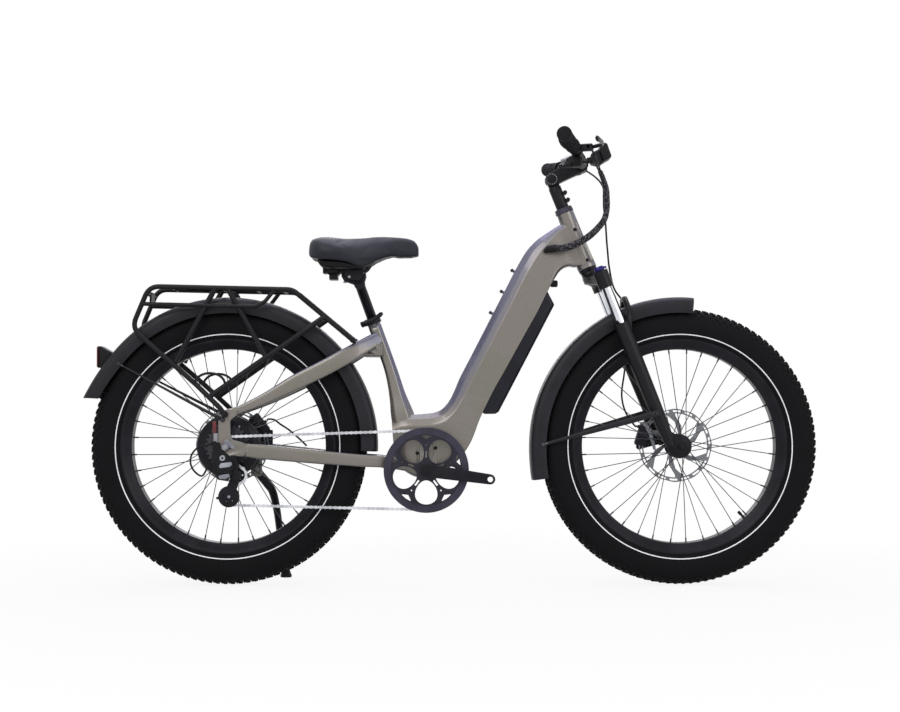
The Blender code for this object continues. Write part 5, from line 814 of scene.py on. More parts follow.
motorProfile = [(0.0063, -0.0442), (0.0300, -0.0442), (0.0320, -0.0428), (0.0340, -0.0405),
                (0.0500, -0.0400), (0.0690, -0.0372), (0.0740, -0.0330), (0.0800, -0.0305),
                (0.0832, -0.0292), (0.0840, -0.0275), (0.0840, -0.0235), (0.0800, -0.0215),
                (0.0800, 0.0215), (0.0840, 0.0235), (0.0840, 0.0275), (0.0832, 0.0292),
                (0.0780, 0.0330), (0.0660, 0.0410), (0.0480, 0.0440), (0.0300, 0.0450),
                (0.0240, 0.0605), (0.0063, 0.0607)]
motorShell = revolved("motorShell", motorProfile, rearAxle, 96, angle=28)
dressed(motorShell, "rear_wheel", "black_alloy", ["rear_hub_motor"])
coverScrew = stub("coverScrew", (0.0610, -0.0375, 0), -0.0035, 0.0028, 10, 0.0006)
screws = roundAxle("motorScrews", coverScrew, 6, rearAxle)
dressed(screws, "rear_wheel", "steel", finish="screw")


def discPlate(name, axle, y):
    # a band with a row of slots, six swept arms and a bolted centre
    centre = flat(axle)
    outer = [around2d(centre, 0.0990 + 0.0008 * math.cos(12 * a), a)
             for a in (2 * math.pi * i / 240 for i in range(240))]
    cuts = [circlePoints(centre, 0.0175, 32)]
    for i in range(6):
        turn = math.radians(60 * i)
        window = [(0.0290, 10 + 42 * k / 8) for k in range(9)] + [(0.0560, 72), (0.0795, 89)]
        window += [(0.0870, 90 - 44 * k / 10) for k in range(11)] + [(0.0640, 31)]
        cuts.append([around2d(centre, r, turn + math.radians(a)) for r, a in window])
    for i in range(18):
        turn = math.radians(20 * i)
        slot = [(0.0908, 13 * k / 5) for k in range(6)] + [(0.0958, 14 - 13 * k / 5) for k in range(6)]
        cuts.append([around2d(centre, r, turn + math.radians(a)) for r, a in slot])
    for i in range(6):
        cuts.append(circlePoints(around2d(centre, 0.0228, math.radians(60 * i + 30)), 0.0024, 8))
    return sheetCut(name, [outer, *cuts], y - 0.0010, y + 0.0010)


for name, axle in wheels.items():
    disc = discPlate(name + "Disc", axle, discY[name])
    dressed(disc, wheelBody[name], "steel", [name + "_rotor"], finish="rotor" + name.title())
    bolt = stub(name + "DiscBolt", (0.0220, discY[name] + 0.0011, 0), 0.0023, 0.0038, 10, 0.0006)
    bolts = roundAxle(name + "DiscBolts", bolt, 6, axle, math.pi / 6)
    dressed(bolts, wheelBody[name], "steel", finish="screw")

valve = {"front": math.radians(-47.4), "rear": math.radians(44.6)}
for name, axle in wheels.items():
    heading = Vector((math.cos(valve[name]), 0, math.sin(valve[name])))
    stem = rodBetween(name + "Valve", axle + heading * 0.262, axle + heading * 0.2500, 0.0033, 12)
    cap = rodBetween(name + "ValveCap", axle + heading * 0.2510, axle + heading * 0.2390, 0.0042, 12,
                     0.001)
    dressed(joined(name + "ValveStem", [stem, cap]), wheelBody[name], "rubber")
print("wheels ready")


# drive
teethOf = {"ring": 52, "cogs": (28, 24, 21, 19, 17, 15, 13), "pulley": 11}
pitch = 0.0127
ringY, cogStartY, cogStep = -0.0620, -0.0453, 0.0049
outerCogY = cogStartY - cogStep * 6
guide = rearAxle + Vector((0.0303, outerCogY, -0.0750))
tension = rearAxle + Vector((0.0082, outerCogY, -0.1315))


def pitchRadius(teeth):
    return pitch / (2 * math.sin(math.pi / teeth))


def toothLine(centre, teeth, start=0.0):
    radius = pitchRadius(teeth)
    line = []
    for i in range(teeth):
        for share, height in ((0.0, -0.0038), (0.16, -0.0026), (0.34, 0.0022), (0.44, 0.0034),
                              (0.56, 0.0034), (0.66, 0.0022), (0.84, -0.0026)):
            angle = start + 2 * math.pi * (i + share) / teeth
            line.append(around2d(centre, radius + height, angle))
    return line


def straightRun(here, there):
    (ax, az), ra, _, senseA = here
    (bx, bz), rb, _, senseB = there
    run = Vector((bx - ax, bz - az))
    lean = math.acos((senseA * ra - senseB * rb) / run.length)
    angle = math.atan2(run.y, run.x) + lean
    normal = Vector((math.cos(angle), math.sin(angle)))
    return Vector((ax, az)) + normal * senseA * ra, Vector((bx, bz)) + normal * senseB * rb


def chainPath():
    rounds = [(flat(bottomBracket), pitchRadius(teethOf["ring"]), ringY, 1),
              (flat(tension), pitchRadius(teethOf["pulley"]), outerCogY, 1),
              (flat(guide), pitchRadius(teethOf["pulley"]), outerCogY, -1),
              (flat(rearAxle), pitchRadius(teethOf["cogs"][-1]), outerCogY, 1)]
    runs = [straightRun(a, b) for a, b in zip(rounds, rounds[1:] + rounds[:1])]
    track = []
    for i, (centre, radius, y, sense) in enumerate(rounds):
        arrive, leave = runs[i - 1][1], runs[i][0]
        a = math.atan2(arrive.y - centre[1], arrive.x - centre[0])
        b = math.atan2(leave.y - centre[1], leave.x - centre[0])
        sweep = (a - b) % (2 * math.pi) if sense > 0 else (b - a) % (2 * math.pi)
        count = max(3, int(sweep * radius / 0.002))
        for k in range(count + 1):
            x, z = around2d(centre, radius, a - sense * sweep * k / count)
            track.append(Vector((x, y, z)))
    return track


def linkOutline(half, radius, waist):
    line = []
    for end in (1, -1):
        for i in range(7):
            angle = math.radians(-75 + 150 * i / 6) + (math.pi if end < 0 else 0)
            line.append((end * half + radius * math.cos(angle), radius * math.sin(angle)))
        line.append((0, end * waist))
    return line


def linkPiece(name, width, pinRadius, pinPast):
    outline = linkOutline(pitch / 2, 0.0042, 0.0027)
    parts = []
    for side in (-1, 1):
        near, far = sorted((side * width / 2, side * (width / 2 - 0.0009)))
        parts.append(sheetCut(f"{name}Plate{side}", [outline], near, far))
        reach = width / 2 + pinPast
        parts.append(stub(f"{name}Pin{side}", (side * pitch / 2, -reach, 0), 2 * reach, pinRadius, 10))
    return joined(name, parts)


track = chainPath()
closed = track + track[:1]
total = sum((b - a).length for a, b in zip(closed, closed[1:]))
links = 2 * round(total / pitch / 2)
pathCurve = bpy.data.curves.new("chainRoute", "CURVE")
pathCurve.dimensions = "3D"
spline = pathCurve.splines.new("POLY")
spline.points.add(len(track) - 1)
for point, place in zip(spline.points, track):
    point.co = (*place, 1)
spline.use_cyclic_u = True
route = newObject("chainRoute", pathCurve)
outerLink = linkPiece("outerLink", 0.0064, 0.0019, 0.0004)
innerLink = linkPiece("innerLink", 0.0044, 0.0036, -0.0006)
chain = applyTree("driveChain", chainTree(), {
    "Path": route, "Links": links, "Outer link": outerLink, "Inner link": innerLink})
for helper in (route, outerLink, innerLink):
    bpy.data.objects.remove(helper, do_unlink=True)
dressed(chain, "frame", "steel", ["chain"], finish="chain")

ringCentre = flat(bottomBracket)
guard = {"outer": 0.1125, "windowAt": 0.0590, "reach": 0.0325, "half": 0.0300}


windows = []
for i in range(5):
    heading = math.radians(-90 + 72 * i)
    egg = []
    for k in range(36):
        a = 2 * math.pi * k / 36
        radial = guard["windowAt"] + guard["reach"] * math.cos(a)
        side = guard["half"] * math.sin(a) * (1.0 + 0.16 * math.cos(a))
        egg.append((ringCentre[0] + radial * math.cos(heading) - side * math.sin(heading),
                    ringCentre[1] + radial * math.sin(heading) + side * math.cos(heading)))
    windows.append(egg)
    between = heading + math.radians(36)
    windows.append([around2d(ringCentre, r, between + a) for r, a in (
        (0.0805, 0.0), (0.0905, 0.170), (0.0925, 0.150), (0.0932, 0.0), (0.0925, -0.150),
        (0.0905, -0.170))])
    windows.append(circlePoints(around2d(ringCentre, 0.0665, between), 0.0027, 12))
    windows.append([around2d(ringCentre, r, between + a) for r, a in (
        (0.0340, 0.085), (0.0500, 0.062), (0.0515, 0.0), (0.0500, -0.062), (0.0340, -0.085),
        (0.0325, 0.0))])
guardFace = sheetCut("guardRing", [circlePoints(ringCentre, guard["outer"], 120), *windows],
                     -0.0696, -0.0664, 0.0006)
bevelLine = sheetCut("guardRim", [circlePoints(ringCentre, guard["outer"] - 0.0008, 120),
                                  circlePoints(ringCentre, 0.0948, 120)], -0.0704, -0.0690, 0.0004)
dressed(bevelLine, "cranks", "black_alloy", finish="guard")
teeth = sheetCut("ringTeeth", [toothLine(ringCentre, teethOf["ring"]),
                               circlePoints(ringCentre, 0.0950, 96)], -0.0631, -0.0609)
sleeve = revolved("ringSleeve", [(0.0088, -0.0738), (0.0200, -0.0738), (0.0210, -0.0730),
                                 (0.0210, -0.0600), (0.0088, -0.0600)],
                  Vector((bottomBracket.x, 0, bottomBracket.z)), 48)
dressed(joined("chainringSet", [guardFace, teeth, sleeve]), "cranks", "black_alloy", ["chainring"],
        finish="spider")

cogPlates = []
for i, count in enumerate(teethOf["cogs"]):
    y = cogStartY - i * cogStep
    cogPlates.append(sheetCut(f"cog{count}", [
        toothLine(flat(rearAxle), count, 0.1 * i),
        circlePoints(flat(rearAxle), 0.0150 if i > 2 else 0.0190, 40)],
        y - 0.0008, y + 0.0008))
core = revolved("cogSleeve", [(0.0100, -0.0446), (0.0195, -0.0446), (0.0195, -0.0770),
                              (0.0160, -0.0776), (0.0100, -0.0776)], rearAxle, 48)
dressed(joined("cogStack", [*cogPlates, core]), "freewheel", "steel", ["freewheel"],
        finish="cogs")

for name, centre in (("guide", guide), ("tension", tension)):
    cuts = [circlePoints(flat(centre), 0.0034, 16)]
    cuts += [circlePoints(place, 0.0026, 12) for place in circlePoints(flat(centre), 0.0125, 6)]
    wheel = sheetCut(name + "Wheel", [toothLine(flat(centre), teethOf["pulley"]), *cuts],
                     outerCogY - 0.0012, outerCogY + 0.0012)
    dressed(wheel, name, "black_plastic", [name + "_pulley"])
    bolt = stub(name + "Bolt", beside(centre, 0, 0, -0.0062), -0.0020, 0.0042, 12, 0.0007)
    dressed(bolt, "cage", "steel", finish="screw")
crankCap = stub("crankCap", beside(bottomBracket, 0, 0, -0.0882), -0.0030, 0.0100, 24, 0.001)
dressed(crankCap, "cranks", "black_plastic")
print("drive ready")


# rack, fenders and kickstand
rack = {"loop": 0.0068, "strut": 0.0073, "rail": 0.0055, "hook": 0.0034, "bar": 0.0050,
        "corner": 0.040}


rackParts = []
for side in (-1, 1):
    tag = "Right" if side < 0 else "Left"
    loop = [beside(rearAxle, x, z, y, side) for x, z, y in (
        (-0.0015, 0.086, 0.0982), (-0.0150, 0.104, 0.0962), (-0.0785, 0.164, 0.0800),
        (-0.2520, 0.315, 0.0700), (-0.2060, 0.4255, 0.0700), (0.1740, 0.4170, 0.0700),
        (0.3345, 0.283, 0.0720))]
    rackParts.append(tubeAlong("rackLoop" + tag, filleted(loop, rack["corner"], 8), rack["loop"], 16))
    rail = [beside(rearAxle, x, z, y, side) for x, z, y in (
        (-0.2235, 0.379, 0.0705), (0.0770, 0.3715, 0.0795), (0.1020, 0.385, 0.0755),
        (0.1250, 0.415, 0.0705))]
    rackParts.append(tubeAlong("rackRail" + tag, filleted(rail, 0.020), rack["rail"], 14))
    for k, (start, end) in enumerate((
            ((-0.0310, 0.421, 0.0700), (-0.1345, 0.2255, 0.0725)),
            ((0.0020, 0.421, 0.0700), (0.1060, 0.2360, 0.0800)),
            ((0.2600, 0.345, 0.0720), (-0.0437, 0.1320, 0.0887)))):
        ends = [beside(rearAxle, *start, side), beside(rearAxle, *end, side)]
        rackParts.append(tubeAlong(f"rackStrut{tag}{k}", ends, rack["strut"], 14))
    hook = []
    for k in range(13):
        angle = math.radians(188 - 16.5 * k)
        hook.append(beside(rearAxle, -0.0425 + 0.0400 * math.cos(angle),
                           0.1660 + 0.0290 * math.sin(angle), 0.0845, side))
    rackParts.append(tubeAlong("rackHook" + tag, hook, rack["hook"], 10))
    foot = beside(rearAxle, -0.0015, 0.086, 0.0913, side)
    rackParts.append(stub("rackFoot" + tag, foot, side * 0.0105, 0.0090, 24, 0.0012))
    head = beside(rearAxle, 0.3345, 0.283, 0.050, side)
    rackParts.append(stub("rackHead" + tag, head, side * 0.0275, 0.0080, 24, 0.0012))
for x, z in ((-0.2140, 0.4060), (-0.1500, 0.4240), (-0.0150, 0.4210), (0.0750, 0.4190),
             (0.1480, 0.4160)):
    rackParts.append(stub(f"rackBar{x}", beside(rearAxle, x, z, -0.070), 0.140, rack["bar"], 14))
rackParts.append(rodBetween("rackDeck", beside(rearAxle, -0.150, 0.4225, 0),
                            beside(rearAxle, 0.075, 0.4205, 0), rack["bar"], 14))
rackParts.append(boxPiece("rackPlate", beside(rearAxle, -0.2100, 0.396, 0), (0.005, 0.056, 0.034),
                          0.0014))
dressed(joined("rackTubes", rackParts, 40), "frame", "black_paint", ["rear_rack"], finish="rack")
rackScrews = []
for side in (-1, 1):
    for x, z, y in ((-0.0015, 0.086, 0.1018), (0.3345, 0.283, 0.0775)):
        rackScrews.append(stub("rackScrew", beside(rearAxle, x, z, y, side), side * 0.0028, 0.0046,
                               12, 0.0008))
dressed(joined("rackScrews", rackScrews), "frame", "black_alloy")

fenders = {
    "rear": {"start": -2.0, "end": 161.6, "radius": 0.399, "skirt": 0.357, "flare": 0.011,
             "slant": -1.9, "stations": 90},
    "front": {"start": 84.4, "end": 193.0, "radius": 0.400, "skirt": 0.358, "flare": 0.004,
              "slant": 0.6, "stations": 64},
}
stays = {
    "rear": {"body": "frame", "footY": 0.0913, "eye": 0.0062, "flat": 0.55,
             "radii": ((0, 0.0046), (0.2, 0.0042), (0.9, 0.0022), (1, 0.0022))},
    "front": {"body": "lowers", "footY": 0.0964, "eye": 0.0092, "flat": 0.28,
              "radii": ((0, 0.0085), (0.45, 0.0070), (0.9, 0.0040), (1, 0.0035))},
}
fenderWall, fenderHalf = 0.003, 0.0505


def fenderShell(name, axle, sizes):
    # a crowned channel with rolled shoulders and beaded lips, swept round the wheel
    r, skirt = sizes["radius"] - fenderWall / 2, sizes["skirt"] - fenderWall / 2
    half = [(1.0, skirt), (1.0, r - 0.020), (0.985, r - 0.0135), (0.93, r - 0.0080),
            (0.84, r - 0.0040), (0.70, r - 0.0016), (0.50, r - 0.0004), (0.25, r), (0.0, r)]
    section = [(-y, radius) for y, radius in half] + half[-2::-1]
    shape = bmesh.new()
    rows = []
    for i in range(sizes["stations"]):
        share = i / (sizes["stations"] - 1)
        lift = sizes["flare"] * max(0.0, (share - 0.86) / 0.14) ** 2
        row = []
        for y, radius in section:
            low = (r - radius) / (r - skirt)
            trim = sizes["slant"] * low * max(0.0, share * 8 - 7)
            angle = math.radians(sizes["start"] + (sizes["end"] - sizes["start"]) * share + trim)
            row.append(shape.verts.new(axle + Vector((
                (radius + lift) * math.cos(angle), y * fenderHalf,
                (radius + lift) * math.sin(angle)))))
        rows.append(row)
    for before, after in zip(rows, rows[1:]):
        for i in range(len(section) - 1):
            shape.faces.new((before[i], before[i + 1], after[i + 1], after[i]))
    thing = fromBmesh(name, shape, 60)
    wall = thing.modifiers.new("Wall", "SOLIDIFY")
    wall.thickness = fenderWall
    wall.offset = 0
    rolled = thing.modifiers.new("Lips", "BEVEL")
    rolled.width = 0.0009
    rolled.segments = 2
    rolled.limit_method = "ANGLE"
    rolled.angle_limit = math.radians(60)
    return settled(thing, 45)


for name, axle in wheels.items():
    shell = fenderShell(name + "FenderShell", axle, fenders[name])
    stay = stays[name]
    straps, clips = [], []
    for side in (-1, 1):
        if name == "rear":
            eye = beside(rearAxle, -0.0075, 0.072, 0.0938, side)
            hook = beside(rearAxle, -0.287, 0.2185, 0.0525, side)
        else:
            eye = onSteer(0.108, 0.016, side * 0.0989)
            hook = beside(frontAxle, -0.363, 0.006, 0.0525, side)
        knee = eye + (hook - eye) * 0.12
        knee.y = eye.y + side * 0.001
        line = smoothRoute([eye, knee, eye.lerp(hook, 0.6), hook], 6)
        straps.append(tubeAlong(f"{name}Stay{side}", line, tapered(line, stay["radii"]), 12, 40,
                                stay["flat"]))
        foot = Vector((eye.x, side * stay["footY"], eye.z))
        straps.append(stub(f"{name}Eye{side}", foot, side * 0.0052, stay["eye"], 20, 0.0008))
        clips.append(stub(f"{name}EyeScrew{side}", foot + Vector((0, side * 0.0053, 0)), side * 0.0025,
                          0.0040, 12, 0.0007))
        along = (eye - hook).normalized()
        base = hook + Vector((0, side * 0.0008, 0))
        clips.append(rodBetween(f"{name}Clip{side}", base - along * 0.006, base + along * 0.012,
                                0.0034, 12, 0.0008))
        clips.append(stub(f"{name}ClipScrew{side}", base - along * 0.003, side * 0.0052, 0.0050, 12,
                          0.0009))
    dressed(joined(name + "Fender", [shell, *straps], 42), stay["body"], "black_plastic",
            [name + "_fender"], finish="fender")
    dressed(joined(name + "FenderClips", clips), stay["body"], "steel", finish="spoke")

stand = {"pivot": rearAxle + Vector((0.0635, 0.0985, -0.074)), "foot": Vector((-0.4570, 0.172, 0))}
legLine = smoothRoute([stand["pivot"] + Vector(point) for point in (
    (0, 0.0015, 0), (0.027, 0.0045, -0.033), (0.042, 0.0110, -0.057), (0.052, 0.0290, -0.110),
    (0.059, 0.0480, -0.175))] + [stand["foot"] + Vector((0, 0, 0.018))], 8)
leg = tubeAlong("standLeg", legLine, tapered(legLine, (
    (0, 0.0118), (0.2, 0.0112), (0.45, 0.0100), (1, 0.0088))), 20)
pivotHead = stub("standHead", (stand["pivot"].x, 0.0903, stand["pivot"].z), 0.0177, 0.0125, 32,
                 0.0015)
footProfile = [(0, 0), (0.0145, 0), (0.0160, 0.0015), (0.0158, 0.0060), (0.0135, 0.0110),
               (0.0110, 0.0180), (0.0095, 0.0258), (0.0, 0.0260)]
footPad = revolved("standFoot", footProfile, Vector(), 32, closed=False)
footPad.data.transform(Matrix.Translation(stand["foot"]) @ Matrix.Rotation(math.radians(90), 4, "X"))
dressed(joined("standSolid", [leg, pivotHead]), "stand", "black_paint", ["kickstand"],
        finish="black_alloy")
dressed(footPad, "stand", "rubber")
print("rack, fenders and kickstand ready")


# cockpit
bar = {"tube": 0.0111, "clamp": 0.0159, "gripLength": 0.128, "wing": 0.0060}
gripSides = 48


def barFrame(side):
    start = barCentre + Vector((-0.003, side * 0.085, 0.006))
    end = barCentre + Vector((-0.067, side * 0.345, 0.032))
    out = (end - start).normalized()
    fore = (Vector((1, 0, 0)) - out.x * out).normalized()
    up = fore.cross(out) * (1 if side > 0 else -1)
    return start, end, out, fore, up


bendEnd, barEnd = barFrame(1)[:2]
barRun = (barEnd - bendEnd).length
gripNear = barRun + 0.0003 - bar["gripLength"]
perchPlace = gripNear - 0.0293
leverPlace = perchPlace + 0.002
shifterPlace = perchPlace - 0.030
barHalf = [barCentre, barCentre + Vector((0, 0.030, 0)), barCentre + Vector((-0.0010, 0.058, 0.002)),
           bendEnd, bendEnd.lerp(barEnd, 0.25), barEnd]
rightHalf = [Vector((p.x, -p.y, p.z)) for p in barHalf]
barLine = smoothRoute(rightHalf[:0:-1] + barHalf, 6)
barRadii = []
for point in barLine:
    blend = min(1.0, max(0.0, (abs(point.y) - 0.026) / 0.040))
    blend = blend * blend * (3 - 2 * blend)
    barRadii.append(bar["clamp"] + (bar["tube"] - bar["clamp"]) * blend)
handlebar = tubeAlong("handlebarTube", barLine, barRadii, 32)
dressed(handlebar, "stem", "black_paint", ["handlebar"])


def gripSleeve(name, side):
    # ribbed sleeve with a palm rest, a flange at the inner end and a domed cap
    start, _, out, fore, up = barFrame(side)
    stops = [(0.0, 0.0114), (0.0, 0.0195), (0.0008, 0.0197), (0.0052, 0.0197), (0.0060, 0.0192),
             (0.0085, 0.0176)]
    for k in range(20):
        rib = 0.011 + 0.104 * k / 20
        stops += [(rib, 0.0175), (rib + 0.0030, 0.0175), (rib + 0.0036, 0.0181), (rib + 0.0046, 0.0181)]
    stops += [(0.1160, 0.0177), (0.1190, 0.0190), (0.1210, 0.0193), (0.1290, 0.0193),
              (0.1312, 0.0186), (0.1320, 0.0150), (0.1322, 0.0060)]
    rings = []
    for along, radius in stops:
        share = min(1.0, max(0.0, (along - 0.010) / 0.106))
        reach = math.sin(math.pi * share) ** 0.8 if 0 < share < 1 else 0.0
        ring = []
        for k in range(gripSides):
            angle = 2 * math.pi * k / gripSides
            lean = max(0.0, math.cos(angle - math.radians(205))) ** 3
            wide = radius + bar["wing"] * reach * lean
            ring.append(start + out * (gripNear + along) + fore * wide * math.cos(angle)
                        + up * wide * math.sin(angle))
        rings.append(ring)
    return loftRings(name, rings, 35)


for side, tag in ((1, "left"), (-1, "right")):
    dressed(gripSleeve(tag + "GripSleeve", side), "stem", "rubber", [tag + "_grip"],
            finish="grip")

caps, serrations, plugs = [], [], []
for side in (-1, 1):
    caps.append(revolved(f"pivotRing{side}", [(r, side * y) for r, y in (
        (0.0118, 0.0192), (0.0156, 0.0192), (0.0156, 0.0208), (0.0148, 0.0214), (0.0126, 0.0214),
        (0.0118, 0.0208))], stemPivot, 48))
    tooth = boxPiece("tooth", (0.0137, side * 0.0216, 0), (0.0022, 0.0010, 0.0040), 0.0003)
    serrations.append(roundAxle(f"serrations{side}", tooth, 13, stemPivot))
    plugs.append(revolved(f"pivotPlug{side}", [(r, side * y) for r, y in (
        (0.0, 0.0192), (0.0116, 0.0192), (0.0116, 0.0204), (0.0104, 0.0210), (0.0048, 0.0210),
        (0.0044, 0.0197), (0.0, 0.0197))], stemPivot, 24, closed=False))
dressed(joined("pivotRings", caps), "stem", "black_alloy")
dressed(joined("pivotTeeth", serrations), "stem", "steel", finish="screw")
dressed(joined("pivotPlugs", plugs), "stem", "black_alloy")
print("cockpit ready")


# frame: smooth skins through the stations of the solids
frameShape = {"gap": 0.0003, "headLow": 0.535, "headHigh": 0.696, "head": 0.024, "headBore": 0.0170,
              "shellHalf": 0.050, "shell": 0.024, "shellBore": 0.0173, "post": 0.0139,
              "seatTop": 0.2735, "seat": 0.0175}
# up and fore of each edge from the bottom bracket, half width, half of the flat top, shoulder
# depth, roundness of the shoulder's fold and of the lower corner
shellStations = (
    (-0.093, 0.128, -0.084, 0.018, 0.034, 0.020, 0.020, 0.020, 0.012),
    (-0.061, 0.143, -0.050, -0.010, 0.040, 0.022, 0.026, 0.022, 0.014),
    (-0.016, 0.148, -0.008, -0.023, 0.041, 0.020, 0.030, 0.024, 0.014),
    (0.025, 0.1535, 0.046, -0.006, 0.041, 0.018, 0.032, 0.022, 0.012),
    (0.0445, 0.164, 0.086, 0.026, 0.041, 0.016, 0.032, 0.018, 0.008),
    (0.0625, 0.186, 0.120, 0.076, 0.040, 0.015, 0.032, 0.012, 0.005),
    (0.0758, 0.213, 0.1435, 0.137, 0.039, 0.014, 0.032, 0.008, 0.002),
)
# along the down tube and its depth there
tubeStations = ((0.0, 0.0955), (0.070, 0.0977), (0.1433, 0.1000), (0.2050, 0.1020), (0.2665, 0.1039))
bossPlaces = (0.2002, 0.2645, 0.3280)
# the same for the curved end, as up and fore from the steering axis
headStations = (
    (0.5821, -0.2069, 0.5200, -0.1207, 0.037, 0.014, 0.032, 0.006, 0.003),
    (0.6163, -0.1662, 0.5394, -0.0958, 0.0355, 0.014, 0.032, 0.008, 0.010),
    (0.6425, -0.1296, 0.5529, -0.0760, 0.033, 0.014, 0.032, 0.010, 0.014),
    (0.6575, -0.0945, 0.5583, -0.0601, 0.030, 0.013, 0.028, 0.010, 0.014),
    (0.6644, -0.0637, 0.5573, -0.0443, 0.027, 0.012, 0.022, 0.010, 0.013),
    (0.6696, -0.0367, 0.5503, -0.0321, 0.0235, 0.012, 0.016, 0.010, 0.011),
    (0.6720, -0.0050, 0.5450, -0.0050, 0.0215, 0.011, 0.012, 0.008, 0.009),
    (0.6700, 0.0210, 0.5470, 0.0235, 0.0165, 0.009, 0.008, 0.006, 0.006),
)
seatStations = ((-0.060, 0.020, -0.052, 0.034), (0.010, 0.0185, -0.041, 0.030),
                (0.050, 0.0160, -0.030, 0.0235), (0.110, 0.0172, -0.0185, 0.0190),
                (0.250, 0.0175, -0.0175, 0.0180))
# stays as X and Z from the rear axle, side, half depth and half width
seatstayStations = ((0.4000, 0.288, 0.016, 0.020, 0.011), (0.3560, 0.263, 0.048, 0.021, 0.010),
                    (0.3080, 0.235, 0.0665, 0.022, 0.0085), (0.2600, 0.209, 0.0705, 0.022, 0.0085),
                    (0.1900, 0.174, 0.0745, 0.021, 0.0085), (0.0950, 0.124, 0.0805, 0.014, 0.0080),
                    (0.0170, 0.090, 0.0870, 0.009, 0.0035))
chainstayStations = ((0.4850, -0.053, 0.028, 0.015, 0.012), (0.4175, -0.041, 0.0425, 0.016, 0.0095),
                     (0.3535, -0.037, 0.0580, 0.0165, 0.0085),
                     (0.2935, -0.032, 0.0635, 0.0175, 0.0095),
                     (0.1935, -0.023, 0.0705, 0.0185, 0.0095),
                     (0.0935, -0.013, 0.0785, 0.0190, 0.0090),
                     (0.0450, -0.008, 0.0835, 0.0175, 0.0065))
dropoutOutline = ((0.0535, 0.009), (0.0535, -0.025), (0.0155, -0.023), (0.0015, -0.038),
                  (-0.0135, -0.036), (-0.0185, 0.002), (-0.0185, 0.070), (0.0015, 0.098),
                  (0.0335, 0.108), (0.0290, 0.084), (0.0115, 0.070), (0.0135, 0.020))


def eased(rows, step):
    # a smooth run through rows of numbers, spaced by the distance of their first three
    rows = [Vector(row) for row in rows]
    gaps = [max(1e-6, (b.xyz - a.xyz).length) for a, b in zip(rows, rows[1:])]
    slopes = [(b - a) / gap for a, b, gap in zip(rows, rows[1:], gaps)]
    tangents = [slopes[0]]
    for before, after, near, far in zip(slopes, slopes[1:], gaps, gaps[1:]):
        tangents.append((before * far + after * near) / (near + far))
    tangents.append(slopes[-1])
    done = []
    for i, gap in enumerate(gaps):
        count = max(2, round(gap / step))
        for k in range(count):
            t = k / count
            done.append(rows[i] * (2 * t ** 3 - 3 * t * t + 1) + rows[i + 1] * (3 * t * t - 2 * t ** 3)
                        + tangents[i] * gap * (t ** 3 - 2 * t * t + t)
                        + tangents[i + 1] * gap * (t ** 3 - t * t))
    return done + [rows[-1]]


def skinRing(row):
    top, low = Vector((row[0], 0, row[1])), Vector((row[2], 0, row[3]))
    half, flat, shoulder, fold, foot = row[4:]
    down, depth = (low - top).normalized(), (low - top).length
    right = filleted([(0, 0), (0, flat), (shoulder * 0.46, flat + (half - flat) * 0.60),
                      (shoulder, half), (depth, half), (depth, 0)],
                     [0.0045, 0.030, fold, foot], 4)
    ring = [top + down * v + Vector((0, y, 0)) for v, y in right]
    return ring + [top + down * v - Vector((0, y, 0)) for v, y in right[-2:0:-1]]


def frameSkin():
    rows = [(bottomBracket.x + r[0], bottomBracket.z + r[1], bottomBracket.x + r[2],
             bottomBracket.z + r[3], *r[4:]) for r in shellStations]
    for along, depth in tubeStations:
        high, low = onTube(along, 0), onTube(along, depth)
        rows.append((high.x, high.z, low.x, low.z, 0.038, 0.014, 0.032, 0.006, 0.0015))
    for r in headStations:
        high, low = onSteer(r[0], r[1]), onSteer(r[2], r[3])
        rows.append((high.x, high.z, low.x, low.z, *r[4:]))
    return loftRings("frameSkin", [skinRing(row) for row in eased(rows, 0.009)])


def seatSkin(name):
    rings = []
    for up, front, rear, half in eased(seatStations, 0.012):
        depth = front - rear
        right = filleted([(0, 0), (0, half * 0.45), (half * 0.6, half), (depth * 0.78, half),
                          (depth, half * 0.5), (depth, 0)], [0.004, 0.010, 0.010, 0.006], 4)
        ring = [onSeat(up, front - v, y) for v, y in right]
        rings.append(ring + [onSeat(up, front - v, -y) for v, y in right[-2:0:-1]])
    return loftRings(name, rings)


def staySkin(name, stations, side):
    rings = []
    rows = eased(stations, 0.012)
    places = [rearAxle + Vector((row[0], side * row[2], row[1])) for row in rows]
    for i, row in enumerate(rows):
        run = places[min(i + 1, len(places) - 1)] - places[max(i - 1, 0)]
        along = run.normalized()
        across = (Vector((0, 1, 0)) - along.y * along).normalized()
        up = along.cross(across)
        ring = []
        for k in range(24):
            angle = 2 * math.pi * (k + 0.5) / 24
            u, w = math.cos(angle), math.sin(angle)
            ring.append(places[i] + up * row[3] * math.copysign(abs(u) ** 0.62, u)
                        + across * row[4] * math.copysign(abs(w) ** 0.62, w))
        rings.append(ring)
    return loftRings(name, rings)


def merged(name, base, adds, cuts):
    for operation, tools in (("UNION", adds), ("DIFFERENCE", cuts)):
        for tool in tools:
            step = base.modifiers.new(operation, "BOOLEAN")
            step.operation = operation
            step.solver = "EXACT"
            step.object = tool
    weights = base.modifiers.new("Even shading", "WEIGHTED_NORMAL")
    weights.keep_sharp = True
    done = settled(base, 30)
    done.name = name
    for tool in [*adds, *cuts]:
        bpy.data.objects.remove(tool, do_unlink=True)
    return done


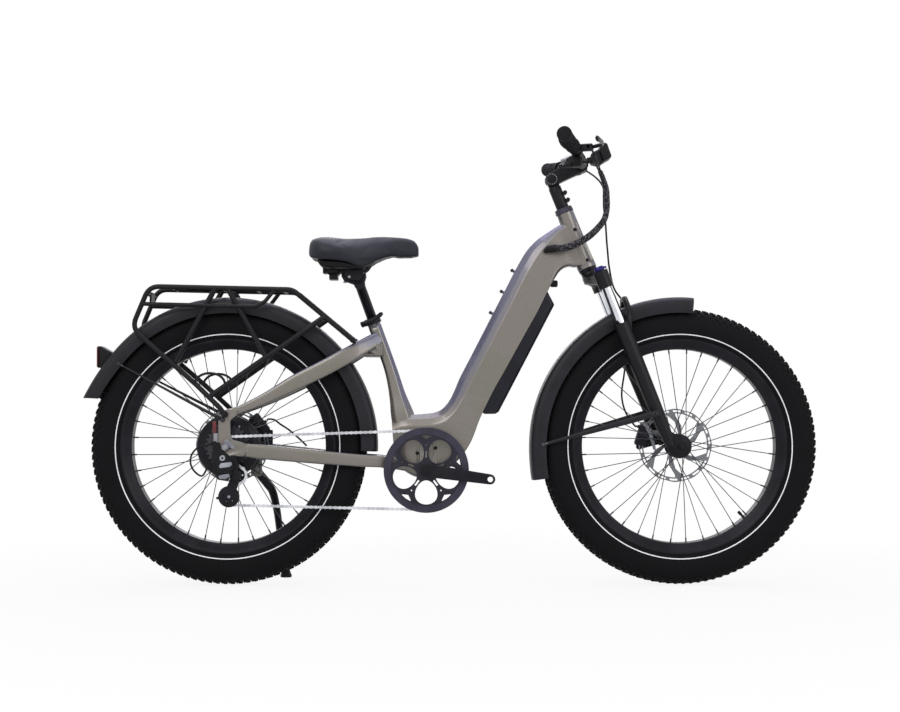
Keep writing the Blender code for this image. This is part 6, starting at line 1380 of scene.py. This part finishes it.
def paintedLightLean(piece):
    # how far each corner of a face leans up or down, for the frame paint's painted sky reflection on
    # top and painted shade underneath; the upward share grows with height
    lift = piece.data.attributes.new("lift", "FLOAT", "CORNER")
    for i, corner in enumerate(piece.data.corner_normals):
        x, y, z = corner.vector
        place = piece.data.vertices[piece.data.loops[i].vertex_index].co
        low = max(0.0, min(1.0, (place.z - 0.44) / 0.09))
        share = math.sqrt(max(0.0, 1 - y * y)) * max(-1.0, min(1.0, z * 4))
        lift.data[i].value = share * (0.45 + 0.55 * low) if share > 0 else share
    return piece


gap = frameShape["gap"]
mouth = [onTube(along, down) for along, down in (
    (-0.050 - gap, 0.066 - gap), (-0.065 - gap, 0.122), (0.320 + gap, 0.122),
    (0.320 + gap, 0.066 - gap))]
frameAdds = [
    seatSkin("seatTube"),
    rodBetween("seatTop", onSeat(0.235, 0), onSeat(frameShape["seatTop"], 0), frameShape["seat"], 40),
    stub("shell", beside(bottomBracket, 0, 0, -frameShape["shellHalf"]), 2 * frameShape["shellHalf"],
         frameShape["shell"], 48, 0.0012),
    rodBetween("headTube", onSteer(frameShape["headLow"], 0), onSteer(frameShape["headHigh"], 0),
               frameShape["head"], 56, 0.0010),
    rodBetween("headLip", onSteer(frameShape["headLow"], 0), onSteer(0.547, 0), 0.0262, 56, 0.0012),
]
frameAdds += [rodBetween("boss", onTube(along, 0.004), onTube(along, -0.006), 0.0042, 16)
              for along in bossPlaces]
frameCuts = [
    sheetCut("bay", [[(p.x, p.z) for p in mouth]], -0.0343, 0.0343),
    rodBetween("headBore", onSteer(0.515, 0), onSteer(0.716, 0), frameShape["headBore"], 40),
    stub("shellBore", beside(bottomBracket, 0, 0, -0.06), 0.12, frameShape["shellBore"], 40),
    rodBetween("postBore", onSeat(0.095, 0), onSeat(0.2935, 0), frameShape["post"], 40),
]
mainSkin = merged("mainFrameSkin", frameSkin(), frameAdds, frameCuts)
dressed(paintedLightLean(mainSkin), "frame", "frame_paint", ["main_frame"])

rearParts = []
for side in (-1, 1):
    rearParts.append(staySkin(f"chainstay{side}", chainstayStations, side))
    rearParts.append(staySkin(f"seatstay{side}", seatstayStations, side))
    near, far = sorted((side * 0.085, side * 0.091))
    edge = roundedLoop([(rearAxle.x + x, rearAxle.z + z) for x, z in dropoutOutline], 0.012)
    rearParts.append(sheetCut(f"dropout{side}", [edge], near, far, 0.0005))
rearParts += [
    boxPiece("upperYoke", onSeat(0.192, -0.026), (0.052, 0.070, 0.040), 0.005),
    boxPiece("lowerYoke", rearAxle + Vector((0.4250, 0, -0.043)), (0.036, 0.088, 0.030), 0.005),
    boxPiece("standMount", rearAxle + Vector((0.0635, 0.0835, -0.054)), (0.030, 0.013, 0.062), 0.003),
]
rearCuts = [
    rodBetween("postWay", onSeat(0.05, 0), onSeat(0.32, 0), 0.0152, 32),
    stub("axleWay", beside(rearAxle, 0, 0, -0.12), 0.24, 0.0063, 24),
    stub("hangerWay", beside(rearAxle, -0.006, -0.029, -0.108), 0.040, 0.0043, 16),
]
rearSkin = merged("rearTriangleSkin", rearParts[0], rearParts[1:], rearCuts)
dressed(paintedLightLean(rearSkin), "frame", "frame_paint", ["rear_triangle"])
print("frame ready")


# small fittings and the derailleur
dressed(boxPiece("lockBlock", onSteer(0.5300, -0.0990), (0.020, 0.016, 0.018), 0.0022), "frame",
        "black_plastic")
studs, studScrews = [], []
for along in bossPlaces:
    base, tip = onTube(along, -0.0058), onTube(along, -0.0092)
    studs.append(rodBetween("stud", base, tip, 0.0050, 12, 0.0007))
    studScrews.append(rodBetween("studScrew", tip, onTube(along, -0.0120), 0.0034, 12, 0.0008))
dressed(joined("studs", studs), "frame", "black_plastic")
dressed(joined("studScrews", studScrews), "frame", "steel", finish="screw")

plugList = [stub("shellPlug", place, -0.0022, 0.0048, 20, 0.0008)
            for place in ((-0.0883, -0.0414, 0.3523), (-0.0394, -0.0414, 0.3660))]
for up in (0.6430, 0.5550):
    for side in (-1, 1):
        plugList.append(stub("headPlug", onSteer(up, 0.0060, side * 0.0205), side * 0.0038, 0.0052, 20,
                             0.0009))
dressed(joined("framePlugs", plugList), "frame", "black_plastic")

for label, centre, size, rounded, slot in (
        ("sideLens", (-0.6226, -0.0880, 0.4218), (0.0095, 0.0110, 0.0310), 0.0012, "red_lens"),
        ("tailLens", (-0.9423, 0, 0.6090), (0.0100, 0.0540, 0.0580), 0.0026, "red_lens"),
        ("lensHolder", (-0.6190, -0.0880, 0.3960), (0.0110, 0.0090, 0.0210), 0.0010, "steel")):
    dressed(boxPiece(label, centre, size, rounded), "frame", slot)


cageOutline = [around2d(flat(tension), 0.0280, math.radians(100 + 340 * k / 40)) for k in range(41)]
cageOutline += [around2d(flat(guide), 0.0122, math.radians(-40 + 190 * k / 16)) for k in range(17)]
cageCuts = [circlePoints(around2d(flat(tension), 0.0150, math.radians(24 + 72 * k)), 0.0019, 10)
            for k in range(5)]
cageParts = [
    sheetCut("cagePlate", [cageOutline, *cageCuts], outerCogY - 0.0064, outerCogY - 0.0046, 0.0003),
    stub("cageTab", beside(tension, -0.0300, -0.0036, -0.0046), -0.0030, 0.0038, 14, 0.0006),
    rodBetween("cageTabLink", beside(tension, -0.0300, -0.0036, -0.0055),
               beside(tension, -0.0240, -0.0030, -0.0055), 0.0020, 8),
]
dressed(joined("cageFace", cageParts), "cage", "black_alloy")


def axlePlate(name, points, corner, low, high, edge):
    # a plate beside the rear axle, its outline in X and Z from there
    outline = roundedLoop([(rearAxle.x + x, rearAxle.z + z) for x, z in points], corner)
    return sheetCut(name, [outline], low, high, edge)


bracket = [
    axlePlate("bracketPlate", (
        (-0.030, 0.012), (-0.033, -0.028), (-0.030, -0.064), (-0.018, -0.085), (0.008, -0.089),
        (0.020, -0.066), (0.016, -0.028), (0.004, -0.016), (-0.010, -0.010), (-0.014, 0.012)),
        0.006, -0.1035, -0.0990, 0.0008),
    axlePlate("linkBody", (
        (-0.022, -0.034), (0.018, -0.034), (0.024, -0.052), (0.012, -0.070), (-0.022, -0.066)),
        0.005, -0.1075, -0.1034, 0.0010),
    axlePlate("innerBody", (
        (0.004, -0.026), (0.028, -0.026), (0.036, -0.050), (0.030, -0.074), (0.010, -0.070)),
        0.006, -0.0975, -0.0920, 0.0010),
    stub("bracketBoss", beside(rearAxle, -0.0265, 0.0065, -0.0990), -0.0060, 0.0062, 20, 0.0010),
]
dressed(joined("derailleurBracket", bracket), "frame", "black_plastic")
silver = [
    stub("hangerScrew", beside(rearAxle, -0.0060, -0.0290, -0.1036), -0.0046, 0.0078, 24, 0.0012),
    stub("axleNutCap", beside(rearAxle, 0.0020, 0.0020, -0.0992), -0.0048, 0.0096, 6, 0.0010),
    axlePlate("axleWedge", (
        (-0.004, 0.016), (0.006, 0.021), (0.024, 0.004), (0.026, -0.006), (0.016, -0.003),
        (0.002, 0.008)), 0.0025, -0.0980, -0.0945, 0.0004),
    axlePlate("linkPlate", (
        (-0.0140, -0.0500), (-0.0100, -0.0425), (0.0180, -0.0395), (0.0195, -0.0455),
        (0.0140, -0.0510), (-0.0120, -0.0550)), 0.0022, -0.1090, -0.1074, 0.0003),
    axlePlate("knucklePlate", (
        (-0.0170, -0.0760), (-0.0060, -0.0725), (0.0110, -0.0700), (0.0130, -0.0770),
        (0.0020, -0.0840), (-0.0130, -0.0830)), 0.0022, -0.1052, -0.1034, 0.0003),
]
dressed(joined("derailleurPlates", silver), "frame", "steel", finish="screw")
# painted shade: a thin black hexagon on the hanger screw's head stands for the shade in its hex socket
hangerHex = stub("hangerHex", beside(rearAxle, -0.0060, -0.0290, -0.1081), -0.0004, 0.0032, 6)
dressed(hangerHex, "frame", "black_plastic")
print("fittings ready")


# loom, hoses and housings
cordRadius = 0.0025
loomRoute = [onSteer(*point) for point in (
    (0.6168, -0.0699, -0.0450), (0.6139, -0.0613, -0.0485), (0.6069, -0.0426, -0.0530),
    (0.6043, -0.0143, -0.0545), (0.6088, 0.0235, -0.0550), (0.6198, 0.0561, -0.0550),
    (0.6367, 0.0853, -0.0530), (0.6618, 0.1037, -0.0500), (0.6898, 0.1156, -0.0460),
    (0.7116, 0.1229, -0.0410), (0.7386, 0.1266, -0.0320), (0.7627, 0.1282, -0.0220))]
loomHeading = (loomRoute[1] - loomRoute[0]).normalized()
portLine = [loomRoute[0] + loomHeading * (0.004 * i - 0.0240) + Vector((0, 0, 0.0024 * min(0, i - 3)))
            for i in range(10)]
dressed(tubeAlong("loomPort", portLine, tapered(portLine, (
    (0, 0.0035), (0.12, 0.0068), (0.35, 0.0096), (0.6, 0.0104), (0.92, 0.0102), (1, 0.0094))), 24),
        "frame", "black_plastic")
sleeveLine = smoothRoute(loomRoute, 8)
loomJoin = 40
sleeveRadii = tapered(sleeveLine, ((0, 0.0094), (0.35, 0.0092), (0.60, 0.0079), (0.85, 0.0076),
                                   (1, 0.0066)))
bent(tubeAlong("loomSleeveLow", sleeveLine[:loomJoin + 1], sleeveRadii[:loomJoin + 1], 20),
     "rubber", ["cable_loom"],
     finish="braid")
bent(tubeAlong("loomSleeveTop", sleeveLine[loomJoin:], sleeveRadii[loomJoin:], 20),
     "rubber", finish="braid")


def barMatrix(side, along):
    # fore, up and out along the bar as a frame of their own
    start, _, out, fore, up = barFrame(side)
    turn = Matrix((fore, up, out)).transposed().to_4x4()
    return Matrix.Translation(start + out * along) @ turn


def perchOutlet(side):
    matrix = barMatrix(side, leverPlace)
    return matrix @ Vector((0.040, 0, -0.0220)), matrix @ Vector((0.040, 0, -0.0330))


leverRoute = ((0.0450, 0, 0.001), (0.0720, -0.001, 0.024), (0.0810, -0.003, 0.048),
              (0.0820, -0.007, 0.090), (0.0790, -0.010, 0.126), (0.0760, -0.0105, 0.134))


def leverSolid(side, tag):
    # a broad blade that curls over the grip, seen end on from the side
    matrix = barMatrix(side, leverPlace)
    line = smoothRoute([matrix @ Vector(point) for point in leverRoute], 6)
    blade = tubeAlong(tag + "Blade", line, tapered(line, (
        (0, 0.0045), (0.25, 0.0058), (0.75, 0.0068), (0.93, 0.0082), (0.98, 0.0070), (1, 0.0030))),
                      16, 40, 0.55)
    pivot = Vector(leverRoute[0])
    eye = rodBetween(tag + "Eye", matrix @ (pivot - Vector((0.002, 0.0042, 0))),
                     matrix @ (pivot + Vector((-0.002, 0.0042, 0))), 0.0068, 20, 0.0010)
    return joined(tag + "BrakeBlade", [blade, eye])


for side, tag in ((1, "left"), (-1, "right")):
    dressed(leverSolid(side, tag), tag + "_brake", "black_alloy", [tag + "_brake_lever"])
paddleLine = smoothRoute([onSeat(*point) for point in (
    (0.2660, -0.0295, -0.0165), (0.2660, -0.0225, -0.0235), (0.2665, -0.0060, -0.0262),
    (0.2705, 0.0160, -0.0255), (0.2755, 0.0290, -0.0205), (0.2765, 0.0320, -0.0190))], 6)
paddle = tubeAlong("clampPaddle", paddleLine, tapered(paddleLine, (
    (0, 0.0040), (0.25, 0.0052), (0.60, 0.0060), (0.90, 0.0060), (0.97, 0.0045), (1, 0.0018))),
                   18, 40, 0.7)
cam = rodBetween("clampCam", onSeat(0.2600, -0.0285, -0.0148), onSeat(0.2720, -0.0285, -0.0148),
                 0.0058, 20, 0.0010)
dressed(joined("seatLever", [paddle, cam]), "seat_lever", "black_alloy", ["seat_clamp_lever"])

top = loomRoute[-1]
loomTail = top + (loomRoute[-2] - top).normalized() * 0.006
perch, pastPerch = perchOutlet(-1)
shiftMatrix = barMatrix(-1, shifterPlace)
branches = [
    ([loomTail + Vector((0, -0.003, 0)), top + Vector((-0.004, -0.014, 0.010)),
      perch + Vector((0.016, 0.040, -0.012)), pastPerch, perch], cordRadius),
    ([loomTail + Vector((-0.003, -0.002, 0)), top + Vector((-0.002, -0.024, -0.010)),
      shiftMatrix @ Vector((0.0420, -0.026, -0.0204)), shiftMatrix @ Vector((0.0270, -0.026, -0.0164))],
     0.0022),
]
thin = [tubeAlong(f"branch{i}", smoothRoute(points, 8), radius, 10)
        for i, (points, radius) in enumerate(branches)]
dressed(joined("loomBranches", thin), "stem", "rubber")


# angle round the axle and place of the hose's eye
calipers = {"front": (163, -0.020), "rear": (38, -0.004)}
caliperReach = 0.093


def caliperInlet(name):
    degrees, eye = calipers[name]
    angle = math.radians(degrees)
    radial = Vector((math.cos(angle), 0, math.sin(angle)))
    turn = Matrix((radial, Vector((0, 1, 0)), radial.cross(Vector((0, 1, 0))))).transposed()
    matrix = Matrix.Translation(wheels[name] + caliperReach * radial) @ turn.to_4x4()
    y = discY[name] + 0.0075
    return matrix @ Vector((0.0210, y, eye)), matrix @ Vector((0.0280, y + 0.0005, eye))


silverEdge = [(frontAxle.x + x, frontAxle.z + z) for x, z in (
    (-0.0990, 0.0640), (-0.0800, 0.0640), (-0.0660, 0.0360), (-0.0580, 0.0100), (-0.0540, -0.0120),
    (-0.0610, -0.0120), (-0.0670, 0.0100), (-0.0750, 0.0340), (-0.0870, 0.0560))]
dressed(sheetCut("frontCaliperPlate", [roundedLoop(silverEdge, 0.004)],
                 0.0386, 0.0408, 0.0003), "lowers", "steel", finish="screw")

perch, pastPerch = perchOutlet(1)
inlet, pastInlet = caliperInlet("front")
frontHose = [perch, pastPerch, *[Vector(point) for point in (
    (0.3999, 0.100, 1.1090), (0.4176, 0.062, 1.0780), (0.4177, 0.040, 1.0460),
    (0.4168, 0.025, 1.0150), (0.4199, 0.014, 0.9784), (0.4228, 0.008, 0.9248),
    (0.4255, 0.010, 0.8958), (0.4306, 0.018, 0.8525))], *[onSteer(*point) for point in (
        (0.4614, 0.0518, 0.0450), (0.4231, 0.0611, 0.0520), (0.3886, 0.0773, 0.0900),
        (0.3519, 0.0560, 0.1060), (0.2977, 0.0299, 0.1060), (0.2351, -0.0019, 0.1040),
        (0.1816, -0.0335, 0.0880), (0.1345, -0.0433, 0.0730))], pastInlet, inlet]
hoseLine = smoothRoute(frontHose, 6)
stemJoin, forkJoin = 36, 60
# its upper run is a flexible piece of its own and its middle goes with the steering
bent(tubeAlong("frontHoseTop", hoseLine[:stemJoin + 1], cordRadius, 12),
     "rubber", ["front_brake_hose"])
hoseMiddle = tubeAlong("frontHoseMiddle", hoseLine[stemJoin:forkJoin + 1], cordRadius, 12)
dressed(hoseMiddle, "steering", "rubber")
forkTravel = 0.080
1 - forkTravel / (hoseLine[stemJoin] - hoseLine[forkJoin]).dot(steerUp)
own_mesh(hoseMiddle)
dressed(tubeAlong("frontHoseLow", hoseLine[forkJoin:], cordRadius, 12), "lowers", "rubber")
inlet, pastInlet = caliperInlet("rear")
rearHose = [inlet, pastInlet, *[rearAxle + Vector(point) for point in (
    (0.1135, 0.0720, 0.0690), (0.1295, 0.0740, 0.0570), (0.1530, 0.0765, 0.0413),
    (0.1814, 0.0800, 0.0166), (0.2007, 0.0785, -0.0020))]]
housing = [(-0.0208, 0.0100, -0.0880), (-0.0310, 0.0105, -0.0925)]
for i in range(6):
    housing.append((*around2d((-0.050, -0.036), 0.040, math.radians(88 + 34 * i)), -0.1055))
housing += [(-0.0440, -0.0485, -0.0975), (-0.0340, -0.0425, -0.0975)]
housing = [beside(rearAxle, *place) for place in housing]
for name, cord, node in (("rearHose", rearHose, "rear_brake_hose"),
                         ("shiftHousing", housing, "shift_cable")):
    dressed(tubeAlong(name, smoothRoute(cord, 6), cordRadius, 12), "frame", "rubber", [node])
print("cables ready")


# saddle
# cover as X, crown height, rim height and half width, from the rear edge to the nose
coverStations = (
    (-0.3775, 0.9020, 0.8790, 0.052), (-0.3705, 0.9250, 0.8738, 0.076),
    (-0.3560, 0.9292, 0.8706, 0.093), (-0.3250, 0.9272, 0.8684, 0.102),
    (-0.2950, 0.9228, 0.8656, 0.102), (-0.2680, 0.9222, 0.8608, 0.093),
    (-0.2420, 0.9240, 0.8500, 0.078), (-0.2250, 0.9256, 0.8520, 0.067),
    (-0.2000, 0.9295, 0.8650, 0.052), (-0.1700, 0.9316, 0.8765, 0.038),
    (-0.1520, 0.9324, 0.8800, 0.033), (-0.1380, 0.9325, 0.8768, 0.0305),
    (-0.1130, 0.9302, 0.8785, 0.0280), (-0.0950, 0.9230, 0.8790, 0.0250),
    (-0.0852, 0.9070, 0.8800, 0.0180),
)
baseStations = (
    (-0.3540, 0.871, 0.8620, 0.056), (-0.3460, 0.871, 0.8510, 0.066), (-0.3360, 0.870, 0.8462, 0.070),
    (-0.2900, 0.866, 0.8440, 0.074), (-0.2550, 0.860, 0.8430, 0.062), (-0.2250, 0.857, 0.8480, 0.044),
    (-0.2050, 0.864, 0.8610, 0.028),
)
# half sections as shares of the half width and of the height
coverSection = ((0.0, 0.985), (0.32, 1.0), (0.64, 0.955), (0.86, 0.82), (0.975, 0.58), (1.0, 0.36),
                (0.985, 0.16), (0.950, 0.03), (0.88, 0.0), (0.78, 0.03), (0.5, 0.06), (0.0, 0.07))
baseSection = ((0.0, 1.0), (0.80, 1.0), (0.96, 0.90), (1.0, 0.60), (0.96, 0.25), (0.84, 0.04),
               (0.60, 0.0), (0.0, 0.0))
foam = {"step": 0.006, "shrink": 0.0022, "voxel": 0.0045, "pressure": 4.0, "cap": 0.006, "frames": 20,
        "rounds": 3, "levels": 1}


def saddleLoft(name, stations, section, step, shrink=0.0):
    rings = []
    for x, top, rim, half in eased(stations, step):
        line = smoothRoute([(w, h, 0) for w, h in section], 3)
        right = [(w * (half - shrink), rim - shrink + (top - rim) * h) for w, h, _ in line]
        rings.append([Vector((x, y, z)) for y, z in right]
                     + [Vector((x, -y, z)) for y, z in right[-2:0:-1]])
    return loftRings(name, rings, 60)


def remeshed(piece):
    remesh = piece.modifiers.new("Even mesh", "REMESH")
    remesh.mode = "VOXEL"
    remesh.voxel_size = foam["voxel"]
    remesh.use_smooth_shade = True
    return settled(piece, 180)


def puffed(piece):
    # the foam presses the cover outwards; its underside stays on the base
    mesh = piece.data
    rest = [v.co.copy() for v in mesh.vertices]
    held = piece.vertex_groups.new(name="held")
    held.add([v.index for v in mesh.vertices if v.normal.z < -0.55], 1.0, "REPLACE")
    cloth = piece.modifiers.new("Cover", "CLOTH")
    for key, value in (("quality", 6), ("mass", 0.3), ("tension_stiffness", 20),
                       ("compression_stiffness", 20), ("bending_stiffness", 1.5),
                       ("use_pressure", True), ("uniform_pressure_force", foam["pressure"]),
                       ("vertex_group_mass", "held")):
        setattr(cloth.settings, key, value)
    cloth.settings.effector_weights.gravity = 0
    cloth.point_cache.frame_start = 1
    cloth.point_cache.frame_end = foam["frames"]
    for number in range(1, foam["frames"] + 1):
        bpy.context.scene.frame_set(number)
    graph = bpy.context.evaluated_depsgraph_get()
    swollen = piece.evaluated_get(graph).data
    moved = [v.co.copy() for v in swollen.vertices]
    piece.modifiers.remove(cloth)
    for vertex, before, after in zip(mesh.vertices, rest, moved):
        away = after - before
        if away.length > foam["cap"]:
            away = away.normalized() * foam["cap"]
        vertex.co = before + away
    bpy.context.scene.frame_set(1)
    farthest = max((a - b).length for a, b in zip(moved, rest))
    print("cover moved up to", round(farthest * 1000, 1), "mm")
    return piece


def smoothed(piece):
    soft = piece.modifiers.new("Soft", "SMOOTH")
    soft.factor = 0.5
    soft.iterations = foam["rounds"]
    fine = piece.modifiers.new("Fine", "SUBSURF")
    fine.levels = fine.render_levels = foam["levels"]
    return settled(piece, 180)


cover = remeshed(saddleLoft("saddleCover", coverStations, coverSection, foam["step"], foam["shrink"]))
cover = puffed(cover)
cover = smoothed(cover)
dressed(cover, "seat", nodeSlot["saddle_cushion"], ["saddle_cushion"], finish="cover")

rim = [Vector((x, half * 0.900, low + 0.0022))
       for x, top, low, half in eased(coverStations[1:-1], 0.008)]
piping = tubeAlong("saddlePiping", [*rim, *[Vector((p.x, -p.y, p.z)) for p in rim[::-1]]], 0.0017, 10)
dressed(piping, "seat", "rubber")

plate = saddleLoft("saddlePlate", baseStations, baseSection, 0.008)
bumper = boxPiece("saddleBumper", (-0.3140, 0, 0.8432), (0.056, 0.088, 0.052), 0.0170)
dressed(joined("saddleBase", [plate, bumper], 40), "seat", nodeSlot["saddle_base"], ["saddle_base"],
        finish="black_plastic")

# saddle clamp: rail as X, side and Z, cheek and cradle as X and Z
railRoute = ((-0.3000, 0.0235, 0.8440), (-0.2900, 0.0220, 0.8365), (-0.2350, 0.0220, 0.8370),
             (-0.2230, 0.0205, 0.8450), (-0.2080, 0.0160, 0.8660))
cheekOutline = ((-0.2830, 0.8420), (-0.2350, 0.8420), (-0.2330, 0.8300), (-0.2440, 0.8150),
                (-0.2700, 0.8160), (-0.2840, 0.8290))
cradleOutline = ((-0.2905, 0.8330), (-0.2290, 0.8330), (-0.2280, 0.8250), (-0.2330, 0.8090),
                 (-0.2480, 0.8045), (-0.2600, 0.8060), (-0.2850, 0.8150), (-0.2915, 0.8270))
clampParts, clampPins = [], []
for side in (-1, 1):
    railLine = [(x, side * y, z) for x, y, z in railRoute]
    clampParts.append(tubeAlong(f"saddleRail{side}", filleted(railLine, 0.018), 0.0035, 14))
    near, far = sorted((side * 0.0165, side * 0.0275))
    clampParts.append(sheetCut(f"clampCheek{side}", [cheekOutline], near, far, 0.0010))
clampParts.append(sheetCut("clampCradle", [cradleOutline], -0.0160, 0.0160, 0.0016))
clampParts.append(boxPiece("clampLid", (-0.2590, 0, 0.8400), (0.052, 0.058, 0.0080), 0.0020))
for x in (-0.2360, -0.2840):
    clampPins.append(rodBetween("clampPin", (x, -0.0010, 0.8130), (x + 0.002, -0.0010, 0.8470), 0.0030,
                                14, 0.0006))
    clampPins.append(rodBetween("clampHead", (x - 0.0003, -0.0010, 0.8090), (x, -0.0010, 0.8130),
                                0.0052, 6, 0.0008))
for side in (-1, 1):
    clampPins.append(stub("cheekPin", (-0.2710, side * 0.0276, 0.8240), side * 0.0020, 0.0040, 16,
                          0.0006))
dressed(joined("saddleClamp", clampParts), "seat", nodeSlot["saddle_clamp"], ["saddle_clamp"],
        finish="black_alloy")
dressed(joined("clampPins", clampPins), "seat", "steel", finish="screw")
print("soft pieces ready")


# every other piece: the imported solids, merged, with rolled edges
crownFrom = 0.4648
# width of the rolled edge in millimetres, and the least angle it rolls
softEdges = {
    (3.0, 30): ("battery_pack",), (0.8, 40): ("stem_riser",), (0.6, 35): ("seat_clamp",),
    (1.8, 35): ("tail_light",), (1.2, 35): ("derailleur_body",),
    (1.6, 35): ("crank_right", "crank_left", "headlight"),
    (1.4, 35): ("stem_arm", "display", "shifter_body"),
    (0.9, 35): ("rear_brake_caliper", "front_brake_caliper", "left_brake_perch",
                "right_brake_perch", "throttle_body"),
}
edgeOf = {node: edge for edge, nodes in softEdges.items() for node in nodes}


def finishedCopy(node):
    width, limit = edgeOf.get(node, (0, 0))
    shape = bmesh.new()
    shape.from_mesh(frame["nodes"][node].data)
    bmesh.ops.remove_doubles(shape, verts=shape.verts, dist=1e-5)
    bmesh.ops.dissolve_limit(shape, angle_limit=math.radians(0.5), verts=shape.verts,
                             edges=shape.edges)
    piece = asObject(node + "Finish", shape)
    if width:
        bevel = piece.modifiers.new("Soft edges", "BEVEL")
        bevel.width = width / 1000
        bevel.segments = 3
        bevel.limit_method = "ANGLE"
        bevel.angle_limit = math.radians(limit)
    piece = settled(piece, 38)
    return dressed(piece, nodeBody[node], nodeSlot[node], [node])


copies = {node: finishedCopy(node) for node in frame["nodes"] if node not in remade}
# the fork's crown is painted above the stanchions
crown = copies["fork_upper"].data
crown.materials.append(finishes["black_paint"])
for side in crown.polygons:
    if (side.center - steerFoot).dot(steerUp) > crownFrom:
        side.material_index = 1
for node, finish in (("tail_light", "black_plastic"), ("left_brake_perch", "black_plastic"),
                     ("right_brake_perch", "black_plastic"), ("front_axle", "black_alloy"),
                     ("headset_upper", "guard")):
    copies[node].data.materials[0] = finishes[finish]
print("copied pieces ready")

bpy.context.view_layer.update()
